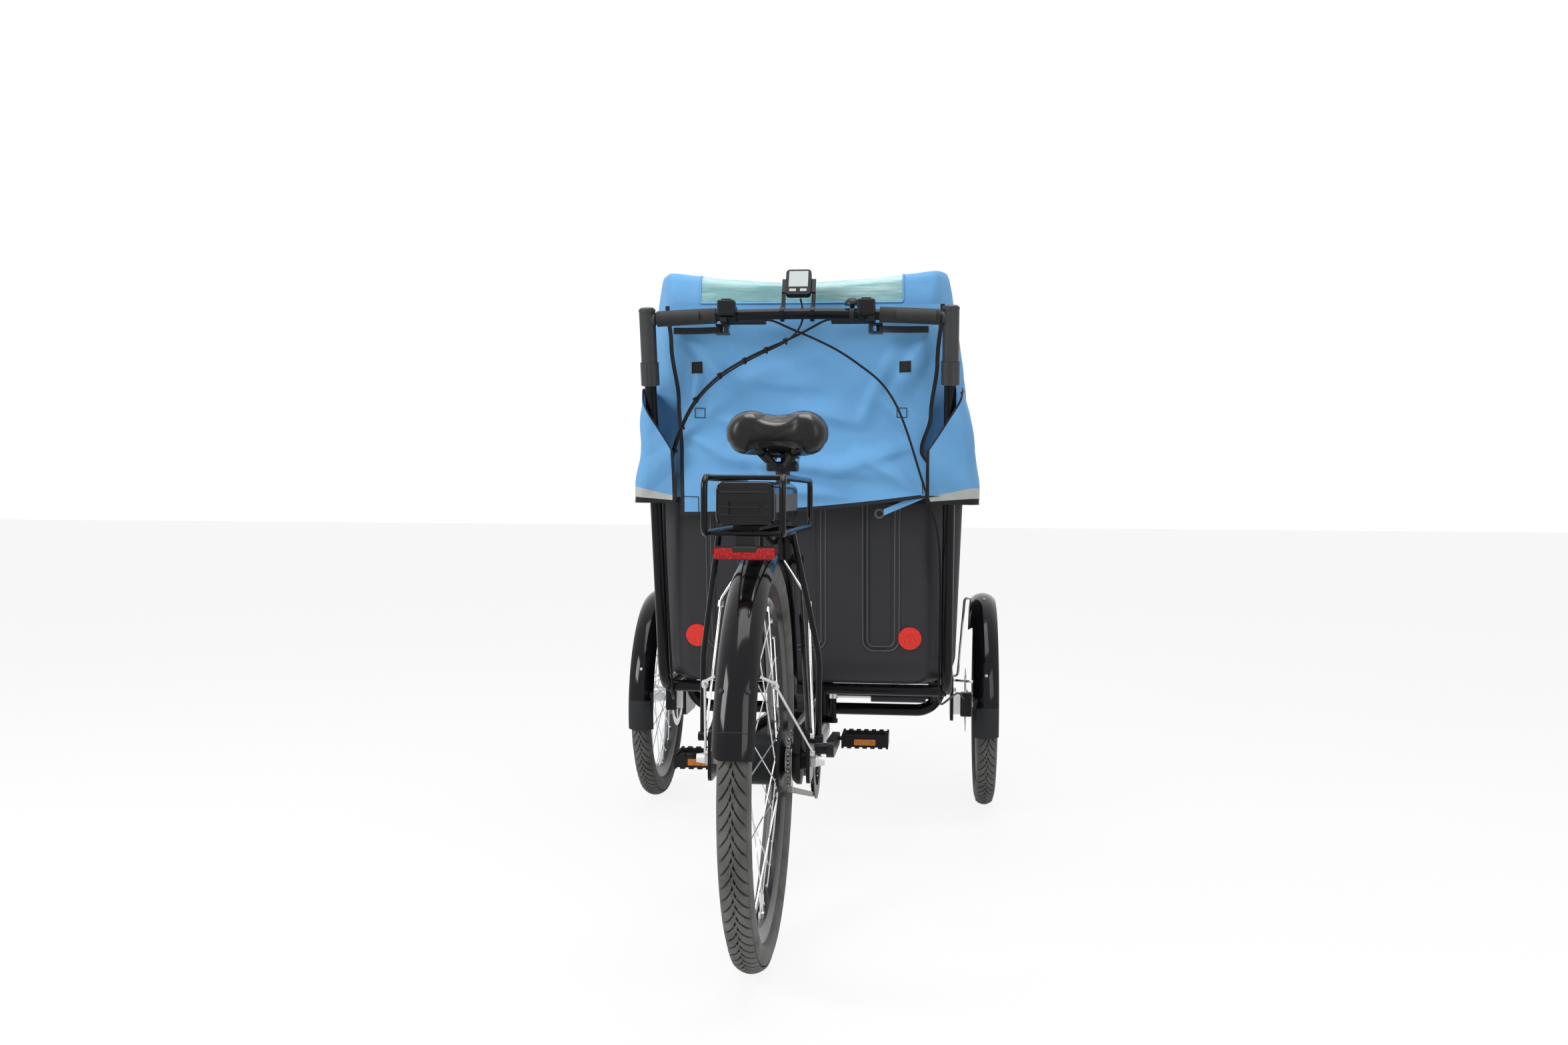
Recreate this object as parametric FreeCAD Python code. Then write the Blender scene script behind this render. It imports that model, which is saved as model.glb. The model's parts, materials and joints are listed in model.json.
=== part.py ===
import FreeCAD, Part
import math
import os

# Cargo tricycle: a two-wheeled covered box in front, steered about a kingpin under the box,
# and a bicycle rear end with a mid motor, a rack battery, a chain drive and a saddle.
# Millimetres. X points to the rider's right, Y forward, Z up, and the ground is Z = 0.
# Distances "ahead" are measured forward from the rear axle.

# Clearances
SEAT_GAP = 0.3          # between pieces that rest on each other
RUN_FIT = 0.05          # radial play of a shaft in its bore
SLIDE_FIT = 0.3         # radial play of a telescoping tube
TOUCH = 0.1             # between pieces of one body that are screwed together

# Wheels
REAR_TYRE_RADIUS = 330.0
REAR_TYRE_WIDTH = 50.0
REAR_BEAD_RADIUS = 282.0
FRONT_TYRE_RADIUS = 252.0
FRONT_TYRE_WIDTH = 47.0
FRONT_BEAD_RADIUS = 205.0
TYRE_WALL = 4.0
RIM_WIDTH = 31.0
RIM_DEPTH = 18.0
RIM_BED_WIDTH = 18.0
RIM_FLANGE = 1.8
RIM_FLANGE_HEIGHT = 5.0
SPOKE_RADIUS = 1.1
SPOKE_SIDES = 6
REAR_SPOKES = 32
FRONT_SPOKES = 28
WHEELBASE = 1228.0
TRACK = 822.0

# Rear hub, axle and dropouts
AXLE_RADIUS = 5.0
DROPOUT_X = 80.0
DROPOUT_PLATE = 6.0
DROPOUT_REAR = 26.0
DROPOUT_FRONT = 40.0
DROPOUT_BELOW = 34.0
DROPOUT_ABOVE = 52.0
DROPOUT_CORNER = 12.0
AXLE_NUT_RADIUS = 9.0
AXLE_NUT_WIDTH = 8.0
AXLE_CAP_LENGTH = 14.0
REAR_HUB_HALF = 42.0
REAR_FLANGE_X = 33.0
REAR_FLANGE_RADIUS = 52.0
REAR_FLANGE_PLATE = 4.0
REAR_HUB_RADIUS = 40.0
ACTUATOR_RADIUS = 38.0
ACTUATOR_BOSS_RADIUS = 14.0
ACTUATOR_STAY_GAP = 3.0

# Chain drive
CHAIN_PITCH = 12.7
CHAIN_LINKS = 108
CHAINRING_TEETH = 44
SPROCKET_TEETH = 23
CHAIN_X = 50.0
ROLLER_RADIUS = 3.85
ROLLER_PLAY = 0.25
TOOTH_HEIGHT = 3.4
TOOTH_TIP = 2.2
TOOTH_PLATE = 2.4
LINK_HEIGHT = 8.4
LINK_PLATE = 1.0
LINK_INNER_WIDTH = 3.4
CHAINRING_CUTOUTS = 5
CHAINRING_CUTOUT_RADIUS = 19.0
GUARD_PLATE = 2.5
GUARD_STANDOFF = 3.0
GUARD_WIDTH = 14.0
GUARD_POST_RADIUS = 4.0
SPINDLE_RADIUS = 11.0
CRANK_LENGTH = 170.0
CRANK_TURN = -3.0
CRANK_INNER_X = 74.0
CRANK_PLATE = 15.0
CRANK_EYE_RADIUS = 17.0
PEDAL_EYE_RADIUS = 13.0
PEDAL_PIN_RADIUS = 4.5
PEDAL_START = 6.0
PEDAL_LENGTH = 96.0
PEDAL_DEPTH = 88.0
PEDAL_HEIGHT = 26.0
PEDAL_PLATE = 8.0
PEDAL_TREAD = 20.0
PEDAL_NOTCHES = 6
PEDAL_NOTCH_WIDTH = 7.0
PEDAL_NOTCH_DEPTH = 3.0

# Motor and main frame
BOTTOM_BRACKET_Z = 263.0
MOTOR_RADIUS = 54.0
MOTOR_NOSE_RADIUS = 40.0
MOTOR_NOSE_AHEAD = 88.0
MOTOR_LEFT = 70.0
MOTOR_RIGHT = 43.0
MOTOR_COVER_RADIUS = 46.0
MOTOR_COVER = 18.0
BRACKET_HEIGHT = 30.0
BRACKET_HALF = 40.0
BRACKET_BEHIND = 54.0
CHAINSTAY_RADIUS = 9.0
CHAINSTAY_FRONT_X = 30.0
SEATSTAY_RADIUS = 7.0
SEATSTAY_TOP_X = 28.0
SEATSTAY_TOP_Z = 640.0
BRIDGE_RADIUS = 9.0
SEAT_TUBE_RADIUS = 17.5
SEAT_TUBE_LEAN = 15.5
SEAT_TUBE_TOP_Z = 700.0
BEAM_RADIUS = 38.0
BEAM_LOW_Z = 196.0
BEAM_BEND = 70.0
BEAM_START_BACK = 12.0
KINGPIN_AHEAD = 1060.0
KINGPIN_RADIUS = 16.0
KINGPIN_TOP_Z = 312.0
FLANGE_RADIUS = 44.0
FLANGE_Z = 226.0
FLANGE_PLATE = 9.0

# Seat
SEATPOST_RADIUS = 13.6
SEATPOST_BOTTOM_Z = 540.0
SEATPOST_HEAD_Z = 806.0
SEAT_HEAD_HALF = 29.0
SEAT_HEAD_DEPTH = 38.0
SEAT_HEAD_HEIGHT = 18.0
SEAT_RAIL_RADIUS = 3.5
SEAT_RAIL_X = 22.0
SADDLE_BASE_Z = 834.0
SADDLE_REAR = 178.0
SADDLE_LENGTH = 272.0
SADDLE_WIDTH = 182.0
SADDLE_NOSE_WIDTH = 52.0
SADDLE_REAR_HEIGHT = 76.0
SADDLE_NOSE_HEIGHT = 48.0
SADDLE_DIP = 13.0
SADDLE_ARCH = 24.0
SADDLE_STATIONS = (
    # share of the length, spread from nose to full width, share of the fall in height, lift of the base
    (0.0, 0.62, 0.5, 10.0),
    (0.025, 0.82, 0.22, 4.0),
    (0.07, 0.95, 0.08, 1.0),
    (0.22, 1.0, 0.0, 0.0),
    (0.42, 0.72, 0.35, 0.0),
    (0.62, 0.36, 0.72, 0.0),
    (0.82, 0.06, 0.92, 0.0),
    (0.96, -0.10, 1.05, 4.0),
    (1.0, -0.32, 1.3, 12.0),
)
CLAMP_HEIGHT = 22.0
CLAMP_WALL = 4.0
CLAMP_SLIT = 3.0

# Rack, battery and tail light
RACK_TUBE_RADIUS = 5.0
RACK_HALF = 58.0
RACK_REAR = -226.0
RACK_FRONT = 236.0
RACK_LOW_Z = 705.0
RACK_TOP_Z = 788.0
RACK_CORNER = 18.0
RACK_CORNER_CLEAR = 8.0
RACK_BAR_RADIUS = 4.0
RACK_BARS_AHEAD = (-200.0, -100.0, 0.0, 130.0)
RACK_LEG_X = 95.0
RACK_LEG_TOP = -78.0
RACK_FOOT_Z = 366.0
RACK_FOOT_RADIUS = 7.5
RACK_KNEE_Z = 500.0
BATTERY_HALF = 44.0
BATTERY_HEIGHT = 66.0
BATTERY_REAR = -208.0
BATTERY_LENGTH = 352.0
BATTERY_ROUND = 14.0
BATTERY_RAIL_HALF = 20.0
BATTERY_RAIL_HEIGHT = 7.0
TAIL_LIGHT_WIDTH = 98.0
TAIL_LIGHT_HEIGHT = 20.0
TAIL_LIGHT_DEPTH = 22.0
TAIL_LIGHT_Z = 676.0

# Fenders
FENDER_PLATE = 2.5
REAR_FENDER_GAP = 14.0
REAR_FENDER_HALF = 31.0
REAR_FENDER_DROP = 20.0
REAR_FENDER_REAR = 79.5
REAR_FENDER_FRONT = 76.0
FRONT_FENDER_GAP = 14.0
FRONT_FENDER_HALF = 30.0
FRONT_FENDER_DROP = 14.0
FRONT_FENDER_SHIFT = 5.0
FRONT_FENDER_REAR = 101.0
FRONT_FENDER_FRONT = 52.0
REAR_FENDER_CORNER = 17.0
FRONT_FENDER_CORNER = 13.0
STAY_RADIUS = 2.1
STAY_EYE = 5.0
STAY_EYE_BEHIND = 19.0
STAY_STANDOFF = 2.5
STAY_BEND = 10.0
STAY_CLIP_RADIUS = 5.0
UPPER_STAY_ANGLE = -8.0
UPPER_EYE_Z = 374.0
UPPER_CLIP = (73.0, 48.0, 590.0)
LOWER_STAY_ANGLE = 58.0
LOWER_EYE_Z = 346.0
LOWER_CLIP = (50.0, -258.0, 492.0)

# Front carrier: tubes under and behind the box
CARRIER_TUBE_RADIUS = 12.5
POST_X = 312.0
POST_LEAN = 14.5
BAR_Z = 1124.0
BAR_AHEAD = 581.0
POST_TOP_Z = 1098.0
BOX_FLOOR_Z = 345.0
POST_BEND = 72.0
RAIL_SHOULDER = 1330.0
RAIL_NOSE = 1440.0
RAIL_NOSE_HALF = 150.0
RAIL_BEND = 85.0
CROSSBAR_AHEAD = 816.0
CRADLE_Z = 250.0
CRADLE_RADIUS = 14.0
CRADLE_HALF = 300.0
CRADLE_BEND = 55.0
HEAD_RADIUS = 46.0
AXLE_BEAM_RADIUS = 16.0
AXLE_BEAM_Z = 305.0
END_PLATE_X = 326.0
END_PLATE = 8.0
END_PLATE_REAR = 92.0
END_PLATE_FRONT = 48.0
END_PLATE_BELOW = 40.0

# Front hubs, discs and calipers
STUB_RADIUS = 10.0
STUB_FLANGE_RADIUS = 30.0
STUB_FLANGE_PLATE = 8.0
HUB_INNER_X = 372.0
HUB_OUTER_X = 433.0
HUB_RADIUS = 18.0
HUB_FLANGE_RADIUS = 28.0
HUB_FLANGE_PLATE = 3.5
HUB_FLANGE_INSET = 14.0
STUB_CAP = 5.0
STUB_CAP_RADIUS = 12.0
ROTOR_X = 365.0
ROTOR_PLATE = 2.0
ROTOR_RADIUS = 80.0
ROTOR_BAND = 16.0
ROTOR_ARMS = 6
ROTOR_ARM_WIDTH = 9.0
ROTOR_SEAT_RADIUS = 25.0
ROTOR_HOLES = 18
ROTOR_HOLE_RADIUS = 3.0
ROTOR_SWEEP = 0.5
ROTOR_ARM_LAP = 3.0
CALIPER_AHEAD = -72.0
CALIPER_DEPTH = 32.0
CALIPER_HEIGHT = 58.0
CALIPER_HALF_X = 14.0
PAD_GAP = 1.2

# Cargo box and rim
BOX_WALL = 4.0
BOX_TOP_Z = 777.0
BOX_REAR_TOP = 700.0
BOX_REAR_FLOOR = 764.0
BOX_REAR_HALF = 268.0
BOX_CORNER_DEPTH = 92.0
BOX_HALF_TOP = 345.0
BOX_HALF_FLOOR = 330.0
BOX_SHOULDER = 1330.0
BOX_NOSE_TOP = 1784.0
BOX_NOSE_FLOOR = 1500.0
BOX_NOSE_HALF = 190.0
BOX_FLOOR_INSET = 58.0
BOX_FLOOR_ROUND = 62.0
BOX_REAR_RADIUS = 40.0
BOX_CORNER_RADIUS = 45.0
BOX_SHOULDER_RADIUS = 240.0
BOX_NOSE_RADIUS = 90.0
PANEL_REAR = 838.0
PANEL_FRONT = 1285.0
PANEL_NOSE_HALF = 230.0
RIM_OVERHANG = 22.0
RIM_INSIDE = 8.0
RIM_CAP = 18.0
RIM_SKIRT = 26.0
REFLECTOR_RADIUS = 25.0
REFLECTOR_PLATE = 4.0
REFLECTOR_X = 232.0
REFLECTOR_Z = 454.0
SLOT_DEPTH = 2.0
SLOT_WIDTH = 62.0
SLOT_X = 161.0
SLOT_BOTTOM_Z = 423.0
SLOT_TOP_Z = 740.0

# Canopy
CLOTH = 3.0
CANOPY_GAP = 0.6
CANOPY_BELLY = 3.95     # how far the smooth cloth bulges past its hem at the nose
CANOPY_HEM_Z = 744.0
ROOF_Z = 1236.0
ROOF_SAG = 26.0
ROOF_HALF = 290.0
BOW_RADIUS = 6.0
BOW_FOOT = 30.0
BOW_BEND = 60.0
BOW_SINK = 16.0         # how far the bows stay below the lowest line of the roof
BOW_TUCK = 26.0         # how far the bows' corners stay inside the edge of the roof
BOWS_AHEAD = (825.0, 1010.0)
CANOPY_STATIONS = (
    # height, rear, rear half width, corner depth, half width, shoulder, nose half width, nose
    (935.0, 702.0, 276.0, 88.0, 354.0, 1270.0, 190.0, 1672.0),
    (1030.0, 682.0, 282.0, 84.0, 341.0, 1200.0, 196.0, 1545.0),
    (1150.0, 660.0, 284.0, 70.0, 322.0, 1110.0, 204.0, 1372.0),
    (1212.0, 666.0, 280.0, 56.0, 306.0, 1050.0, 206.0, 1262.0),
)
# Opposite corners of the blocks that mark the windows: offset, distance ahead and height
REAR_WINDOW = ((-208.0, 600.0, 1168.0), (208.0, 740.0, 1204.0))
SIDE_WINDOW = ((240.0, 840.0, 900.0), (460.0, 1140.0, 1120.0))
FRONT_WINDOW = ((-150.0, 1300.0, 960.0), (150.0, 1800.0, 1150.0))
FLAP_LEVELS = (
    # rise above the hem, reach outside the post, reach ahead of the post
    (0.0, 64.0, 120.0),
    (106.0, 58.0, 118.0),
    (240.0, 30.0, 132.0),
)
FLAP_BEND = 26.0
FLAP_BEHIND = 26.0
FLAP_IN = 48.0
FLAP_INNER_RISE = 106.0     # the top edge falls to this rise above the hem at its inner end

# Handlebar
BAR_RADIUS = 11.1
BAR_HALF = 294.0
BAR_RISE = 9.0
BAR_END_GAP = 0.8
SLEEVE_WALL = 4.0
SLEEVE_FOOT_WALL = 6.5
SLEEVE_BOTTOM_Z = 991.0
SLEEVE_FOOT_LENGTH = 46.0
SLEEVE_GROOVE = 1.5
SLEEVE_GROOVE_WIDTH = 6.0
SOCKET_WALL = 3.0
SLEEVE_CAP_Z = 1140.0
SLEEVE_BORE_TOP_Z = 1106.0
GRIP_OUTER = 291.0
GRIP_INNER = 168.0
GRIP_RADIUS = 16.0
GRIP_WING = 9.0
LEVER_CLAMP_X = 152.0
LEVER_CLAMP_WIDTH = 14.0
CLAMP_RING_RADIUS = 16.0
RESERVOIR_RADIUS = 10.0
RESERVOIR_AHEAD = 26.0
RESERVOIR_DROP = 6.0
RESERVOIR_END_X = 68.0
LEVER_PIVOT_X = 166.0
LEVER_PIVOT_AHEAD = 42.0
LEVER_DROP = 18.0
LEVER_TIP_X = 262.0
LEVER_TIP_AHEAD = 54.0
LEVER_WIDTH = 13.0
LEVER_PLATE = 8.0
LEVER_PIN_RADIUS = 3.0
SWITCH_X = 142.0
SWITCH_CLAMP_X = 131.0
SWITCH_CLAMP_WIDTH = 12.0
SWITCH_WIDTH = 36.0
SWITCH_DEPTH = 28.0
SWITCH_HEIGHT = 32.0
SWITCH_BEHIND = 32.0
SWITCH_RISE = 10.0
BUTTON_WIDTH = 20.0
BUTTON_DEPTH = 15.0
BUTTON_TALL = 6.0
BUTTON_PROUD = 3.0
BUTTON_TRAVEL = 2.0
DISPLAY_WIDTH = 52.0
DISPLAY_HEIGHT = 60.0
DISPLAY_PLATE = 14.0
DISPLAY_Z = 1198.0
DISPLAY_AHEAD = 22.0
DISPLAY_TILT = 25.0
DISPLAY_ARM_X = 31.0
DISPLAY_ARM_WIDTH = 8.0
BELL_X = 112.0
BELL_CLAMP_WIDTH = 9.0
BELL_RADIUS = 16.0
BELL_HEIGHT = 15.0

# Brake hoses
HOSE_RADIUS = 2.5
HOSE_POST_GAP = 0.5
HOSE_END_GAP = 0.3
HOSE_LEAD = 12.0
HOSE_TIP = 36.0
HOSE_CALIPER_DROP = 12.0
# Hanging runs, the right one in front of the canopy and the left one behind its edge:
# offset towards the caliper's side, distance ahead of the bar and height
RIGHT_HOSE_HANG = (
    (-22.0, 24.0, 1108.0), (28.0, 21.0, 1087.0), (84.0, 20.0, 1060.0), (134.0, 22.0, 1025.0),
    (170.0, 26.0, 997.0), (197.0, 31.0, 960.0), (216.0, 36.0, 918.0), (232.0, 40.0, 872.0),
    (246.0, 43.0, 826.0), (259.0, 49.0, 785.0), (276.0, 58.0, 735.0), (291.0, 92.0, 685.0),
)
LEFT_HOSE_HANG = (
    (-22.0, 17.0, 1103.0), (22.0, 13.0, 1081.0), (66.0, 14.0, 1063.0), (112.0, 19.0, 1042.0),
    (166.0, 27.0, 1012.0), (220.0, 42.0, 962.0), (252.0, 54.0, 904.0), (272.0, 66.0, 850.0),
    (286.0, 78.0, 800.0),
)
RIGHT_HOSE_POST_Z = (600.0, 440.0)
LEFT_HOSE_POST_Z = (740.0, 440.0)
# Lower run under the box: offset from the run beside the post, distance ahead and height
HOSE_BELOW = (
    (-1.0, 776.0, 384.0), (-1.0, 784.0, 334.0), (2.0, 812.0, 302.0), (10.0, 862.0, 297.0),
    (24.0, 924.0, 299.0), (38.0, 990.0, 300.0), (50.0, 1052.0, 296.0),
)

# Steering damper
DAMPER_Z = 290.0
DAMPER_BEHIND = 62.0
DAMPER_REAR_X = 50.0
DAMPER_FRONT_X = 284.0
DAMPER_RADIUS = 13.0
DAMPER_LENGTH = 128.0
DAMPER_ROD_RADIUS = 5.0
DAMPER_EYE_RADIUS = 11.0
DAMPER_EYE_HEIGHT = 12.0
DAMPER_NECK_RADIUS = 4.5
DAMPER_NECK = 6.0
DAMPER_PIN_RADIUS = 5.0

# Lengths worked out from the driving sizes above
REAR_FENDER_RADIUS = REAR_TYRE_RADIUS + REAR_FENDER_GAP + FENDER_PLATE
FRONT_FENDER_RADIUS = FRONT_TYRE_RADIUS + FRONT_FENDER_GAP + FENDER_PLATE
REAR_END = REAR_FENDER_RADIUS * math.sin(math.radians(REAR_FENDER_REAR))
FRONT_END = BOX_NOSE_TOP + RIM_OVERHANG + CANOPY_GAP + CLOTH + CANOPY_BELLY
REAR_AXLE_Y = (REAR_END - FRONT_END) / 2
RAIL_Z = BOX_FLOOR_Z - CARRIER_TUBE_RADIUS - SEAT_GAP
HALF_TRACK = TRACK / 2
POST_SLOPE = math.tan(math.radians(POST_LEAN))
SEAT_SLOPE = math.tan(math.radians(SEAT_TUBE_LEAN))
CHAINRING_PITCH_RADIUS = CHAIN_PITCH / (2 * math.sin(math.pi / CHAINRING_TEETH))
SPROCKET_PITCH_RADIUS = CHAIN_PITCH / (2 * math.sin(math.pi / SPROCKET_TEETH))
X_AXIS = FreeCAD.Vector(1, 0, 0)
Y_AXIS = FreeCAD.Vector(0, 1, 0)
Z_AXIS = FreeCAD.Vector(0, 0, 1)
ORIGIN = FreeCAD.Vector(0, 0, 0)


# General shapes

def at(x, ahead, z):
    """Point from its offset to the right, its distance ahead of the rear axle and its height."""
    return FreeCAD.Vector(x, REAR_AXLE_Y + ahead, z)


def post_ahead(z):
    """Distance ahead of the rear axle of the leaning handlebar posts at a height."""
    return BAR_AHEAD + (BAR_Z - z) * POST_SLOPE


def seat_ahead(z):
    """Distance ahead of the rear axle of the leaning seat tube at a height."""
    return BOTTOM_BRACKET_AHEAD - (z - BOTTOM_BRACKET_Z) * SEAT_SLOPE


def fused(shapes):
    """One solid from shapes that run into each other."""
    return shapes[0].multiFuse(shapes[1:]).removeSplitter()


def mirrored(shape):
    """The same shape on the other side of the centre plane."""
    return shape.mirror(ORIGIN, X_AXIS)


def pair(shape):
    """A right-hand shape together with its left-hand twin."""
    return Part.makeCompound([shape, mirrored(shape)])


def cylinder(start, end, radius):
    """Round bar between two points."""
    run = end - start
    return Part.makeCylinder(radius, run.Length, start, run)


def ring(start, end, outer, inner):
    """Round bar with a bore from end to end."""
    return cylinder(start, end, outer).cut(cylinder(start, end, inner))


def block(low, high):
    """Box between two opposite corners."""
    size = high - low
    return Part.makeBox(size.x, size.y, size.z, low)


def rounded_block(low, high, radius):
    """Box with all its edges rounded."""
    solid = block(low, high)
    return solid.makeFillet(radius, solid.Edges)


def polygon_face(points):
    """Flat face bounded by straight edges."""
    return Part.Face(Part.makePolygon(points + points[:1]))


def corner_arcs(points, radii):
    """Edges of an open path whose inner corners are rounded by tangent arcs."""
    edges = []
    start = points[0]
    for before, corner, after, radius in zip(points, points[1:], points[2:], radii):
        back = (before - corner).normalize()
        onward = (after - corner).normalize()
        half_turn = (math.pi - back.getAngle(onward)) / 2
        trim = radius * math.tan(half_turn)
        middle_way = (back + onward).normalize()
        middle = corner + middle_way * (radius / math.cos(half_turn) - radius)
        first = corner + back * trim
        last = corner + onward * trim
        edges.append(Part.makeLine(start, first))
        edges.append(Part.Arc(first, middle, last).toShape())
        start = last
    edges.append(Part.makeLine(start, points[-1]))
    return edges


def bent_bar(points, radius, bends):
    """Round bar along straight runs joined by tangent bends."""
    path = Part.Wire(corner_arcs(points, bends))
    section = Part.Wire(Part.makeCircle(radius, points[0], points[1] - points[0]))
    return path.makePipeShell([section], True, False)


def rounded_outline(points, radii):
    """Closed wire through rounded corners, starting in the middle of the last side."""
    start = (points[-1] + points[0]) * 0.5
    return Part.Wire(corner_arcs([start] + points + [start], radii))


def offset_corners(points, distance):
    """Corners of a convex outline, listed counter-clockwise, moved outward by a distance."""
    moved = []
    count = len(points)
    for index in range(count):
        before, corner, after = points[index - 1], points[index], points[(index + 1) % count]
        first = (corner - before).normalize().cross(Z_AXIS)
        second = (after - corner).normalize().cross(Z_AXIS)
        spread = 1 + first.dot(second)
        moved.append(corner + (first + second) * (distance / spread))
    return moved


def spun(edges, centre, start_angle=0.0, sweep=360.0):
    """Profile drawn in X and height, turned about a cross axis; angles run from the top rearward."""
    face = Part.Face(Part.Wire(edges))
    face.rotate(ORIGIN, X_AXIS, start_angle)
    solid = face.revolve(ORIGIN, X_AXIS, sweep)
    solid.translate(centre)
    return solid


def section_point(x, radius):
    """Point of a wheel profile from its offset and its radius."""
    return FreeCAD.Vector(x, 0, radius)


def arc_edge(a, b, c):
    """Arc through three points."""
    return Part.Arc(a, b, c).toShape()


# Chain drive layout

def chain_pitches(distance):
    """Number of pitches of a chain round both toothed wheels at a centre distance."""
    lean = math.asin((CHAINRING_PITCH_RADIUS - SPROCKET_PITCH_RADIUS) / distance)
    straight = 2 * distance * math.cos(lean) / CHAIN_PITCH
    ring_wrap = CHAINRING_TEETH * (math.pi + 2 * lean) / (2 * math.pi)
    sprocket_wrap = SPROCKET_TEETH * (math.pi - 2 * lean) / (2 * math.pi)
    return straight + ring_wrap + sprocket_wrap


def chain_centre_distance():
    """Centre distance that a whole number of links closes without slack."""
    low = CHAINRING_PITCH_RADIUS + SPROCKET_PITCH_RADIUS
    high = CHAIN_PITCH * CHAIN_LINKS
    for _ in range(60):
        middle = (low + high) / 2
        if chain_pitches(middle) < CHAIN_LINKS:
            low = middle
        else:
            high = middle
    return low


CHAIN_CENTRES = chain_centre_distance()
CHAIN_RISE = REAR_TYRE_RADIUS - BOTTOM_BRACKET_Z
BOTTOM_BRACKET_AHEAD = math.sqrt(CHAIN_CENTRES ** 2 - CHAIN_RISE ** 2)
CHAIN_TILT = math.atan2(CHAIN_RISE, -BOTTOM_BRACKET_AHEAD)
CHAIN_LEAN = math.asin((CHAINRING_PITCH_RADIUS - SPROCKET_PITCH_RADIUS) / CHAIN_CENTRES)


def chain_point(pitches):
    """Roller centre after a number of pitches, starting on top of the chainring, running rearward."""
    straight = CHAIN_CENTRES * math.cos(CHAIN_LEAN) / CHAIN_PITCH
    sprocket_wrap = SPROCKET_TEETH * (math.pi - 2 * CHAIN_LEAN) / (2 * math.pi)
    rearward = FreeCAD.Vector(0, math.cos(CHAIN_TILT), math.sin(CHAIN_TILT))
    sideways = FreeCAD.Vector(0, -rearward.z, rearward.y)
    if sideways.z < 0:
        sideways = -sideways
    crank = at(CHAIN_X, BOTTOM_BRACKET_AHEAD, BOTTOM_BRACKET_Z)
    axle = at(CHAIN_X, 0, REAR_TYRE_RADIUS)

    def on_wheel(centre, radius, angle):
        return centre + (rearward * math.cos(angle) + sideways * math.sin(angle)) * radius

    top = math.pi / 2 - CHAIN_LEAN
    if pitches < straight:
        begin = on_wheel(crank, CHAINRING_PITCH_RADIUS, top)
        end = on_wheel(axle, SPROCKET_PITCH_RADIUS, top)
        return begin + (end - begin) * (pitches / straight)
    pitches -= straight
    if pitches < sprocket_wrap:
        return on_wheel(axle, SPROCKET_PITCH_RADIUS, top - pitches * 2 * math.pi / SPROCKET_TEETH)
    pitches -= sprocket_wrap
    if pitches < straight:
        begin = on_wheel(axle, SPROCKET_PITCH_RADIUS, -top)
        end = on_wheel(crank, CHAINRING_PITCH_RADIUS, -top)
        return begin + (end - begin) * (pitches / straight)
    pitches -= straight
    return on_wheel(crank, CHAINRING_PITCH_RADIUS, -top - pitches * 2 * math.pi / CHAINRING_TEETH)


def first_roller_on(centre, radius):
    """First roller of the chain that lies on the pitch circle of a toothed wheel."""
    for link in range(CHAIN_LINKS):
        roller = chain_point(link)
        if abs((roller - centre).Length - radius) < SEAT_GAP / 10:
            return roller
    return centre + Z_AXIS * radius


def toothed_face(centre, teeth, pitch_radius):
    """Flat toothed outline whose seats lie where the rollers of the chain do."""
    roller = first_roller_on(centre, pitch_radius)
    phase = math.atan2(roller.z - centre.z, roller.y - centre.y)
    seat_radius = ROLLER_RADIUS + ROLLER_PLAY
    step = 2 * math.pi / teeth
    tip_radius = pitch_radius + TOOTH_HEIGHT
    tip_half = TOOTH_TIP / 2 / tip_radius
    flank = math.radians(62)
    edges = []
    corners = []

    def polar(radius, angle):
        return centre + FreeCAD.Vector(0, math.cos(angle) * radius, math.sin(angle) * radius)

    for tooth in range(teeth):
        angle = phase + tooth * step
        seat = polar(pitch_radius, angle)
        sides = []
        for turn in (-flank, 0, flank):
            way = angle + math.pi - turn
            sides.append(seat + FreeCAD.Vector(0, math.cos(way), math.sin(way)) * seat_radius)
        corners.append((sides, polar(tip_radius, angle + step / 2 - tip_half),
                        polar(tip_radius, angle + step / 2 + tip_half)))
    for index, (sides, tip_start, tip_end) in enumerate(corners):
        next_side = corners[(index + 1) % teeth][0][0]
        edges.append(arc_edge(*sides))
        edges.append(Part.makeLine(sides[2], tip_start))
        edges.append(Part.makeLine(tip_start, tip_end))
        edges.append(Part.makeLine(tip_end, next_side))
    return Part.Face(Part.Wire(edges))


def toothed_plate(centre, teeth, pitch_radius):
    """Toothed wheel of the plate thickness, centred on its plane."""
    plate = toothed_face(centre, teeth, pitch_radius).extrude(X_AXIS * TOOTH_PLATE)
    plate.translate(X_AXIS * (-TOOTH_PLATE / 2))
    return plate


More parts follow.
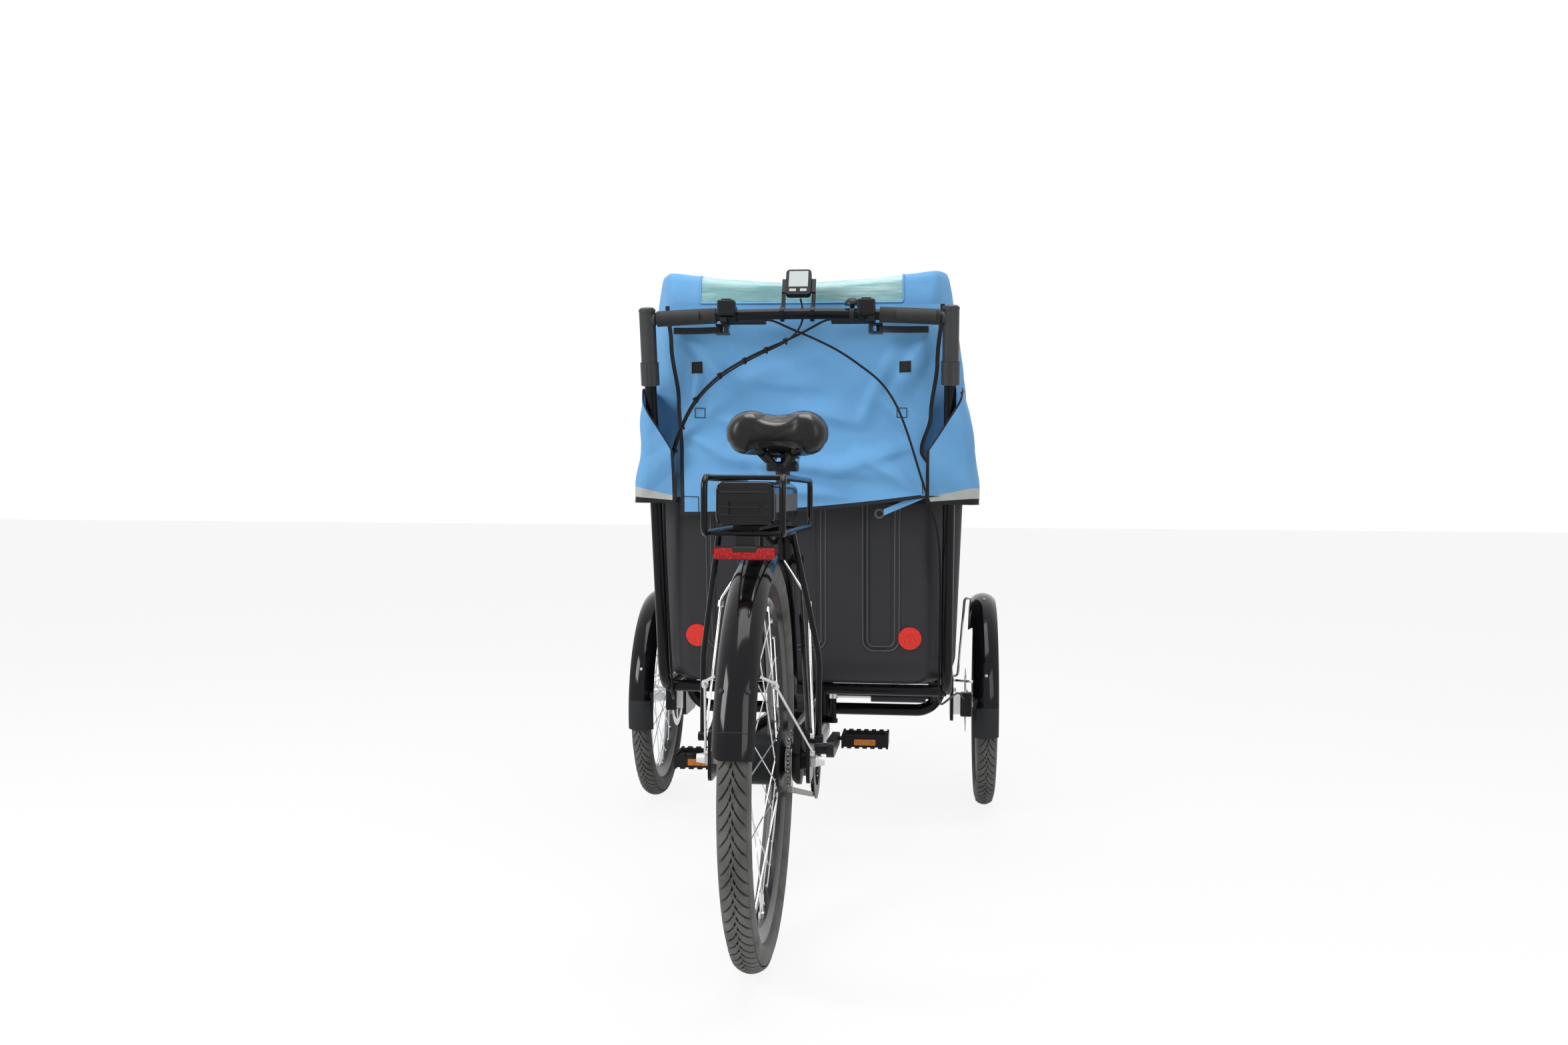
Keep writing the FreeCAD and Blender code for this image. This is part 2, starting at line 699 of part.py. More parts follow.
def chain():
    """Roller chain: inner links with their rollers and outer plates, seated on both wheels."""
    pieces = []
    inner_face = LINK_INNER_WIDTH / 2
    outer_face = inner_face + LINK_PLATE + TOUCH
    for link in range(CHAIN_LINKS):
        first = chain_point(link)
        second = chain_point((link + 1) % CHAIN_LINKS)
        along = (second - first).normalize()
        upward = along.cross(X_AXIS) * (LINK_HEIGHT / 2)
        ends = along * (LINK_HEIGHT / 2)
        outline = [first - ends * 0.5 + upward, first - ends, first - ends * 0.5 - upward,
                   second + ends * 0.5 - upward, second + ends, second + ends * 0.5 + upward]
        inner_link = link % 2 == 0
        offset = inner_face if inner_link else outer_face
        plate = polygon_face(outline).extrude(X_AXIS * LINK_PLATE)
        right = plate.copy()
        right.translate(X_AXIS * offset)
        left = plate.copy()
        left.translate(X_AXIS * (-offset - LINK_PLATE))
        if inner_link:
            rollers = []
            for centre in (first, second):
                start = centre - X_AXIS * inner_face
                rollers.append(hexagon_bar(start, X_AXIS * LINK_INNER_WIDTH, ROLLER_RADIUS, along))
            pieces.append(fused([left, right] + rollers))
        else:
            pieces.extend([left, right])
    return Part.makeCompound(pieces)


def hexagon_bar(start, run, radius, first_corner):
    """Six-sided bar whose corners lie on a circle."""
    axis = FreeCAD.Vector(run).normalize()
    across = axis.cross(first_corner).normalize()
    corners = []
    for index in range(SPOKE_SIDES):
        angle = 2 * math.pi * index / SPOKE_SIDES
        way = first_corner * math.cos(angle) + across * math.sin(angle)
        corners.append(start + way * radius)
    return polygon_face(corners).extrude(run)


def chainring():
    """Chainring with round cut-outs and an outer guard ring on stand-offs."""
    centre = at(CHAIN_X, BOTTOM_BRACKET_AHEAD, BOTTOM_BRACKET_Z)
    plate = toothed_plate(centre, CHAINRING_TEETH, CHAINRING_PITCH_RADIUS)
    cutters = [cylinder(centre - X_AXIS * TOOTH_PLATE, centre + X_AXIS * TOOTH_PLATE, SPINDLE_RADIUS + TOUCH)]
    hole_circle = CHAINRING_PITCH_RADIUS * 0.56
    guard_middle = CHAINRING_PITCH_RADIUS + TOOTH_HEIGHT - GUARD_WIDTH
    standoffs = []
    for index in range(CHAINRING_CUTOUTS):
        angle = 2 * math.pi * index / CHAINRING_CUTOUTS
        way = FreeCAD.Vector(0, math.cos(angle), math.sin(angle))
        hole = centre + way * hole_circle
        near = hole - X_AXIS * TOOTH_PLATE
        far = hole + X_AXIS * TOOTH_PLATE
        cutters.append(cylinder(near, far, CHAINRING_CUTOUT_RADIUS))
        foot = centre + way * guard_middle
        run = X_AXIS * (TOOTH_PLATE / 2 + GUARD_STANDOFF + GUARD_PLATE / 2)
        standoffs.append(cylinder(foot, foot + run, GUARD_POST_RADIUS))
    plate = plate.cut(Part.makeCompound(cutters))
    guard_start = centre + X_AXIS * (TOOTH_PLATE / 2 + GUARD_STANDOFF)
    guard_outer = CHAINRING_PITCH_RADIUS + TOOTH_HEIGHT + GUARD_WIDTH / 3
    guard = ring(guard_start, guard_start + X_AXIS * GUARD_PLATE, guard_outer, guard_middle - GUARD_WIDTH / 2)
    return fused([plate, guard] + standoffs)


def rear_sprocket():
    """Sprocket on its driver boss, turning on the rear axle."""
    centre = at(CHAIN_X, 0, REAR_TYRE_RADIUS)
    plate = toothed_plate(centre, SPROCKET_TEETH, SPROCKET_PITCH_RADIUS)
    boss_half = (CHAIN_X - REAR_HUB_HALF) - SEAT_GAP
    boss_end = centre + X_AXIS * (boss_half / 2)
    boss = cylinder(centre - X_AXIS * boss_half, boss_end, SPROCKET_PITCH_RADIUS * 0.45)
    bore = cylinder(centre - X_AXIS * DROPOUT_X, centre + X_AXIS * DROPOUT_X, AXLE_RADIUS + RUN_FIT)
    return fused([plate, boss]).cut(bore)


def crank_arm(side):
    """Crank arm with its pedal pin; the right one points forward, the left one back."""
    turn = math.radians(CRANK_TURN)
    reach = FreeCAD.Vector(0, math.cos(turn), math.sin(turn)) * (CRANK_LENGTH * side)
    hub = at(side * CRANK_INNER_X, BOTTOM_BRACKET_AHEAD, BOTTOM_BRACKET_Z)
    eye = hub + reach
    out = X_AXIS * (side * CRANK_PLATE)
    along = FreeCAD.Vector(reach).normalize()
    across = along.cross(X_AXIS).normalize()
    outline = [hub + across * CRANK_EYE_RADIUS, hub - across * CRANK_EYE_RADIUS,
               eye - across * PEDAL_EYE_RADIUS, eye + across * PEDAL_EYE_RADIUS]
    web = polygon_face(outline).extrude(out)
    pin_end = eye + out + X_AXIS * (side * (PEDAL_START + PEDAL_LENGTH))
    return fused([web, cylinder(hub, hub + out, CRANK_EYE_RADIUS), cylinder(eye, eye + out, PEDAL_EYE_RADIUS),
                  cylinder(eye, pin_end, PEDAL_PIN_RADIUS)])


def left_crank():
    """Left crank arm with the spindle that passes through the motor."""
    hub = at(-CRANK_INNER_X, BOTTOM_BRACKET_AHEAD, BOTTOM_BRACKET_Z)
    far = at(CRANK_INNER_X - TOUCH, BOTTOM_BRACKET_AHEAD, BOTTOM_BRACKET_Z)
    return fused([crank_arm(-1), cylinder(hub, far, SPINDLE_RADIUS)])


def pedal_centre(side):
    """Middle of a pedal's inner end, on its pin."""
    turn = math.radians(CRANK_TURN)
    reach = FreeCAD.Vector(0, math.cos(turn), math.sin(turn)) * (CRANK_LENGTH * side)
    inner = CRANK_INNER_X + CRANK_PLATE + PEDAL_START
    return at(side * inner, BOTTOM_BRACKET_AHEAD, BOTTOM_BRACKET_Z) + reach


def pedal_notches(inner, side):
    """Cutters for the notches along the upper and lower edges of a pedal."""
    pitch = PEDAL_LENGTH / PEDAL_NOTCHES
    reach = FreeCAD.Vector(PEDAL_NOTCH_WIDTH / 2, PEDAL_DEPTH, PEDAL_NOTCH_DEPTH)
    cutters = []
    for index in range(PEDAL_NOTCHES):
        for up in (-1, 1):
            rise = FreeCAD.Vector(side * pitch * (index + 0.5), 0, up * PEDAL_HEIGHT / 2)
            cutters.append(block(inner + rise - reach, inner + rise + reach))
    return Part.makeCompound(cutters)


def pedal(side):
    """Cage pedal: a barrel, two end plates and two notched tread bars."""
    inner = pedal_centre(side)
    out = X_AXIS * side
    outer = inner + out * PEDAL_LENGTH
    half = Y_AXIS * (PEDAL_DEPTH / 2)
    tall = Z_AXIS * (PEDAL_HEIGHT / 2)
    pieces = [cylinder(inner, outer, PEDAL_HEIGHT / 2 - PEDAL_NOTCH_DEPTH - 1)]
    for place in (inner, outer - out * PEDAL_PLATE):
        corners = [place - half - tall, place + half - tall, place + half + tall, place - half + tall]
        pieces.append(polygon_face(corners).extrude(out * PEDAL_PLATE))
    for end in (-1, 1):
        near = inner + half * end
        far = near - Y_AXIS * (PEDAL_TREAD * end)
        bar_face = polygon_face([near - tall, near + tall, far + tall, far - tall])
        pieces.append(bar_face.extrude(out * PEDAL_LENGTH))
    bore = cylinder(inner - out * PEDAL_START, outer + out * PEDAL_START, PEDAL_PIN_RADIUS + RUN_FIT)
    return fused(pieces).cut(bore).cut(pedal_notches(inner, side))


# Wheels

def tyre(centre, radius, width, bead_radius):
    """Hollow tyre, open towards the rim."""
    half = width / 2
    bead = RIM_WIDTH / 2 - RIM_FLANGE - TOUCH
    middle = bead_radius + (radius - bead_radius) * 0.52
    shoulder = radius - (radius - bead_radius) * 0.16
    shoulder_x = half * 0.74
    crown = TYRE_WALL * 1.5
    edges = []
    knee = bead_radius + RIM_FLANGE_HEIGHT + TOUCH

    def p(x, r):
        return section_point(x, r)

    edges.append(Part.makeLine(p(bead, bead_radius), p(bead, knee)))
    edges.append(arc_edge(p(bead, knee), p(half, middle), p(shoulder_x, shoulder)))
    edges.append(arc_edge(p(shoulder_x, shoulder), p(0, radius), p(-shoulder_x, shoulder)))
    edges.append(arc_edge(p(-shoulder_x, shoulder), p(-half, middle), p(-bead, knee)))
    edges.append(Part.makeLine(p(-bead, knee), p(-bead, bead_radius)))
    inside = bead - TYRE_WALL
    edges.append(Part.makeLine(p(-bead, bead_radius), p(-inside, bead_radius)))
    edges.append(Part.makeLine(p(-inside, bead_radius), p(-inside, knee)))
    inner_x = shoulder_x - TYRE_WALL
    inner_r = shoulder - TYRE_WALL
    edges.append(arc_edge(p(-inside, knee), p(TYRE_WALL - half, middle), p(-inner_x, inner_r)))
    edges.append(arc_edge(p(-inner_x, inner_r), p(0, radius - crown), p(inner_x, inner_r)))
    edges.append(arc_edge(p(inner_x, inner_r), p(half - TYRE_WALL, middle), p(inside, knee)))
    edges.append(Part.makeLine(p(inside, knee), p(inside, bead_radius)))
    edges.append(Part.makeLine(p(inside, bead_radius), p(bead, bead_radius)))
    return spun(edges, centre)


def rim(centre, bead_radius):
    """Rim with two flanges, bead seats and a sunk bed."""
    half = RIM_WIDTH / 2
    seat = bead_radius - TOUCH
    flange = bead_radius + RIM_FLANGE_HEIGHT
    well = seat - 4.0
    well_half = half - RIM_FLANGE - TYRE_WALL - 2.0
    inner = bead_radius - RIM_DEPTH
    bed = RIM_BED_WIDTH / 2
    corners = [(half, flange), (half - RIM_FLANGE, flange), (half - RIM_FLANGE, seat), (well_half, seat),
               (well_half - 2.0, well), (2.0 - well_half, well), (-well_half, seat),
               (RIM_FLANGE - half, seat),
               (RIM_FLANGE - half, flange), (-half, flange), (-half, seat - 5.0), (-bed, inner), (bed, inner),
               (half, seat - 5.0)]
    points = [section_point(x, r) for x, r in corners]
    edges = []
    for first, second in zip(points, points[1:] + points[:1]):
        edges.append(Part.makeLine(first, second))
    return spun(edges, centre)


def spokes(centre, flange_xs, flange_radius, rim_x, rim_radius, count):
    """Crossed spokes from two hub flanges to the rim."""
    bars = []
    cross_turn = math.radians(62)
    for index in range(count):
        rim_angle = 2 * math.pi * index / count
        lead = 1 if (index // 2) % 2 == 0 else -1
        flange_x = flange_xs[index % 2]
        hub_angle = rim_angle + lead * cross_turn
        start = centre + FreeCAD.Vector(flange_x, math.sin(hub_angle) * flange_radius,
                                        math.cos(hub_angle) * flange_radius)
        rim_way = FreeCAD.Vector(0, math.sin(rim_angle), math.cos(rim_angle))
        end = centre + X_AXIS * rim_x + rim_way * rim_radius
        run = end - start
        side = run.cross(X_AXIS).normalize()
        bars.append(hexagon_bar(start, run, SPOKE_RADIUS, side))
    return Part.makeCompound(bars)


def rear_spokes():
    """Rear spokes, from the inner faces of both hub flanges."""
    centre = at(0, 0, REAR_TYRE_RADIUS)
    flange_x = REAR_FLANGE_X - REAR_FLANGE_PLATE / 2 - SPOKE_RADIUS - TOUCH
    rim_radius = REAR_BEAD_RADIUS - RIM_DEPTH - 2 * TOUCH
    return spokes(centre, (flange_x, -flange_x), REAR_FLANGE_RADIUS - 5.0, 0, rim_radius, REAR_SPOKES)


def rear_hub():
    """Gear hub shell with two spoke flanges, bored for the axle."""
    centre = at(0, 0, REAR_TYRE_RADIUS)
    half = REAR_HUB_HALF
    bore = AXLE_RADIUS + RUN_FIT
    profile = [(-half, bore), (half, bore), (half, 20.0), (REAR_FLANGE_X + 6, 26.0)]
    for side in (1, -1):
        plate = REAR_FLANGE_PLATE / 2
        edges = [(side * REAR_FLANGE_X + side * plate, REAR_HUB_RADIUS - 6),
                 (side * REAR_FLANGE_X + side * plate, REAR_FLANGE_RADIUS),
                 (side * REAR_FLANGE_X - side * plate, REAR_FLANGE_RADIUS),
                 (side * REAR_FLANGE_X - side * plate, REAR_HUB_RADIUS)]
        profile.extend(edges if side == 1 else edges[::-1])
    profile.extend([(-REAR_FLANGE_X - 6, 26.0), (-half, 20.0)])
    points = [section_point(x, r) for x, r in profile]
    edges = [Part.makeLine(a, b) for a, b in zip(points, points[1:] + points[:1])]
    return spun(edges, centre)


def rear_axle():
    """Solid axle with lock nuts inside the dropouts and capped nuts outside them."""
    centre = at(0, 0, REAR_TYRE_RADIUS)
    inner_face = DROPOUT_X - DROPOUT_PLATE / 2
    outer_face = DROPOUT_X + DROPOUT_PLATE / 2 + TOUCH
    cap_start = outer_face + AXLE_NUT_WIDTH
    cap_end = cap_start + AXLE_CAP_LENGTH
    pieces = [cylinder(centre - X_AXIS * cap_start, centre + X_AXIS * cap_start, AXLE_RADIUS)]
    for side in (-1, 1):
        outward = X_AXIS * side
        nut = centre + outward * outer_face
        cap = centre + outward * cap_start
        pieces.append(hexagon_bar(nut, outward * AXLE_NUT_WIDTH, AXLE_NUT_RADIUS + 1, Z_AXIS))
        pieces.append(Part.makeCone(AXLE_NUT_RADIUS, AXLE_NUT_RADIUS - 2, cap_end - cap_start, cap, outward))
    left_lock = centre - X_AXIS * (inner_face - TOUCH)
    left_end = centre - X_AXIS * (REAR_HUB_HALF + SEAT_GAP)
    pieces.append(cylinder(left_lock, left_end, AXLE_NUT_RADIUS))
    return fused(pieces)


def gear_actuator():
    """Round gear-change unit between the sprocket and the right dropout."""
    boss_half = (CHAIN_X - REAR_HUB_HALF) - SEAT_GAP
    start = at(CHAIN_X + boss_half / 2 + SEAT_GAP, 0, REAR_TYRE_RADIUS)
    end = at(DROPOUT_X - DROPOUT_PLATE / 2 - TOUCH, 0, REAR_TYRE_RADIUS)
    clear_x = DROPOUT_X - CHAINSTAY_RADIUS - ACTUATOR_STAY_GAP
    shell = FreeCAD.Vector(clear_x, start.y, start.z)
    middle = (start + shell) * 0.5
    drum = Part.makeCone(ACTUATOR_RADIUS - 6, ACTUATOR_RADIUS, middle.x - start.x, start, X_AXIS)
    back = cylinder(middle, shell, ACTUATOR_RADIUS)
    boss = cylinder(shell, end, ACTUATOR_BOSS_RADIUS)
    motor = block(middle + FreeCAD.Vector(-4, -ACTUATOR_RADIUS, 18), shell + FreeCAD.Vector(0, -8, 60))
    bore = cylinder(start - X_AXIS * 2, end + X_AXIS * 2, AXLE_RADIUS + TOUCH)
    return fused([drum, back, boss, motor]).cut(bore)


def front_wheel_centre(side):
    """Middle of a front wheel."""
    return at(side * HALF_TRACK, WHEELBASE, FRONT_TYRE_RADIUS)


def front_hub(side):
    """Front hub shell with two spoke flanges and a seat for the brake disc."""
    centre = at(0, WHEELBASE, FRONT_TYRE_RADIUS)
    inner_flange = HUB_INNER_X + HUB_FLANGE_INSET
    outer_flange = HUB_OUTER_X - HUB_FLANGE_PLATE
    bore = STUB_RADIUS + RUN_FIT
    disc_face = ROTOR_X + ROTOR_PLATE / 2 + TOUCH
    profile = [(disc_face, bore), (HUB_OUTER_X, bore), (HUB_OUTER_X, HUB_FLANGE_RADIUS),
               (outer_flange, HUB_FLANGE_RADIUS), (outer_flange, HUB_RADIUS),
               (inner_flange + HUB_FLANGE_PLATE, HUB_RADIUS),
               (inner_flange + HUB_FLANGE_PLATE, HUB_FLANGE_RADIUS),
               (inner_flange, HUB_FLANGE_RADIUS), (inner_flange, HUB_RADIUS), (HUB_INNER_X, HUB_RADIUS),
               (HUB_INNER_X, ROTOR_SEAT_RADIUS), (disc_face, ROTOR_SEAT_RADIUS)]
    points = [section_point(side * x, r) for x, r in profile]
    edges = [Part.makeLine(a, b) for a, b in zip(points, points[1:] + points[:1])]
    return spun(edges, centre)


def front_spokes(side):
    """Front spokes, from the inner faces of both hub flanges."""
    centre = front_wheel_centre(side)
    inner_flange = HUB_INNER_X + HUB_FLANGE_INSET + HUB_FLANGE_PLATE + SPOKE_RADIUS + TOUCH
    outer_flange = HUB_OUTER_X - HUB_FLANGE_PLATE - SPOKE_RADIUS - TOUCH
    xs = (side * (outer_flange - HALF_TRACK), side * (inner_flange - HALF_TRACK))
    rim_radius = FRONT_BEAD_RADIUS - RIM_DEPTH - 2 * TOUCH
    return spokes(centre, xs, HUB_FLANGE_RADIUS - 4.0, 0, rim_radius, FRONT_SPOKES)


def rotor(side):
    """Brake disc: a pierced band carried on swept arms."""
    inner = side * (ROTOR_X - ROTOR_PLATE / 2)
    start = at(inner, WHEELBASE, FRONT_TYRE_RADIUS)
    through = X_AXIS * (side * ROTOR_PLATE)
    band_inner = ROTOR_RADIUS - ROTOR_BAND
    band = ring(start, start + through, ROTOR_RADIUS, band_inner)
    seat = ring(start, start + through, ROTOR_SEAT_RADIUS, STUB_RADIUS + SEAT_GAP)
    arms = []
    for index in range(ROTOR_ARMS):
        angle = 2 * math.pi * index / ROTOR_ARMS
        near = start + wheel_way(angle) * (ROTOR_SEAT_RADIUS - ROTOR_ARM_LAP)
        far = start + wheel_way(angle + ROTOR_SWEEP) * (band_inner + ROTOR_ARM_LAP)
        across = (far - near).cross(X_AXIS).normalize() * (ROTOR_ARM_WIDTH / 2)
        arm = polygon_face([near - across, far - across, far + across, near + across])
        arms.append(arm.extrude(through))
    holes = []
    for index in range(ROTOR_HOLES):
        middle = start + wheel_way(2 * math.pi * index / ROTOR_HOLES) * (ROTOR_RADIUS - ROTOR_BAND / 2)
        holes.append(cylinder(middle - through, middle + through * 2, ROTOR_HOLE_RADIUS))
    return fused([band, seat] + arms).cut(Part.makeCompound(holes))


def wheel_way(angle):
    """Direction from a wheel's middle at an angle."""
    return FreeCAD.Vector(0, math.cos(angle), math.sin(angle))


# Rear frame

def dropout(side):
    """Rear dropout plate with rounded corners, bored for the axle."""
    inner = side * (DROPOUT_X - DROPOUT_PLATE / 2)
    low = REAR_TYRE_RADIUS - DROPOUT_BELOW
    high = REAR_TYRE_RADIUS + DROPOUT_ABOVE
    corners = [at(inner, -DROPOUT_REAR, low), at(inner, DROPOUT_FRONT, low),
               at(inner, DROPOUT_FRONT, high), at(inner, -DROPOUT_REAR, high)]
    outline = rounded_outline(corners, [DROPOUT_CORNER] * 4)
    plate = Part.Face(outline).extrude(X_AXIS * (side * DROPOUT_PLATE))
    bore_start = at(inner - side, 0, REAR_TYRE_RADIUS)
    bore = cylinder(bore_start, bore_start + X_AXIS * (side * (DROPOUT_PLATE + 2)), AXLE_RADIUS + TOUCH)
    return plate.cut(bore)


def motor_top():
    """Height of the flat seat of the motor under its bracket."""
    return BOTTOM_BRACKET_Z + MOTOR_RADIUS


def main_frame():
    """Welded rear frame: dropouts, stays, seat tube, motor bracket, main beam and kingpin."""
    bracket_low = motor_top() + TOUCH
    bracket_rear = BOTTOM_BRACKET_AHEAD - BRACKET_BEHIND
    bracket_front = BOTTOM_BRACKET_AHEAD + MOTOR_NOSE_AHEAD + MOTOR_NOSE_RADIUS + BEAM_RADIUS
    bracket = block(at(-BRACKET_HALF, bracket_rear, bracket_low),
                    at(BRACKET_HALF, bracket_front, bracket_low + BRACKET_HEIGHT))
    bracket_middle = bracket_low + BRACKET_HEIGHT / 2
    pieces = [bracket.makeFillet(BRACKET_HEIGHT / 4, bracket.Edges)]
    for side in (-1, 1):
        pieces.append(dropout(side))
        stay_rear = at(side * DROPOUT_X, DROPOUT_FRONT - CHAINSTAY_RADIUS, REAR_TYRE_RADIUS)
        stay_front = at(side * CHAINSTAY_FRONT_X, bracket_rear + CHAINSTAY_RADIUS, bracket_middle)
        pieces.append(cylinder(stay_rear, stay_front, CHAINSTAY_RADIUS))
        seat_low = at(side * DROPOUT_X, DROPOUT_CORNER, REAR_TYRE_RADIUS + DROPOUT_ABOVE - SEATSTAY_RADIUS)
        seat_high = at(side * SEATSTAY_TOP_X, seat_ahead(SEATSTAY_TOP_Z), SEATSTAY_TOP_Z)
        pieces.append(cylinder(seat_low, seat_high, SEATSTAY_RADIUS))
    bridge_half = SEATSTAY_TOP_X + SEATSTAY_RADIUS
    bridge = at(0, seat_ahead(SEATSTAY_TOP_Z), SEATSTAY_TOP_Z)
    pieces.append(cylinder(bridge - X_AXIS * bridge_half, bridge + X_AXIS * bridge_half, BRIDGE_RADIUS))
    tube_low = at(0, seat_ahead(bracket_middle), bracket_middle)
    tube_high = at(0, seat_ahead(SEAT_TUBE_TOP_Z), SEAT_TUBE_TOP_Z)
    pieces.append(cylinder(tube_low, tube_high, SEAT_TUBE_RADIUS))
    beam_start = at(0, bracket_front - BEAM_START_BACK, bracket_middle)
    beam_knee = at(0, KINGPIN_AHEAD - 3 * BEAM_BEND, BEAM_LOW_Z)
    beam_foot = at(0, KINGPIN_AHEAD, BEAM_LOW_Z)
    beam_top = at(0, KINGPIN_AHEAD, FLANGE_Z + FLANGE_PLATE / 2)
    pieces.append(bent_bar([beam_start, beam_knee, beam_foot], BEAM_RADIUS, [2 * BEAM_BEND]))
    pieces.append(Part.makeSphere(BEAM_RADIUS, beam_foot))
    pieces.append(cylinder(beam_foot, beam_top, BEAM_RADIUS))
    flange = at(0, KINGPIN_AHEAD, FLANGE_Z)
    pieces.append(cylinder(flange, flange + Z_AXIS * FLANGE_PLATE, FLANGE_RADIUS))
    pieces.append(cylinder(beam_top, at(0, KINGPIN_AHEAD, KINGPIN_TOP_Z), KINGPIN_RADIUS))
    pieces.append(damper_arm())
    frame = fused(pieces)
    bore_low = at(0, seat_ahead(SEATPOST_BOTTOM_Z - 20), SEATPOST_BOTTOM_Z - 20)
    bore_high = at(0, seat_ahead(SEAT_TUBE_TOP_Z + 20), SEAT_TUBE_TOP_Z + 20)
    return frame.cut(cylinder(bore_low, bore_high, SEATPOST_RADIUS + RUN_FIT))


def damper_arm():
    """Arm on the kingpin flange with the stud that the damper rod reaches."""
    stud = at(DAMPER_REAR_X, KINGPIN_AHEAD - DAMPER_BEHIND, FLANGE_Z)
    hub = at(0, KINGPIN_AHEAD, FLANGE_Z)
    across = (stud - hub).cross(Z_AXIS).normalize() * DAMPER_EYE_RADIUS
    web_face = polygon_face([hub - across, stud - across, stud + across, hub + across])
    web = web_face.extrude(Z_AXIS * FLANGE_PLATE)
    top = DAMPER_Z - DAMPER_EYE_HEIGHT / 2 - SEAT_GAP
    post = cylinder(stud, FreeCAD.Vector(stud.x, stud.y, top), DAMPER_EYE_RADIUS - 3)
    return fused([web, cylinder(stud, stud + Z_AXIS * FLANGE_PLATE, DAMPER_EYE_RADIUS), post])


def drive_unit():
    """Motor casing: a rounded body under the bracket with a round cover on the left."""
    centre = at(0, BOTTOM_BRACKET_AHEAD, BOTTOM_BRACKET_Z)
    nose_z = motor_top() - MOTOR_NOSE_RADIUS
    nose = at(0, BOTTOM_BRACKET_AHEAD + MOTOR_NOSE_AHEAD, nose_z)
    left = X_AXIS * (MOTOR_COVER - MOTOR_LEFT)
    right = X_AXIS * MOTOR_RIGHT
    belly = [centre - Z_AXIS * MOTOR_RADIUS, nose - Z_AXIS * MOTOR_NOSE_RADIUS,
             nose + Z_AXIS * MOTOR_NOSE_RADIUS, centre + Z_AXIS * MOTOR_RADIUS]
    body = polygon_face([point + left for point in belly]).extrude(right - left)
    drum = cylinder(centre + left, centre + right, MOTOR_RADIUS)
    front = cylinder(nose + left, nose + right, MOTOR_NOSE_RADIUS)
    cover_face = centre - X_AXIS * MOTOR_LEFT
    cover = Part.makeCone(MOTOR_COVER_RADIUS - 6, MOTOR_COVER_RADIUS, MOTOR_COVER, cover_face, X_AXIS)
    reach = X_AXIS * (2 * MOTOR_LEFT)
    bore = cylinder(centre - reach, centre + reach, SPINDLE_RADIUS + RUN_FIT)
    return fused([body, drum, front, cover]).cut(bore)


def seat_axis(z):
    """Point of the seat tube's axis at a height."""
    return at(0, seat_ahead(z), z)


def seat_clamp():
    """Split collar with its bolt lugs round the top of the seat tube."""
    low = seat_axis(SEAT_TUBE_TOP_Z - CLAMP_HEIGHT)
    high = seat_axis(SEAT_TUBE_TOP_Z - TOUCH)
    collar = cylinder(low, high, SEAT_TUBE_RADIUS + TOUCH + CLAMP_WALL)
    middle = (low + high) * 0.5
    reach = SEAT_TUBE_RADIUS + CLAMP_WALL + 9.0
    lug = block(middle + FreeCAD.Vector(-8, -reach, -7), middle + FreeCAD.Vector(8, 0, 7))
    slit_low = middle + FreeCAD.Vector(-CLAMP_SLIT / 2, -reach - 1, -CLAMP_HEIGHT)
    slit = block(slit_low, middle + FreeCAD.Vector(CLAMP_SLIT / 2, 0, CLAMP_HEIGHT))
    bore = cylinder(low + (low - high), high + (high - low), SEAT_TUBE_RADIUS + TOUCH)
    return fused([collar, lug]).cut(bore).cut(slit)


def seatpost():
    """Seat post with its two-part saddle clamp."""
    head = seat_axis(SEATPOST_HEAD_Z)
    post_top = seat_axis(SEATPOST_HEAD_Z + SEAT_HEAD_HEIGHT / 2)
    post = cylinder(seat_axis(SEATPOST_BOTTOM_Z), post_top, SEATPOST_RADIUS)
    half_depth = SEAT_HEAD_DEPTH / 2
    cradle_low = head + FreeCAD.Vector(-SEAT_HEAD_HALF, -half_depth, 0)
    cradle_high = head + FreeCAD.Vector(SEAT_HEAD_HALF, half_depth, SEAT_HEAD_HEIGHT)
    cradle = rounded_block(cradle_low, cradle_high, 4.0)
    plate_low = SEATPOST_HEAD_Z + SEAT_HEAD_HEIGHT + 2 * SEAT_RAIL_RADIUS + 2 * TOUCH
    plate = block(FreeCAD.Vector(cradle_low.x, cradle_low.y, plate_low),
                  FreeCAD.Vector(cradle_high.x, cradle_high.y, plate_low + 5.0))
    bolt = cylinder(head, FreeCAD.Vector(head.x, head.y, plate_low + 9.0), 4.0)
    return fused([post, cradle, plate, bolt])


def saddle_rails():
    """Two bent rails in the clamp, with their ends up against the underside of the saddle."""
    low = SEATPOST_HEAD_Z + SEAT_HEAD_HEIGHT + SEAT_RAIL_RADIUS + TOUCH
    top = SADDLE_BASE_Z + SADDLE_ARCH
    middle = seat_ahead(SEATPOST_HEAD_Z)
    reach = SADDLE_LENGTH * 0.3
    x = SEAT_RAIL_X
    rear = middle - reach
    front = middle + reach
    points = [at(x, rear, top), at(x, rear, low), at(x, front, low), at(x, front, top)]
    bend = (top - low) * 0.75
    rails = pair(bent_bar(points, SEAT_RAIL_RADIUS, [bend, bend]))
    cushion = saddle()
    cushion.translate(Z_AXIS * -TOUCH)
    return rails.cut(cushion)


def flipped(points):
    """The same line of points on the left side, run the other way."""
    return [FreeCAD.Vector(-point.x, point.y, point.z) for point in points[::-1]]


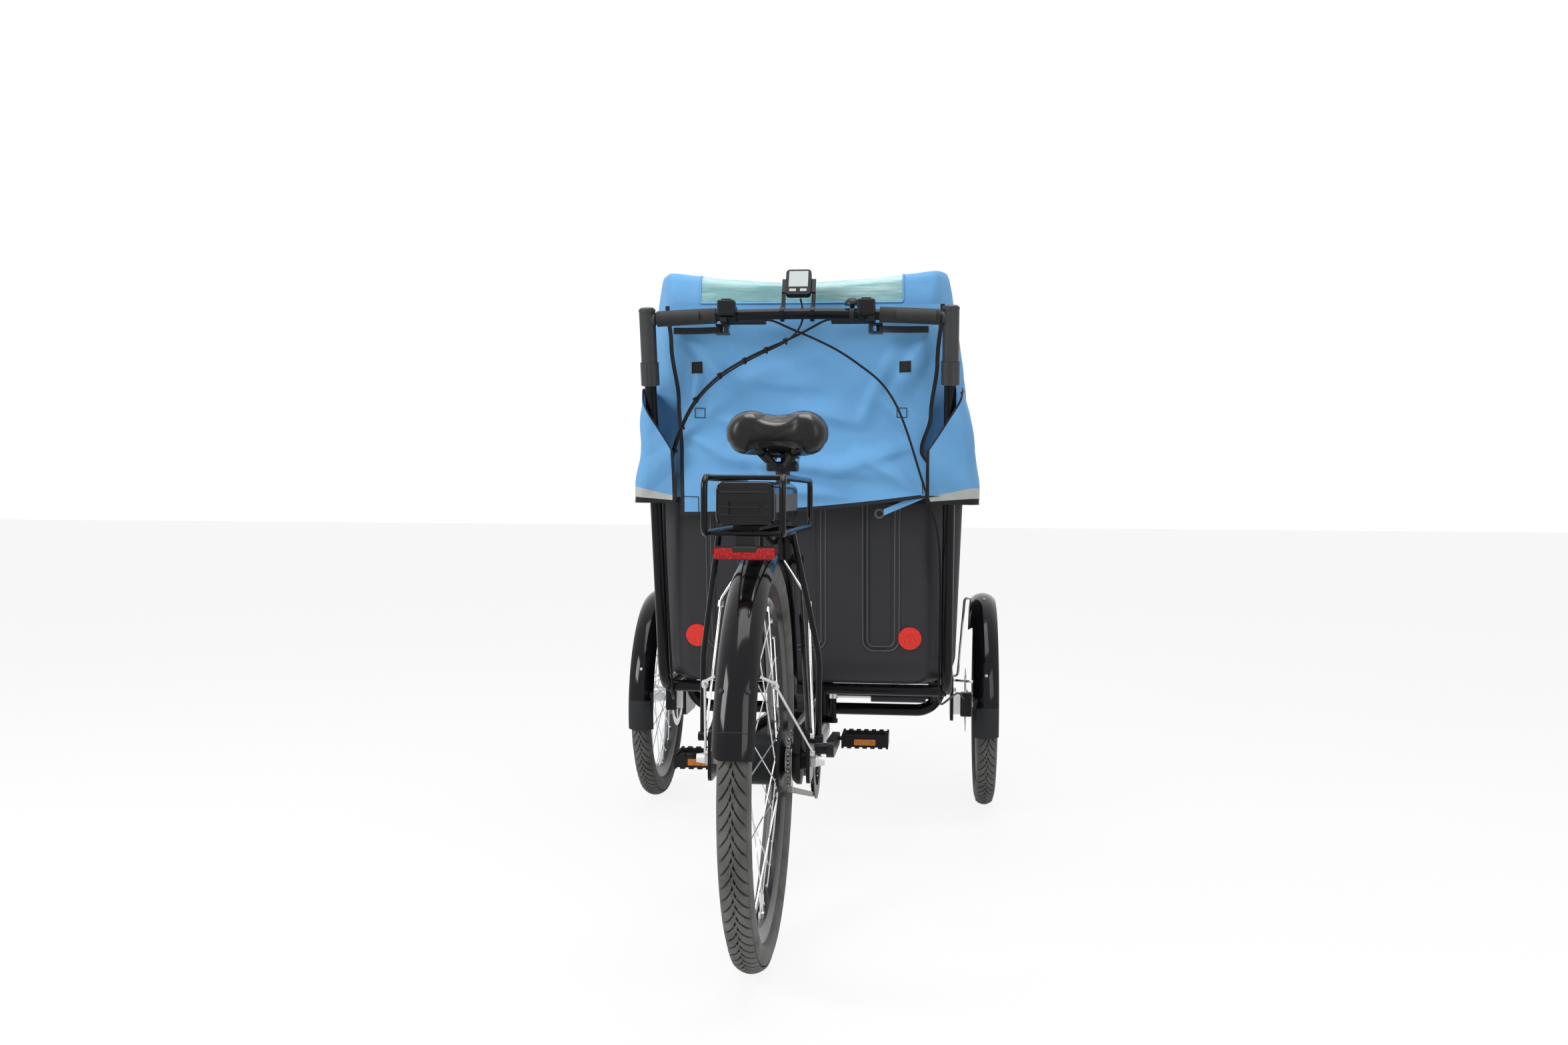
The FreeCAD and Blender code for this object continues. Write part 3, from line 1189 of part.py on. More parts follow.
def saddle_section(ahead, half, base, top, dip, arch):
    """Cross section of the saddle: two lobes with a dip between them above and an arch below."""
    foot = half * 0.62
    crown = half * 0.5
    under = [at(0, ahead, base + arch), at(foot / 2, ahead, base + arch * 0.75), at(foot, ahead, base)]
    side = [under[-1], at(half, ahead, base + (top - base) * 0.45), at(crown, ahead, top)]
    hollow = [side[-1], at(crown / 2, ahead, top - dip * 0.75), at(0, ahead, top - dip)]
    right = [under, side, hollow]
    left = [flipped(points) for points in right[::-1]]
    return Part.Wire([arc_edge(*points) for points in right + left])


def saddle():
    """Padded saddle, wide and two-lobed at the back, with a narrow nose."""
    wide = SADDLE_WIDTH / 2
    nose = SADDLE_NOSE_WIDTH / 2
    fall = SADDLE_REAR_HEIGHT - SADDLE_NOSE_HEIGHT
    sections = []
    for share, spread, sink, lift in SADDLE_STATIONS:
        half = nose + (wide - nose) * spread
        base = SADDLE_BASE_Z + lift
        top = SADDLE_BASE_Z + SADDLE_REAR_HEIGHT - fall * sink
        dip = SADDLE_DIP * max(0.12, 1 - 1.25 * share)
        arch = SADDLE_ARCH * max(0.1, 1 - 1.1 * share)
        sections.append(saddle_section(SADDLE_REAR + SADDLE_LENGTH * share, half, base, top, dip, arch))
    return Part.makeLoft(sections, True)


# Rack, battery, light and rear fender

def rear_rack():
    """Rack of bent tube: two side hoops, cross bars, legs, front struts and a fender hanger."""
    pieces = []
    for side in (-1, 1):
        x = side * RACK_HALF
        middle = (RACK_LOW_Z + RACK_TOP_Z) / 2
        for level in (RACK_TOP_Z, RACK_LOW_Z):
            half_hoop = [at(x, RACK_REAR, middle), at(x, RACK_REAR, level),
                         at(x, RACK_FRONT, level), at(x, RACK_FRONT, middle)]
            pieces.append(bent_bar(half_hoop, RACK_TUBE_RADIUS, [RACK_CORNER, RACK_CORNER]))
        leg_x = side * RACK_LEG_X
        leg = [at(x, RACK_LEG_TOP, RACK_LOW_Z), at(leg_x, 0, RACK_KNEE_Z), at(leg_x, 0, RACK_FOOT_Z)]
        pieces.append(bent_bar(leg, RACK_TUBE_RADIUS, [RACK_LEG_X]))
        foot = at(side * (DROPOUT_X + DROPOUT_PLATE / 2 + TOUCH), 0, RACK_FOOT_Z)
        foot_end = at(side * (RACK_LEG_X + RACK_FOOT_RADIUS), 0, RACK_FOOT_Z)
        pieces.append(cylinder(foot, foot_end, RACK_FOOT_RADIUS))
        strut_z = SEAT_TUBE_TOP_Z - CLAMP_HEIGHT - RACK_TUBE_RADIUS - 2
        strut_x = side * (SEAT_TUBE_RADIUS + RACK_BAR_RADIUS + SEAT_GAP)
        strut_root = at(strut_x, RACK_BARS_AHEAD[-1], RACK_LOW_Z)
        pieces.append(cylinder(strut_root, at(strut_x, seat_ahead(strut_z), strut_z), RACK_BAR_RADIUS))
    for ahead in RACK_BARS_AHEAD:
        left_end = at(-RACK_HALF, ahead, RACK_LOW_Z)
        pieces.append(cylinder(left_end, left_end + X_AXIS * (2 * RACK_HALF), RACK_BAR_RADIUS))
    top_bar = RACK_REAR + RACK_CORNER + RACK_CORNER_CLEAR
    left_end = at(-RACK_HALF, top_bar, RACK_TOP_Z)
    pieces.append(cylinder(left_end, left_end + X_AXIS * (2 * RACK_HALF), RACK_BAR_RADIUS))
    fender_top = REAR_TYRE_RADIUS + REAR_FENDER_RADIUS + SEAT_GAP
    pieces.append(cylinder(at(0, 0, fender_top), at(0, 0, RACK_LOW_Z), RACK_BAR_RADIUS))
    return fused(pieces)


def battery_rail():
    """Slide rail that the battery sits on, resting on the rack's cross bars."""
    low = RACK_LOW_Z + RACK_BAR_RADIUS + TOUCH
    start = at(-BATTERY_RAIL_HALF, BATTERY_REAR + 16, low)
    end = at(BATTERY_RAIL_HALF, BATTERY_REAR + BATTERY_LENGTH - 10, low + BATTERY_RAIL_HEIGHT)
    rail = block(start, end)
    return rail.makeChamfer(2.0, [edge for edge in rail.Edges if abs(edge.tangentAt(0).y) > 0.9])


def battery():
    """Battery pack with rounded long edges and a hand recess in its rear end."""
    low = RACK_LOW_Z + RACK_BAR_RADIUS + BATTERY_RAIL_HEIGHT + 2 * TOUCH
    start = at(-BATTERY_HALF, BATTERY_REAR, low)
    end = at(BATTERY_HALF, BATTERY_REAR + BATTERY_LENGTH, low + BATTERY_HEIGHT)
    pack = block(start, end)
    long_edges = [edge for edge in pack.Edges if abs(edge.tangentAt(0).y) > 0.9]
    pack = pack.makeFillet(BATTERY_ROUND, long_edges)
    rear_face = min(pack.Faces, key=lambda face: face.CenterOfMass.y)
    pack = pack.makeFillet(BATTERY_ROUND / 3, rear_face.Edges)
    recess_low = at(-BATTERY_HALF * 0.55, BATTERY_REAR - 2, low + BATTERY_HEIGHT * 0.22)
    recess_high = at(BATTERY_HALF * 0.55, BATTERY_REAR + 8, low + BATTERY_HEIGHT * 0.55)
    return pack.cut(block(recess_low, recess_high))


def tail_light():
    """Tail light with pointed ends, on a strap under the rear cross bar."""
    half = TAIL_LIGHT_WIDTH / 2
    tall = TAIL_LIGHT_HEIGHT / 2
    rear = RACK_BARS_AHEAD[0] - TAIL_LIGHT_DEPTH / 2
    outline = [at(-half, rear, TAIL_LIGHT_Z + tall * 0.3), at(-half + 8, rear, TAIL_LIGHT_Z - tall),
               at(half - 8, rear, TAIL_LIGHT_Z - tall), at(half, rear, TAIL_LIGHT_Z + tall * 0.3),
               at(half - 5, rear, TAIL_LIGHT_Z + tall), at(-half + 5, rear, TAIL_LIGHT_Z + tall)]
    lamp = polygon_face(outline).extrude(Y_AXIS * TAIL_LIGHT_DEPTH)
    bar_low = RACK_LOW_Z - RACK_BAR_RADIUS - TOUCH
    strap = block(at(-14, RACK_BARS_AHEAD[0] - 2, TAIL_LIGHT_Z), at(14, RACK_BARS_AHEAD[0] + 2, bar_low))
    return fused([lamp, strap])


def corner_cutters(centre, radius, half, drop, angle, corner):
    """Cutters that round both corners of a fender's rear end, at an angle from the top."""
    low = radius - drop - corner
    high = radius + corner
    cutters = []
    for side in (-1, 1):
        inner = side * (half - corner)
        xs = sorted((inner, side * (half + corner)))
        waste = block(FreeCAD.Vector(xs[0], -corner, low), FreeCAD.Vector(xs[1], corner, high))
        kept = cylinder(FreeCAD.Vector(inner, corner, low), FreeCAD.Vector(inner, corner, high), corner)
        cutters.append(waste.cut(kept))
    tool = Part.makeCompound(cutters)
    tool.rotate(ORIGIN, X_AXIS, angle)
    tool.translate(centre)
    return tool


def fender(centre, radius, half, drop, rear_angle, front_angle, corner):
    """Rolled fender with a crowned section between two angles from the top, its rear end rounded."""
    edge_half = half - FENDER_PLATE
    edge = radius - drop
    outer = [section_point(-half, edge), section_point(0, radius), section_point(half, edge)]
    inner = [section_point(edge_half, edge), section_point(0, radius - FENDER_PLATE),
             section_point(-edge_half, edge)]
    edges = [arc_edge(*outer), Part.makeLine(outer[-1], inner[0]), arc_edge(*inner),
             Part.makeLine(inner[-1], outer[0])]
    rolled = spun(edges, centre, -front_angle, front_angle + rear_angle)
    return rolled.cut(corner_cutters(centre, radius, half, drop, rear_angle, corner))


def rear_fender():
    """Rear fender, from behind the seat tube to low behind the wheel."""
    return fender(at(0, 0, REAR_TYRE_RADIUS), REAR_FENDER_RADIUS, REAR_FENDER_HALF, REAR_FENDER_DROP,
                  REAR_FENDER_REAR, REAR_FENDER_FRONT, REAR_FENDER_CORNER)


def fender_edge(angle, centre, radius, drop, x):
    """Point beside the edge of a fender at an angle from the top, rearward positive."""
    turn = math.radians(angle)
    reach = radius - drop
    return centre + FreeCAD.Vector(x, -math.sin(turn) * reach, math.cos(turn) * reach)


def rear_fender_stays():
    """Four wire stays with their clips, from the dropouts to the fender's edges."""
    centre = at(0, 0, REAR_TYRE_RADIUS)
    face = DROPOUT_X + DROPOUT_PLATE / 2 + TOUCH
    wire_x = face + STAY_RADIUS + STAY_STANDOFF
    stays = []
    upper = (UPPER_STAY_ANGLE, UPPER_EYE_Z, UPPER_CLIP)
    lower = (LOWER_STAY_ANGLE, LOWER_EYE_Z, LOWER_CLIP)
    edge_x = REAR_FENDER_HALF + 2 * SEAT_GAP
    for angle, eye_z, knee in (upper, lower):
        eye = at(face, -STAY_EYE_BEHIND, eye_z)
        start = at(wire_x, -STAY_EYE_BEHIND, eye_z)
        clip = at(*knee)
        tip = fender_edge(angle, centre, REAR_FENDER_RADIUS, REAR_FENDER_DROP, edge_x)
        along = (clip - start).normalize()
        wire = bent_bar([start, clip, tip], STAY_RADIUS, [STAY_BEND])
        sleeve_end = clip - along * STAY_CLIP_RADIUS
        sleeve = cylinder(sleeve_end - along * (2 * STAY_CLIP_RADIUS), sleeve_end, STAY_CLIP_RADIUS)
        stays.append(fused([wire, sleeve, cylinder(eye, start + X_AXIS * STAY_RADIUS, STAY_EYE)]))
    right = Part.makeCompound(stays)
    return Part.makeCompound(stays + mirrored(right).Solids)


# Front carrier

def cabin_frame():
    """Welded carrier: bent side tubes, crossbars, cradle tube, kingpin housing and axle beam."""
    tube = CARRIER_TUBE_RADIUS
    right = [at(POST_X, post_ahead(POST_TOP_Z), POST_TOP_Z), at(POST_X, post_ahead(RAIL_Z), RAIL_Z),
             at(POST_X, RAIL_SHOULDER, RAIL_Z), at(RAIL_NOSE_HALF, RAIL_NOSE, RAIL_Z)]
    left = [FreeCAD.Vector(-point.x, point.y, point.z) for point in right[::-1]]
    bends = [POST_BEND, RAIL_BEND, RAIL_BEND]
    pieces = [bent_bar(right + left, tube, bends + bends[::-1])]
    pieces.append(cylinder(at(-POST_X, CROSSBAR_AHEAD, RAIL_Z), at(POST_X, CROSSBAR_AHEAD, RAIL_Z), tube))
    pieces.append(cylinder(at(0, CROSSBAR_AHEAD, RAIL_Z), at(0, RAIL_NOSE, RAIL_Z), tube))
    cradle = [at(CRADLE_HALF, KINGPIN_AHEAD, RAIL_Z), at(CRADLE_HALF, KINGPIN_AHEAD, CRADLE_Z),
              at(-CRADLE_HALF, KINGPIN_AHEAD, CRADLE_Z), at(-CRADLE_HALF, KINGPIN_AHEAD, RAIL_Z)]
    pieces.append(bent_bar(cradle, CRADLE_RADIUS, [CRADLE_BEND, CRADLE_BEND]))
    head_low = FLANGE_Z + FLANGE_PLATE + SEAT_GAP
    pieces.append(cylinder(at(0, KINGPIN_AHEAD, head_low), at(0, KINGPIN_AHEAD, RAIL_Z), HEAD_RADIUS))
    beam_end = END_PLATE_X + END_PLATE / 2
    beam_left = at(-beam_end, WHEELBASE, AXLE_BEAM_Z)
    pieces.append(cylinder(beam_left, beam_left + X_AXIS * (2 * beam_end), AXLE_BEAM_RADIUS))
    for side in (-1, 1):
        pieces.append(end_plate(side))
    pieces.append(damper_lug())
    frame = fused(pieces)
    bore_top = at(0, KINGPIN_AHEAD, KINGPIN_TOP_Z + 2)
    bore = cylinder(at(0, KINGPIN_AHEAD, head_low - 5), bore_top, KINGPIN_RADIUS + RUN_FIT)
    return frame.cut(bore)


def end_plate(side):
    """Upright plate at one end of the axle beam, which carries the stub axle and the caliper."""
    x = side * END_PLATE_X
    low = FRONT_TYRE_RADIUS - END_PLATE_BELOW
    high = AXLE_BEAM_Z + AXLE_BEAM_RADIUS
    corners = [at(x, WHEELBASE - END_PLATE_REAR, low), at(x, WHEELBASE + END_PLATE_FRONT, low),
               at(x, WHEELBASE + END_PLATE_FRONT, high), at(x, WHEELBASE - END_PLATE_REAR, high)]
    return Part.Face(rounded_outline(corners, [DROPOUT_CORNER] * 4)).extrude(X_AXIS * (side * END_PLATE))


def damper_lug():
    """Lug under the right rail with the pin that the damper swings on."""
    ahead = KINGPIN_AHEAD - DAMPER_BEHIND
    top = RAIL_Z
    low = DAMPER_Z + DAMPER_RADIUS + 2
    lug = block(at(DAMPER_FRONT_X - DAMPER_EYE_RADIUS, ahead - DAMPER_EYE_RADIUS, low),
                at(POST_X, ahead + DAMPER_EYE_RADIUS, top - CARRIER_TUBE_RADIUS / 2))
    pin_foot = at(DAMPER_FRONT_X, ahead, DAMPER_Z - DAMPER_EYE_HEIGHT)
    pin = cylinder(pin_foot, at(DAMPER_FRONT_X, ahead, low + 1), DAMPER_PIN_RADIUS)
    return fused([lug, pin])


def damper_cylinder():
    """Damper body with the eye that swings on the carrier's pin."""
    ahead = KINGPIN_AHEAD - DAMPER_BEHIND
    eye = at(DAMPER_FRONT_X, ahead, DAMPER_Z)
    half = Z_AXIS * (DAMPER_EYE_HEIGHT / 2)
    body_start = eye - X_AXIS * (DAMPER_EYE_RADIUS + DAMPER_NECK)
    body_end = body_start - X_AXIS * DAMPER_LENGTH
    body = cylinder(body_start, body_end, DAMPER_RADIUS)
    neck = cylinder(eye, body_start - X_AXIS, DAMPER_NECK_RADIUS)
    solid = fused([cylinder(eye - half, eye + half, DAMPER_EYE_RADIUS), neck, body])
    pin_bore = cylinder(eye - half * 2, eye + half * 2, DAMPER_PIN_RADIUS + RUN_FIT)
    rod_bore = cylinder(body_end - X_AXIS, body_start - X_AXIS * 8, DAMPER_ROD_RADIUS + RUN_FIT)
    return solid.cut(pin_bore).cut(rod_bore)


def damper_rod():
    """Damper rod with the eye that stands over the stud of the rear frame's arm."""
    ahead = KINGPIN_AHEAD - DAMPER_BEHIND
    eye = at(DAMPER_REAR_X, ahead, DAMPER_Z)
    half = Z_AXIS * (DAMPER_EYE_HEIGHT / 2)
    inner = at(DAMPER_FRONT_X - DAMPER_EYE_RADIUS - DAMPER_NECK - DAMPER_LENGTH * 0.55, ahead, DAMPER_Z)
    eye_ring = cylinder(eye - half, eye + half, DAMPER_EYE_RADIUS)
    return fused([eye_ring, cylinder(eye, inner, DAMPER_ROD_RADIUS)])


def stub_axles():
    """Front stub axles with their flanges, end caps and the blocks that carry the calipers."""
    face = END_PLATE_X + END_PLATE + TOUCH
    centre = at(face, WHEELBASE, FRONT_TYRE_RADIUS)
    cap_start = HUB_OUTER_X + SEAT_GAP
    cap_foot = at(cap_start, WHEELBASE, FRONT_TYRE_RADIUS)
    pieces = [cylinder(centre, centre + X_AXIS * STUB_FLANGE_PLATE, STUB_FLANGE_RADIUS),
              cylinder(centre, at(cap_start + 1, WHEELBASE, FRONT_TYRE_RADIUS), STUB_RADIUS),
              cylinder(cap_foot, cap_foot + X_AXIS * STUB_CAP, STUB_CAP_RADIUS)]
    axle = fused(pieces)
    low, high = caliper_corners()
    carrier = block(FreeCAD.Vector(face, low.y, low.z + 6), FreeCAD.Vector(low.x - TOUCH, high.y, high.z - 6))
    return Part.makeCompound([axle, carrier, mirrored(axle), mirrored(carrier)])


def caliper_corners():
    """Two opposite corners of the right brake caliper."""
    ahead = WHEELBASE + CALIPER_AHEAD
    low = at(ROTOR_X - CALIPER_HALF_X, ahead - CALIPER_DEPTH / 2, FRONT_TYRE_RADIUS - CALIPER_HEIGHT / 2)
    high = at(ROTOR_X + CALIPER_HALF_X, ahead + CALIPER_DEPTH / 2, FRONT_TYRE_RADIUS + CALIPER_HEIGHT / 2)
    return low, high


def brake_calipers():
    """Calipers that straddle the discs, with a slot for each disc."""
    low, high = caliper_corners()
    body = rounded_block(low, high, 4.0)
    slot_half = ROTOR_PLATE / 2 + PAD_GAP
    slot = block(FreeCAD.Vector(ROTOR_X - slot_half, low.y + 6, low.z - 1),
                 FreeCAD.Vector(ROTOR_X + slot_half, high.y + 1, high.z + 1))
    return pair(body.cut(slot))


def front_fenders():
    """Front fenders, fixed to the carrier, low behind the wheels."""
    centre = at(HALF_TRACK - FRONT_FENDER_SHIFT, WHEELBASE, FRONT_TYRE_RADIUS)
    return pair(fender(centre, FRONT_FENDER_RADIUS, FRONT_FENDER_HALF, FRONT_FENDER_DROP,
                       FRONT_FENDER_REAR, FRONT_FENDER_FRONT, FRONT_FENDER_CORNER))


def front_fender_stays():
    """Rods from the end plates to the inner edges of the front fenders."""
    face = END_PLATE_X + END_PLATE + TOUCH
    centre = at(0, WHEELBASE, FRONT_TYRE_RADIUS)
    edge_x = HALF_TRACK - FRONT_FENDER_SHIFT - FRONT_FENDER_HALF - SEAT_GAP
    rods = []
    for angle, root_ahead in ((0.0, 20.0), (72.0, -64.0)):
        root = at(face, WHEELBASE + root_ahead, AXLE_BEAM_Z + 4)
        tip = fender_edge(angle, centre, FRONT_FENDER_RADIUS, FRONT_FENDER_DROP, edge_x)
        rise = at(face + 12, WHEELBASE + root_ahead, AXLE_BEAM_Z + 4)
        inner_tip = tip - X_AXIS * 14
        rod = bent_bar([root, rise, inner_tip, tip], STAY_RADIUS + 1, [8.0, 8.0])
        rods.append(rod)
    return Part.makeCompound(rods + mirrored(Part.makeCompound(rods)).Solids)


# Cargo box

def box_share(z):
    """Share of the way from the box floor to its top edge."""
    return (z - BOX_FLOOR_Z) / (BOX_TOP_Z - BOX_FLOOR_Z)


def between(low, high, share):
    """Value part of the way between two values."""
    return low + (high - low) * share


def plan_corners(z, rear, rear_half, corner_depth, half, shoulder, nose_half, nose):
    """Eight corners of a plan outline, counter-clockwise from above, from the right rear."""
    right = [at(rear_half, rear, z), at(half, rear + corner_depth, z), at(half, shoulder, z),
             at(nose_half, nose, z)]
    return right + flipped(right)


def plan_radii(scale):
    """Corner radii of a plan outline."""
    radii = (BOX_REAR_RADIUS, BOX_CORNER_RADIUS, BOX_SHOULDER_RADIUS, BOX_NOSE_RADIUS)
    right = [radius * scale for radius in radii]
    return right + right[::-1]


def box_corners(z):
    """Plan corners of the cargo box's outer wall at a height."""
    share = box_share(z)
    return plan_corners(z, between(BOX_REAR_FLOOR, BOX_REAR_TOP, share), BOX_REAR_HALF, BOX_CORNER_DEPTH,
                        between(BOX_HALF_FLOOR, BOX_HALF_TOP, share), BOX_SHOULDER, BOX_NOSE_HALF,
                        between(BOX_NOSE_FLOOR, BOX_NOSE_TOP, share))


def box_outline(z, inset):
    """Rounded plan outline of the box at a height, drawn in by an inset."""
    return rounded_outline(offset_corners(box_corners(z), -inset), plan_radii(1.0))


def box_solid(inset):
    """Box shape with a rounded floor edge, drawn in by an inset on all sides and below."""
    floor = BOX_FLOOR_Z + inset
    sections = []
    for share in (0.0, 0.3, 0.7, 1.0):
        angle = math.pi / 2 * share
        z = floor + BOX_FLOOR_ROUND * (1 - math.cos(angle))
        tuck = BOX_FLOOR_INSET * (1 - math.sin(angle))
        sections.append(box_outline(z, inset + tuck))
    curve = Part.makeLoft(sections, True)
    knee = floor + BOX_FLOOR_ROUND
    walls = Part.makeLoft([box_outline(knee, inset), box_outline(BOX_TOP_Z, inset)], True, True)
    return fused([curve, walls])


def cargo_box():
    """Cargo box, open at the top, of panels joined edge to edge, with three sunk fields in its rear wall."""
    outer = box_solid(0.0)
    inner = box_solid(BOX_WALL)
    tub = outer.cut(inner)
    slots = []
    for x, width in ((0.0, SLOT_WIDTH), (SLOT_X, SLOT_WIDTH), (-SLOT_X, SLOT_WIDTH)):
        slots.append(rear_slot(x, width))
    return box_panels(tub.cut(Part.makeCompound(slots)))


def box_panels(tub):
    """Floor, rear wall, two sides and three nose panels of the tub, parted where they are joined."""
    beyond = 2 * BOX_NOSE_TOP
    floor = BOX_FLOOR_Z + BOX_WALL
    zones = [
        (at(-beyond, 0, 0), at(beyond, beyond, floor)),
        (at(-beyond, 0, floor), at(beyond, PANEL_REAR, beyond)),
        (at(-beyond, PANEL_REAR, floor), at(0, PANEL_FRONT, beyond)),
        (at(0, PANEL_REAR, floor), at(beyond, PANEL_FRONT, beyond)),
        (at(-beyond, PANEL_FRONT, floor), at(-PANEL_NOSE_HALF, beyond, beyond)),
        (at(-PANEL_NOSE_HALF, PANEL_FRONT, floor), at(PANEL_NOSE_HALF, beyond, beyond)),
        (at(PANEL_NOSE_HALF, PANEL_FRONT, floor), at(beyond, beyond, beyond)),
    ]
    panels = []
    for low, high in zones:
        panels.extend(tub.common(block(low, high)).Solids)
    return Part.makeCompound(panels)


def rear_wall_ahead(z):
    """Distance ahead of the rear axle of the box's rear wall at a height."""
    return between(BOX_REAR_FLOOR, BOX_REAR_TOP, box_share(z))


def rear_slot(x, width):
    """Shallow upright panel with a round lower end, sunk into the leaning rear wall."""
    radius = width / 2
    low = SLOT_BOTTOM_Z + radius
    arc = arc_edge(at(x - radius, 0, low), at(x, 0, SLOT_BOTTOM_Z), at(x + radius, 0, low))
    corners = [at(x + radius, 0, low), at(x + radius, 0, SLOT_TOP_Z), at(x - radius, 0, SLOT_TOP_Z),
               at(x - radius, 0, low)]
    sides = [Part.makeLine(a, b) for a, b in zip(corners, corners[1:])]
    face = Part.Face(Part.Wire([arc] + sides))
    depth = 2 * BOX_WALL
    cutter = face.extrude(Y_AXIS * depth)
    lean = rear_wall_ahead(SLOT_BOTTOM_Z) - rear_wall_ahead(SLOT_TOP_Z)
    angle = math.degrees(math.atan2(lean, SLOT_TOP_Z - SLOT_BOTTOM_Z))
    cutter.rotate(at(x, 0, SLOT_BOTTOM_Z), X_AXIS, angle)
    cutter.translate(Y_AXIS * (rear_wall_ahead(SLOT_BOTTOM_Z) + SLOT_DEPTH - depth))
    return cutter


def box_rim():
    """Edge moulding round the top of the box: a cap on the wall and a skirt outside it."""
    cap_low = BOX_TOP_Z + TOUCH
    cap_high = cap_low + RIM_CAP
    skirt_low = BOX_TOP_Z - RIM_SKIRT
    corners = box_corners(BOX_TOP_Z)
    radii = plan_radii(1.0)

    def prism(distance, low, high):
        points = [FreeCAD.Vector(p.x, p.y, low) for p in offset_corners(corners, distance)]
        return Part.Face(rounded_outline(points, radii)).extrude(Z_AXIS * (high - low))

    body = prism(RIM_OVERHANG, skirt_low, cap_high)
    top_edges = [edge for edge in body.Edges if edge.BoundBox.ZMin > cap_high - TOUCH]
    body = body.makeFillet(RIM_CAP * 0.4, top_edges)
    below = prism(SEAT_GAP, skirt_low - 1, cap_low)
    return body.cut(below).cut(prism(-RIM_INSIDE, skirt_low - 1, cap_high + 1))


def rear_reflectors():
    """Round reflectors on the rear wall of the box."""
    lean = (BOX_REAR_FLOOR - BOX_REAR_TOP) / (BOX_TOP_Z - BOX_FLOOR_Z)
    outward = FreeCAD.Vector(0, -1, -lean).normalize()
    start = at(REFLECTOR_X, rear_wall_ahead(REFLECTOR_Z), REFLECTOR_Z) + outward * TOUCH
    disc = cylinder(start, start + outward * REFLECTOR_PLATE, REFLECTOR_RADIUS)
    rim_edge = [edge for edge in disc.Edges if (edge.CenterOfMass - start).Length > REFLECTOR_PLATE * 0.9]
    return pair(disc.makeFillet(REFLECTOR_PLATE * 0.3, rim_edge[:1]))


# Canopy

def canopy_solid(inset):
    """Canopy shape, drawn in by an inset on all sides and above, from its hem to its sagging roof."""
    reach = RIM_OVERHANG + CANOPY_GAP + CLOTH - inset
    brow_z = BOX_TOP_Z + RIM_CAP + BOX_WALL
    rim_corners = offset_corners(box_corners(BOX_TOP_Z), reach)
    hem = rounded_outline([FreeCAD.Vector(p.x, p.y, CANOPY_HEM_Z) for p in rim_corners], plan_radii(1.0))
    skirt = Part.Face(hem).extrude(Z_AXIS * (brow_z - CANOPY_HEM_Z))
    brow = rounded_outline([FreeCAD.Vector(p.x, p.y, brow_z) for p in rim_corners], plan_radii(1.0))
    sections = [brow]
    for z, *station in CANOPY_STATIONS:
        corners = plan_corners(z, *station)
        sections.append(rounded_outline(offset_corners(corners, -inset), plan_radii(0.8)))
    top = CANOPY_STATIONS[-1]
    top_corners = plan_corners(ROOF_Z - inset, *top[1:])
    tuck = top[4] - ROOF_HALF + inset
    sections.append(rounded_outline(offset_corners(top_corners, -tuck), plan_radii(0.75)))
    body = fused([skirt, Part.makeLoft(sections, True)])
    sag_radius = (ROOF_HALF ** 2 + ROOF_SAG ** 2) / (2 * ROOF_SAG)
    dish_z = ROOF_Z - ROOF_SAG - inset + sag_radius
    dish = cylinder(at(0, 0, dish_z), at(0, FRONT_END, dish_z), sag_radius)
    return body.cut(dish)


def window_boxes(margin):
    """Blocks that mark the clear windows: rear strip, front and both sides."""
    ends = FreeCAD.Vector(margin, 0, margin)
    edges = FreeCAD.Vector(0, margin, margin)
    rear = block(at(*REAR_WINDOW[0]) + ends, at(*REAR_WINDOW[1]) - ends)
    front = block(at(*FRONT_WINDOW[0]) + ends, at(*FRONT_WINDOW[1]) - ends)
    side = block(at(*SIDE_WINDOW[0]) + edges, at(*SIDE_WINDOW[1]) - edges)
    return Part.makeCompound([rear, front, side, mirrored(side)])


def canopy_pieces():
    """Canopy cloth with its window openings, and the clear windows that fill them."""
    shell = canopy_solid(0.0).cut(canopy_solid(CLOTH))
    cloth = shell.cut(window_boxes(0.0))
    windows = shell.common(window_boxes(SEAT_GAP))
    return cloth, windows


def canopy_bows():
    """Two bent bows that stand on the rim and hold the roof's corners up."""
    bows = []
    foot_z = BOX_TOP_Z + TOUCH + RIM_CAP + SEAT_GAP
    top_z = ROOF_Z - ROOF_SAG - CLOTH - BOW_RADIUS - BOW_SINK
    for ahead in BOWS_AHEAD:
        foot_x = BOX_HALF_TOP
        top_x = ROOF_HALF - BOW_TUCK
        right = [at(foot_x, ahead, foot_z), at(foot_x, ahead, foot_z + BOW_FOOT), at(top_x, ahead, top_z)]
        bows.append(bent_bar(right + flipped(right), BOW_RADIUS, [BOW_FOOT, BOW_BEND, BOW_BEND, BOW_FOOT]))
    return Part.makeCompound(bows)


def flap_outline(rise, reach, ahead):
    """Closed plan outline of a corner flap at a rise above the hem, one cloth thickness wide."""
    post = post_axis(POST_X, CANOPY_HEM_Z + rise)

    def bend(offset):
        out = reach + offset
        back = -FLAP_BEHIND - offset
        points = [post + FreeCAD.Vector(out, ahead, 0), post + FreeCAD.Vector(out, back, 0),
                  post + FreeCAD.Vector(-FLAP_IN, back, 0)]
        return corner_arcs(points, [FLAP_BEND + offset])

    inner = bend(0.0)
    outer = bend(CLOTH)
    front = Part.makeLine(outer[0].Vertexes[0].Point, inner[0].Vertexes[0].Point)
    back = Part.makeLine(inner[-1].Vertexes[-1].Point, outer[-1].Vertexes[-1].Point)
    return Part.Wire([front] + inner + [back] + outer[::-1])


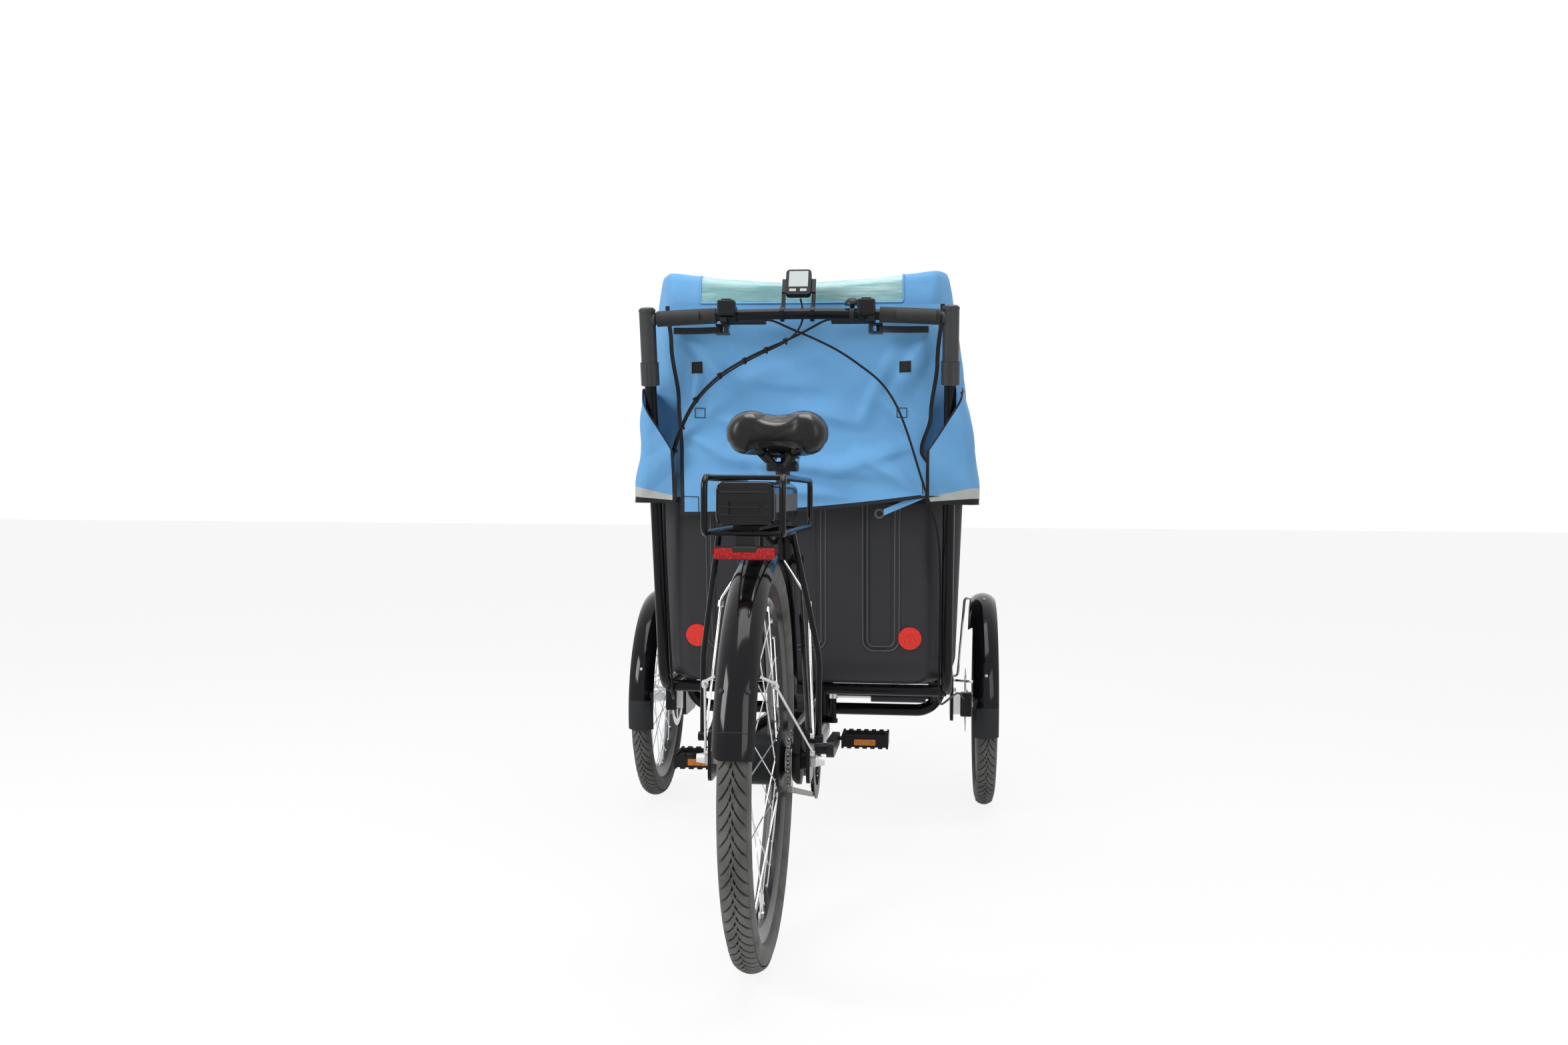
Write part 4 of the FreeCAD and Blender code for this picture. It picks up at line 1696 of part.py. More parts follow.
def canopy_flaps():
    """Corner flaps of the canopy that wrap round the handlebar posts from outside."""
    flap = Part.makeLoft([flap_outline(*level) for level in FLAP_LEVELS], True, True)
    top_rise, top_reach, _ = FLAP_LEVELS[-1]
    high = at(POST_X + top_reach, 0, CANOPY_HEM_Z + top_rise)
    low = at(POST_X - FLAP_IN, 0, CANOPY_HEM_Z + FLAP_INNER_RISE)
    beyond = low + (low - high)
    roof_z = high.z + CLOTH
    above = polygon_face([high, beyond, FreeCAD.Vector(beyond.x, beyond.y, roof_z),
                          FreeCAD.Vector(high.x, high.y, roof_z)])
    return pair(flap.cut(above.extrude(Y_AXIS * FRONT_END)))


# Handlebar

def bar_height(x):
    """Height of the handlebar's centre line, an arc that rises to the middle."""
    bow = (BAR_HALF ** 2 + BAR_RISE ** 2) / (2 * BAR_RISE)
    return BAR_Z + BAR_RISE - bow + math.sqrt(bow ** 2 - x ** 2)


def bar_point(x):
    """Point of the handlebar's centre line."""
    return at(x, BAR_AHEAD, bar_height(x))


def bar_sleeve(start_x, end_x, radius):
    """Round bar that follows the handlebar between two offsets."""
    path = Part.Wire(arc_edge(bar_point(start_x), bar_point((start_x + end_x) / 2), bar_point(end_x)))
    lean = path.Edges[0].tangentAt(path.Edges[0].FirstParameter)
    section = Part.Wire(Part.makeCircle(radius, bar_point(start_x), lean))
    return path.makePipeShell([section], True, False)


def bar_bore(start_x, end_x, play):
    """Room for the handlebar through a piece clamped on it."""
    return bar_sleeve(start_x - 3, end_x + 3, BAR_RADIUS + play)


def handlebar():
    """Arched handlebar tube between the posts."""
    return bar_sleeve(-BAR_HALF, BAR_HALF, BAR_RADIUS)


def grips():
    """Rubber grips with a palm wing at the outer rear."""
    barrel = bar_sleeve(GRIP_INNER, GRIP_OUTER, GRIP_RADIUS)
    wing_start = bar_point(GRIP_INNER + 34)
    wing_end = bar_point(GRIP_OUTER - 8)
    back = FreeCAD.Vector(0, -GRIP_WING, 0)
    wing = cylinder(wing_start + back, wing_end + back * 1.6, GRIP_RADIUS - 4)
    return pair(fused([barrel, wing]).cut(bar_bore(GRIP_INNER, GRIP_OUTER, TOUCH)))


def post_axis(x, z):
    """Point of a handlebar post's axis at a height."""
    return at(x, post_ahead(z), z)


def handlebar_posts():
    """Telescoping sleeves over the carrier's tubes, with a grooved foot and a socket for the bar."""
    bore = CARRIER_TUBE_RADIUS + SLIDE_FIT
    bottom = post_axis(POST_X, SLEEVE_BOTTOM_Z)
    cap = post_axis(POST_X, SLEEVE_CAP_Z)
    along = (cap - bottom).normalize()
    sleeve = cylinder(bottom, cap, bore + SLEEVE_WALL)
    foot = cylinder(bottom, post_axis(POST_X, SLEEVE_BOTTOM_Z + SLEEVE_FOOT_LENGTH), bore + SLEEVE_FOOT_WALL)
    socket_end = at(BAR_HALF + BAR_END_GAP, BAR_AHEAD, BAR_Z)
    socket = cylinder(at(POST_X, BAR_AHEAD, BAR_Z), socket_end, BAR_RADIUS + SOCKET_WALL)
    hollow = cylinder(bottom - along, post_axis(POST_X, SLEEVE_BORE_TOP_Z), bore)
    rearward = X_AXIS.cross(along)
    groove_floor = bottom - along + rearward * (bore + SLEEVE_FOOT_WALL - SLEEVE_GROOVE)
    wide = X_AXIS * (SLEEVE_GROOVE_WIDTH / 2)
    deep = rearward * (2 * SLEEVE_GROOVE)
    left = groove_floor - wide
    right = groove_floor + wide
    groove = polygon_face([left, right, right + deep, left + deep]).extrude(along * (2 * SLEEVE_FOOT_LENGTH))
    return pair(fused([sleeve, foot, socket]).cut(hollow).cut(groove))


def clamp_ring(x, width):
    """Ring clamped round the handlebar."""
    return bar_sleeve(x - width / 2, x + width / 2, CLAMP_RING_RADIUS)


def lever_height():
    """Height of the brake levers' plane."""
    return BAR_Z - LEVER_DROP


def brake_lever_clamps():
    """Brake lever housings: a clamp ring, a fluid reservoir and the fork for the lever's pin."""
    low = lever_height()
    ring_piece = clamp_ring(LEVER_CLAMP_X, LEVER_CLAMP_WIDTH)
    tank_z = bar_height(LEVER_CLAMP_X) - RESERVOIR_DROP
    tank_start = at(LEVER_CLAMP_X + LEVER_CLAMP_WIDTH / 2, BAR_AHEAD + RESERVOIR_AHEAD, tank_z)
    tank = cylinder(tank_start, at(RESERVOIR_END_X, BAR_AHEAD + RESERVOIR_AHEAD, tank_z), RESERVOIR_RADIUS)
    fork_half = LEVER_WIDTH / 2 + SEAT_GAP
    reach = LEVER_PIVOT_AHEAD + 7
    pieces = [ring_piece, tank]
    for sign in (-1, 1):
        face_z = low + sign * fork_half
        far_z = face_z + sign * 3.5
        zs = sorted((face_z, far_z))
        pieces.append(block(at(LEVER_CLAMP_X - 6, BAR_AHEAD + RESERVOIR_AHEAD - 4, zs[0]),
                            at(LEVER_PIVOT_X + 7, BAR_AHEAD + reach, zs[1])))
    pieces.append(block(at(LEVER_CLAMP_X - 7, BAR_AHEAD + 12, low - fork_half - 3.5),
                        at(LEVER_CLAMP_X + 2, BAR_AHEAD + RESERVOIR_AHEAD + 2, low + fork_half + 3.5)))
    pin = cylinder(at(LEVER_PIVOT_X, BAR_AHEAD + LEVER_PIVOT_AHEAD, low - fork_half - 3.5),
                   at(LEVER_PIVOT_X, BAR_AHEAD + LEVER_PIVOT_AHEAD, low + fork_half + 3.5), LEVER_PIN_RADIUS)
    pieces.append(pin)
    bore = bar_bore(LEVER_CLAMP_X - LEVER_CLAMP_WIDTH / 2, LEVER_CLAMP_X + LEVER_CLAMP_WIDTH / 2, TOUCH)
    return pair(fused(pieces).cut(bore))


def brake_lever(side):
    """Curved lever blade on its pin."""
    low = lever_height() - LEVER_WIDTH / 2
    pivot = at(LEVER_PIVOT_X, BAR_AHEAD + LEVER_PIVOT_AHEAD, low)
    tip = at(LEVER_TIP_X, BAR_AHEAD + LEVER_TIP_AHEAD, low)
    mid = (pivot + tip) * 0.5 + FreeCAD.Vector(0, 7, 0)
    along = (tip - pivot).normalize()
    across = Z_AXIS.cross(along).normalize() * (LEVER_PLATE / 2)
    edges = [arc_edge(pivot - across, mid - across, tip - across), Part.makeLine(tip - across, tip + across),
             arc_edge(tip + across, mid + across, pivot + across),
             Part.makeLine(pivot + across, pivot - across)]
    blade = Part.Face(Part.Wire(edges)).extrude(Z_AXIS * LEVER_WIDTH)
    boss = cylinder(pivot, pivot + Z_AXIS * LEVER_WIDTH, LEVER_PIN_RADIUS + 3.2)
    knob = cylinder(tip, tip + Z_AXIS * LEVER_WIDTH, LEVER_PLATE * 0.7)
    bore = cylinder(pivot - Z_AXIS, pivot + Z_AXIS * (LEVER_WIDTH + 1), LEVER_PIN_RADIUS + RUN_FIT)
    lever = fused([blade, boss, knob]).cut(bore)
    return lever if side == 1 else mirrored(lever)


def switch_corners():
    """Two opposite corners of the right switch housing."""
    top = bar_height(SWITCH_X) + SWITCH_RISE + SWITCH_HEIGHT / 2
    rear = BAR_AHEAD - SWITCH_BEHIND - SWITCH_DEPTH / 2
    low = at(SWITCH_X - SWITCH_WIDTH / 2, rear, top - SWITCH_HEIGHT)
    high = at(SWITCH_X + SWITCH_WIDTH / 2, rear + SWITCH_DEPTH, top)
    return low, high


def button_corners(play):
    """Two opposite corners of the right button, or of its pocket with some play."""
    low, high = switch_corners()
    middle = (low + high) * 0.5
    half = FreeCAD.Vector(BUTTON_WIDTH / 2 + play, BUTTON_DEPTH / 2 + play, 0)
    bottom = high.z + BUTTON_PROUD - BUTTON_TALL
    if play:
        bottom -= BUTTON_TRAVEL + SEAT_GAP
    floor = FreeCAD.Vector(middle.x, middle.y, bottom)
    roof = FreeCAD.Vector(middle.x, middle.y, high.z + BUTTON_PROUD)
    return floor - half, roof + half


def switch_units():
    """Thumb switch housings on the rider's side of the bar, each with a pocket for its button."""
    low, high = switch_corners()
    body = rounded_block(low, high, 4.0)
    ring_piece = clamp_ring(SWITCH_CLAMP_X, SWITCH_CLAMP_WIDTH)
    neck = block(at(SWITCH_CLAMP_X - SWITCH_CLAMP_WIDTH / 2, BAR_AHEAD - SWITCH_BEHIND, low.z + 4),
                 at(SWITCH_CLAMP_X + SWITCH_CLAMP_WIDTH / 2, BAR_AHEAD - 8, high.z - 8))
    bore = bar_bore(SWITCH_CLAMP_X - SWITCH_WIDTH, SWITCH_CLAMP_X + SWITCH_WIDTH, TOUCH)
    pocket_low, pocket_high = button_corners(SEAT_GAP)
    return pair(fused([body, ring_piece, neck]).cut(bore).cut(block(pocket_low, pocket_high + Z_AXIS)))


def switch_button(side):
    """Push button in a switch housing."""
    low, high = button_corners(0.0)
    button = block(low, high)
    top_edges = [edge for edge in button.Edges if edge.BoundBox.ZMin > high.z - TOUCH]
    button = button.makeFillet(1.2, top_edges)
    return button if side == 1 else mirrored(button)


def display_unit():
    """Display with rounded corners, tilted back over the bar."""
    centre = at(0, BAR_AHEAD + DISPLAY_AHEAD, DISPLAY_Z)
    half = FreeCAD.Vector(DISPLAY_WIDTH / 2, DISPLAY_PLATE / 2, DISPLAY_HEIGHT / 2)
    body = block(centre - half, centre + half)
    edges = [edge for edge in body.Edges if abs(edge.tangentAt(0).y) > 0.9]
    body = body.makeFillet(8.0, edges)
    body.rotate(centre, X_AXIS, -DISPLAY_TILT)
    return body


def display_bracket():
    """Two clamped arms joined by a plate behind the display."""
    pieces = []
    centre = at(0, BAR_AHEAD + DISPLAY_AHEAD, DISPLAY_Z)
    tilt = math.radians(DISPLAY_TILT)
    back = FreeCAD.Vector(0, math.cos(tilt), -math.sin(tilt))
    plate_middle = centre + back * (DISPLAY_PLATE / 2 + TOUCH + 2.5)
    plate_half = FreeCAD.Vector(DISPLAY_ARM_X + DISPLAY_ARM_WIDTH / 2, 2.5, 16)
    plate = block(plate_middle - plate_half, plate_middle + plate_half)
    plate.rotate(plate_middle, X_AXIS, -DISPLAY_TILT)
    pieces.append(plate)
    for side in (-1, 1):
        x = side * DISPLAY_ARM_X
        pieces.append(clamp_ring(x, DISPLAY_ARM_WIDTH))
        start = bar_point(x) + FreeCAD.Vector(-DISPLAY_ARM_WIDTH / 2, BAR_RADIUS, 4)
        width = X_AXIS * DISPLAY_ARM_WIDTH
        knee = plate_middle + FreeCAD.Vector(x - DISPLAY_ARM_WIDTH / 2 - plate_middle.x, 1, 0)
        arm = polygon_face([start + Y_AXIS * 5, start - Y_AXIS * 3, knee - Y_AXIS * 2, knee + Y_AXIS * 4])
        pieces.append(arm.extrude(width))
    bore = bar_bore(-DISPLAY_ARM_X - DISPLAY_ARM_WIDTH, DISPLAY_ARM_X + DISPLAY_ARM_WIDTH, TOUCH)
    return fused(pieces).cut(bore)


def bell():
    """Domed bell on a ring clamp."""
    ring_piece = clamp_ring(BELL_X, BELL_CLAMP_WIDTH)
    base = bar_point(BELL_X) + FreeCAD.Vector(0, 0, CLAMP_RING_RADIUS - 2)
    stem = cylinder(base, base + Z_AXIS * 6, 4.0)
    dish = base + Z_AXIS * 4
    shoulder = dish + FreeCAD.Vector(BELL_RADIUS * 0.72, 0, BELL_HEIGHT * 0.72)
    edges = [Part.makeLine(dish, dish + Z_AXIS * BELL_HEIGHT),
             arc_edge(dish + Z_AXIS * BELL_HEIGHT, shoulder, dish + X_AXIS * BELL_RADIUS),
             Part.makeLine(dish + X_AXIS * BELL_RADIUS, dish)]
    dome = Part.Face(Part.Wire(edges)).revolve(dish, Z_AXIS, 360)
    bore = bar_bore(BELL_X - BELL_CLAMP_WIDTH, BELL_X + BELL_CLAMP_WIDTH, TOUCH)
    return fused([ring_piece, stem, dome]).cut(bore)


# Brake hoses

def hose_route(side, hang, post_zs):
    """Route of a hose from the lever on one side to the caliper on the other side."""
    tank_z = bar_height(LEVER_CLAMP_X) - RESERVOIR_DROP
    start = at(side * (HOSE_END_GAP - RESERVOIR_END_X), BAR_AHEAD + RESERVOIR_AHEAD, tank_z)
    points = [start, start + X_AXIS * (side * HOSE_LEAD)]
    points.extend(at(side * x, BAR_AHEAD + ahead, z) for x, ahead, z in hang)
    beside = POST_X - CARRIER_TUBE_RADIUS - HOSE_RADIUS - HOSE_POST_GAP
    points.extend(at(side * beside, post_ahead(z), z) for z in post_zs)
    points.extend(at(side * (beside + x), ahead, z) for x, ahead, z in HOSE_BELOW)
    low, high = caliper_corners()
    end_x = side * (ROTOR_X - CALIPER_HALF_X * 0.4)
    end = FreeCAD.Vector(end_x, low.y - TOUCH, high.z - HOSE_CALIPER_DROP)
    points.append(end - Y_AXIS * HOSE_TIP)
    points.append(end)
    return points


def hose(points):
    """Brake hose along its route, with the largest arcs that its runs allow."""
    radii = []
    for before, corner, after in zip(points, points[1:], points[2:]):
        back = before - corner
        onward = after - corner
        half_turn = (math.pi - back.getAngle(onward)) / 2
        radii.append(0.45 * min(back.Length, onward.Length) / math.tan(half_turn))
    return bent_bar(points, HOSE_RADIUS, radii)


def brake_hoses():
    """Two crossed hoses, each from a lever to the caliper on the other side."""
    right = hose(hose_route(1, RIGHT_HOSE_HANG, RIGHT_HOSE_POST_Z))
    left = hose(hose_route(-1, LEFT_HOSE_HANG, LEFT_HOSE_POST_Z))
    return Part.makeCompound([right, left])


def sub_parts():
    """All sub-parts by name."""
    parts = {
        "main_frame": main_frame(),
        "drive_unit": drive_unit(),
        "rear_axle": rear_axle(),
        "gear_actuator": gear_actuator(),
        "chain": chain(),
        "seat_clamp": seat_clamp(),
        "rear_rack": rear_rack(),
        "battery_rail": battery_rail(),
        "battery": battery(),
        "tail_light": tail_light(),
        "rear_fender": rear_fender(),
        "rear_fender_stays": rear_fender_stays(),
        "seatpost": seatpost(),
        "saddle_rails": saddle_rails(),
        "saddle": saddle(),
        "rear_tyre": tyre(at(0, 0, REAR_TYRE_RADIUS), REAR_TYRE_RADIUS, REAR_TYRE_WIDTH, REAR_BEAD_RADIUS),
        "rear_rim": rim(at(0, 0, REAR_TYRE_RADIUS), REAR_BEAD_RADIUS),
        "rear_spokes": rear_spokes(),
        "rear_hub": rear_hub(),
        "rear_sprocket": rear_sprocket(),
        "chainring": chainring(),
        "right_crank": crank_arm(1),
        "left_crank": left_crank(),
        "right_pedal": pedal(1),
        "left_pedal": pedal(-1),
        "cabin_frame": cabin_frame(),
        "cargo_box": cargo_box(),
        "box_rim": box_rim(),
        "rear_reflectors": rear_reflectors(),
        "stub_axles": stub_axles(),
        "brake_calipers": brake_calipers(),
        "front_fenders": front_fenders(),
        "front_fender_stays": front_fender_stays(),
        "damper_cylinder": damper_cylinder(),
        "damper_rod": damper_rod(),
        "canopy_bows": canopy_bows(),
        "canopy_flaps": canopy_flaps(),
        "handlebar": handlebar(),
        "grips": grips(),
        "handlebar_posts": handlebar_posts(),
        "brake_lever_clamps": brake_lever_clamps(),
        "right_brake_lever": brake_lever(1),
        "left_brake_lever": brake_lever(-1),
        "switch_units": switch_units(),
        "right_switch_button": switch_button(1),
        "left_switch_button": switch_button(-1),
        "display_unit": display_unit(),
        "display_bracket": display_bracket(),
        "bell": bell(),
        "brake_hoses": brake_hoses(),
    }
    parts["canopy"], parts["canopy_windows"] = canopy_pieces()
    for side, name in ((1, "right"), (-1, "left")):
        centre = front_wheel_centre(side)
        parts[name + "_front_tyre"] = tyre(centre, FRONT_TYRE_RADIUS, FRONT_TYRE_WIDTH, FRONT_BEAD_RADIUS)
        parts[name + "_front_rim"] = rim(centre, FRONT_BEAD_RADIUS)
        parts[name + "_front_hub"] = Part.makeCompound([front_hub(side)] + front_spokes(side).Solids)
        parts[name + "_brake_disc"] = rotor(side)
    return parts


def main():
    """Write every sub-part to its own file."""
    os.makedirs("parts", exist_ok=True)
    for name, shape in sub_parts().items():
        shape.exportStep("parts/" + name + ".step")


main()
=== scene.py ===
"""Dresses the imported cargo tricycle: finishes for its solids, tyres, cloth, saddle, hoses and small trim."""
from __future__ import annotations

import json
import logging
import math
from dataclasses import dataclass, field
from enum import Enum
from typing import Callable, Iterable, Sequence, Union

import bpy
from mathutils import Matrix, Vector, noise

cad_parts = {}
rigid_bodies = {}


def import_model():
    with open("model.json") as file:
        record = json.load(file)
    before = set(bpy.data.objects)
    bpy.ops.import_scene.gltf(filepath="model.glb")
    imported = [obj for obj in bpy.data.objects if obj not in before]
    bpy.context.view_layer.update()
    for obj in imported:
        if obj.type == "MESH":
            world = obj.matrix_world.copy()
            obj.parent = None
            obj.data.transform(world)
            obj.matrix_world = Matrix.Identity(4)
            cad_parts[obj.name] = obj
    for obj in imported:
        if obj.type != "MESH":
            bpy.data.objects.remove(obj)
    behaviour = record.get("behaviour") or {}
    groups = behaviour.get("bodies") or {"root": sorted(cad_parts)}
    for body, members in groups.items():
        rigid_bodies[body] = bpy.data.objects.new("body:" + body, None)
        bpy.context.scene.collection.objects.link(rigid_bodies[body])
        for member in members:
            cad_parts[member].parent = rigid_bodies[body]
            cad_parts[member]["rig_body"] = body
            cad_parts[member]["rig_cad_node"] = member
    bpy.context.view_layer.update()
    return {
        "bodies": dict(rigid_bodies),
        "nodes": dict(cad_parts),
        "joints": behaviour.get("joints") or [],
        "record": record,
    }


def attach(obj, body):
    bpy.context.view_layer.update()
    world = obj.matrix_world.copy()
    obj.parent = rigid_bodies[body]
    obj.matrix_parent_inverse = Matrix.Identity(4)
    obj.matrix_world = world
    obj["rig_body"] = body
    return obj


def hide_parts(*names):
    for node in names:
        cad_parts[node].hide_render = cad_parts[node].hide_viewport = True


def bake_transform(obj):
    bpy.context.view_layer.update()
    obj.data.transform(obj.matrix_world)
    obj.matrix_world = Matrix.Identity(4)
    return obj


LOG = logging.getLogger("tricycle")
MM = 0.001
POST_X = 312.0
POST_LEAN = math.radians(14.5)
BAR_AHEAD = 581.0
BAR_Z = 1124.0
Colour = tuple[float, float, float]
Place = tuple[float, float, float]
Places = tuple[Place, ...]
Pair = tuple[float, float]
Pairs = tuple[Pair, ...]
Piece = bpy.types.Object
Number = Union["Socket", float]


class Body(str, Enum):
    """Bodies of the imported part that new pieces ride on."""

    REAR = "rear_frame"
    SEAT = "seat"
    CARRIER = "front_carrier"
    BAR = "handlebar_unit"


# Shader graphs


class Socket:
    """An output of a shader node that takes part in arithmetic."""

    def __init__(self, graph: "Tree", output: bpy.types.NodeSocket) -> None:
        """Keep the tree and one of its outputs."""
        self.graph = graph
        self.output = output

    def _math(self, operation: str, first: Number, second: Number) -> "Socket":
        """Add one Math node and return its output."""
        return self.graph.node("ShaderNodeMath", {"operation": operation}, {0: first, 1: second})

    def __add__(self, other: Number) -> "Socket":
        """Sum with another value."""
        return self._math("ADD", self, other)

    def __radd__(self, other: Number) -> "Socket":
        """Sum with a number on the left."""
        return self._math("ADD", other, self)

    def __sub__(self, other: Number) -> "Socket":
        """Difference from another value."""
        return self._math("SUBTRACT", self, other)

    def __rsub__(self, other: Number) -> "Socket":
        """Difference of a number on the left from this value."""
        return self._math("SUBTRACT", other, self)

    def __mul__(self, other: Number) -> "Socket":
        """Product with another value."""
        return self._math("MULTIPLY", self, other)

    def __rmul__(self, other: Number) -> "Socket":
        """Product with a number on the left."""
        return self._math("MULTIPLY", other, self)

    def over(self, limit: float, soft: float = 0.0005) -> "Socket":
        """Mask that goes from 0 to 1 where the value passes a limit, with half the step's width."""
        sockets = {"Value": self, "From Min": limit - soft, "From Max": limit + soft}
        return self.graph.node("ShaderNodeMapRange", {"clamp": True}, sockets)

    def either(self, other: "Socket") -> "Socket":
        """Larger one of two values."""
        return self._math("MAXIMUM", self, other)

    def size(self) -> "Socket":
        """Value without its sign."""
        return self._math("ABSOLUTE", self, 0.0)

    def wave(self) -> "Socket":
        """Sine of the value."""
        return self._math("SINE", self, 0.0)


class Tree:
    """Node tree that nodes are added to and linked in."""

    def __init__(self, tree: bpy.types.NodeTree, output: str) -> None:
        """Empty the tree and give it its output node.

        Args:
            tree: Node tree of a material or of the world.
            output: Blender's name of the output node's type.
        """
        tree.nodes.clear()
        self.tree = tree
        self.end = tree.nodes.new(output)

    def feed(self, target: bpy.types.Node, key: Union[int, str], value: object) -> None:
        """Set one input of a node to a value, or link it."""
        if isinstance(value, Socket):
            self.tree.links.new(value.output, target.inputs[key])
        else:
            target.inputs[key].default_value = value

    def node(self, kind: str, settings: dict, sockets: dict, output: Union[int, str] = 0) -> Socket:
        """Add a node.

        Args:
            kind: Blender's name of the node type.
            settings: Properties that are set first.
            sockets: Values or links of the inputs, by name or place.
            output: Output to return.

        Returns:
            The chosen output.
        """
        made = self.tree.nodes.new(kind)
        for key, value in settings.items():
            setattr(made, key, value)
        for key, value in sockets.items():
            self.feed(made, key, value)
        return Socket(self, made.outputs[output])

    def seen(self) -> Socket:
        """Mask that is 1 for what the camera sees directly, in gloss or through glass."""
        camera, gloss, glass = (self.node("ShaderNodeLightPath", {}, {}, f"Is {kind} Ray")
                                for kind in ("Camera", "Glossy", "Transmission"))
        return camera.either(gloss).either(glass)

    def show(self, mask: Socket, first: Socket, second: Socket) -> None:
        """End the tree in two shaders mixed by a mask."""
        self.feed(self.end, 0, self.node("ShaderNodeMixShader", {}, {0: mask, 1: first, 2: second}))


class Graph(Tree):
    """Node tree of one material, ending in a Principled shader."""

    def __init__(self, name: str) -> None:
        """Start a material with an empty tree.

        Args:
            name: Name of the material.
        """
        self.material = bpy.data.materials.new(name)
        self.material.use_nodes = True
        super().__init__(self.material.node_tree, "ShaderNodeOutputMaterial")
        self.shader = self.tree.nodes.new("ShaderNodeBsdfPrincipled")
        self.tree.links.new(self.shader.outputs[0], self.end.inputs[0])

    def place(self) -> Socket:
        """Place on the piece, in the part's own frame."""
        return self.node("ShaderNodeTexCoord", {}, {}, "Object")

    def axis(self, name: str) -> Socket:
        """One of the three coordinates of the place on the piece."""
        return self.node("ShaderNodeSeparateXYZ", {}, {0: self.place()}, name)

    def facing_up(self) -> Socket:
        """Upward part of the surface's direction."""
        normal = self.node("ShaderNodeNewGeometry", {}, {}, "Normal")
        return self.node("ShaderNodeSeparateXYZ", {}, {0: normal}, "Z")

    def stretched(self, scale: Sequence[float]) -> Socket:
        """Place on the piece, scaled along each axis."""
        return self.node("ShaderNodeMapping", {}, {"Vector": self.place(), "Scale": tuple(scale)})

    def speckle(self, scale: float, detail: float = 3.0, vector: Union[Socket, None] = None) -> Socket:
        """Soft noise from 0 to 1 with cells per metre and octaves, at a place if one is given."""
        sockets = {"Vector": vector or self.place(), "Scale": scale, "Detail": detail}
        return self.node("ShaderNodeTexNoise", {}, sockets)

    def cells(self, scale: float) -> Socket:
        """Distance to the nearest edge of a pattern with so many cells per metre."""
        sockets = {"Vector": self.place(), "Scale": scale}
        return self.node("ShaderNodeTexVoronoi", {"feature": "DISTANCE_TO_EDGE"}, sockets)

    def blend(self, mask: Number, first: object, second: object) -> Socket:
        """Mix of two colours, where the mask is the share of the second one."""
        settings = {"data_type": "RGBA"}
        return self.node("ShaderNodeMix", settings, {0: mask, 6: rgba(first), 7: rgba(second)}, 2)

    def bump(self, height: Socket, depth: float, below: Union[Socket, None] = None) -> Socket:
        """Surface relief from a height.

        Args:
            height: Height from 0 to 1.
            depth: Height of the relief in metres.
            below: Relief that this one lies on.

        Returns:
            The changed normal.
        """
        sockets = {"Height": height, "Distance": depth, "Strength": 1.0}
        if below is not None:
            sockets["Normal"] = below
        return self.node("ShaderNodeBump", {}, sockets)

    def finish(self, **values: object) -> bpy.types.Material:
        """Set or link inputs of the shader by name, with underscores for spaces, and end the material."""
        for key, value in values.items():
            self.feed(self.shader, key.replace("_", " "), rgba(value))
        return self.material


def rgba(value: object) -> object:
    """Colour with its alpha, or a link as it is."""
    if isinstance(value, tuple) and len(value) == 3:
        return (*value, 1.0)
    return value


# Finishes


@dataclass(frozen=True)
class Finish:
    """Plain finish: a colour with mottling, a spread of roughness and a moulded or cast grain."""

    name: str
    colour: Colour
    roughness: float
    metallic: float = 0.0
    coat: float = 0.0
    specular: float = 0.14
    mottle: float = 0.25
    mottle_scale: float = 14.0
    spread: float = 0.12
    grain_scale: float = 900.0
    grain_depth: float = 0.00004
    dust: float = 0.0
    dust_colour: Colour = (0.32, 0.31, 0.29)

    def colours(self, graph: Graph) -> Socket:
        """Mottled colour with dust on the faces that look up."""
        dark = tuple(c * (1 - self.mottle) for c in self.colour)
        light = tuple(min(1.0, c * (1 + self.mottle)) for c in self.colour)
        base = graph.blend(graph.speckle(self.mottle_scale, 5.0), dark, light)
        if not self.dust:
            return base
        mask = graph.facing_up().over(0.75, 0.25) * graph.speckle(60.0, 6.0).over(0.55, 0.2) * self.dust
        return graph.blend(mask, base, self.dust_colour)

    def relief(self, graph: Graph) -> Socket:
        """Fine grain of the surface."""
        return graph.bump(graph.speckle(self.grain_scale, 2.0), self.grain_depth)

    def make(self) -> bpy.types.Material:
        """Build the material."""
        graph = Graph(self.name)
        rough = graph.speckle(self.mottle_scale * 3, 4.0) * self.spread + (self.roughness - self.spread / 2)
        return graph.finish(Base_Color=self.colours(graph), Roughness=rough, Metallic=self.metallic,
                            Specular_IOR_Level=self.specular, Coat_Weight=self.coat, Coat_Roughness=0.05,
                            Normal=self.relief(graph))


@dataclass(frozen=True)
class Brushed(Finish):
    """Metal drawn or brushed along one axis."""

    along: Place = (1.0, 1.0, 0.03)
    lines: float = 2600.0

    def relief(self, graph: Graph) -> Socket:
        """Fine lines along the brushing."""
        lines = graph.speckle(1.0, 3.0, graph.stretched([self.lines * a for a in self.along]))
        return graph.bump(lines, self.grain_depth)


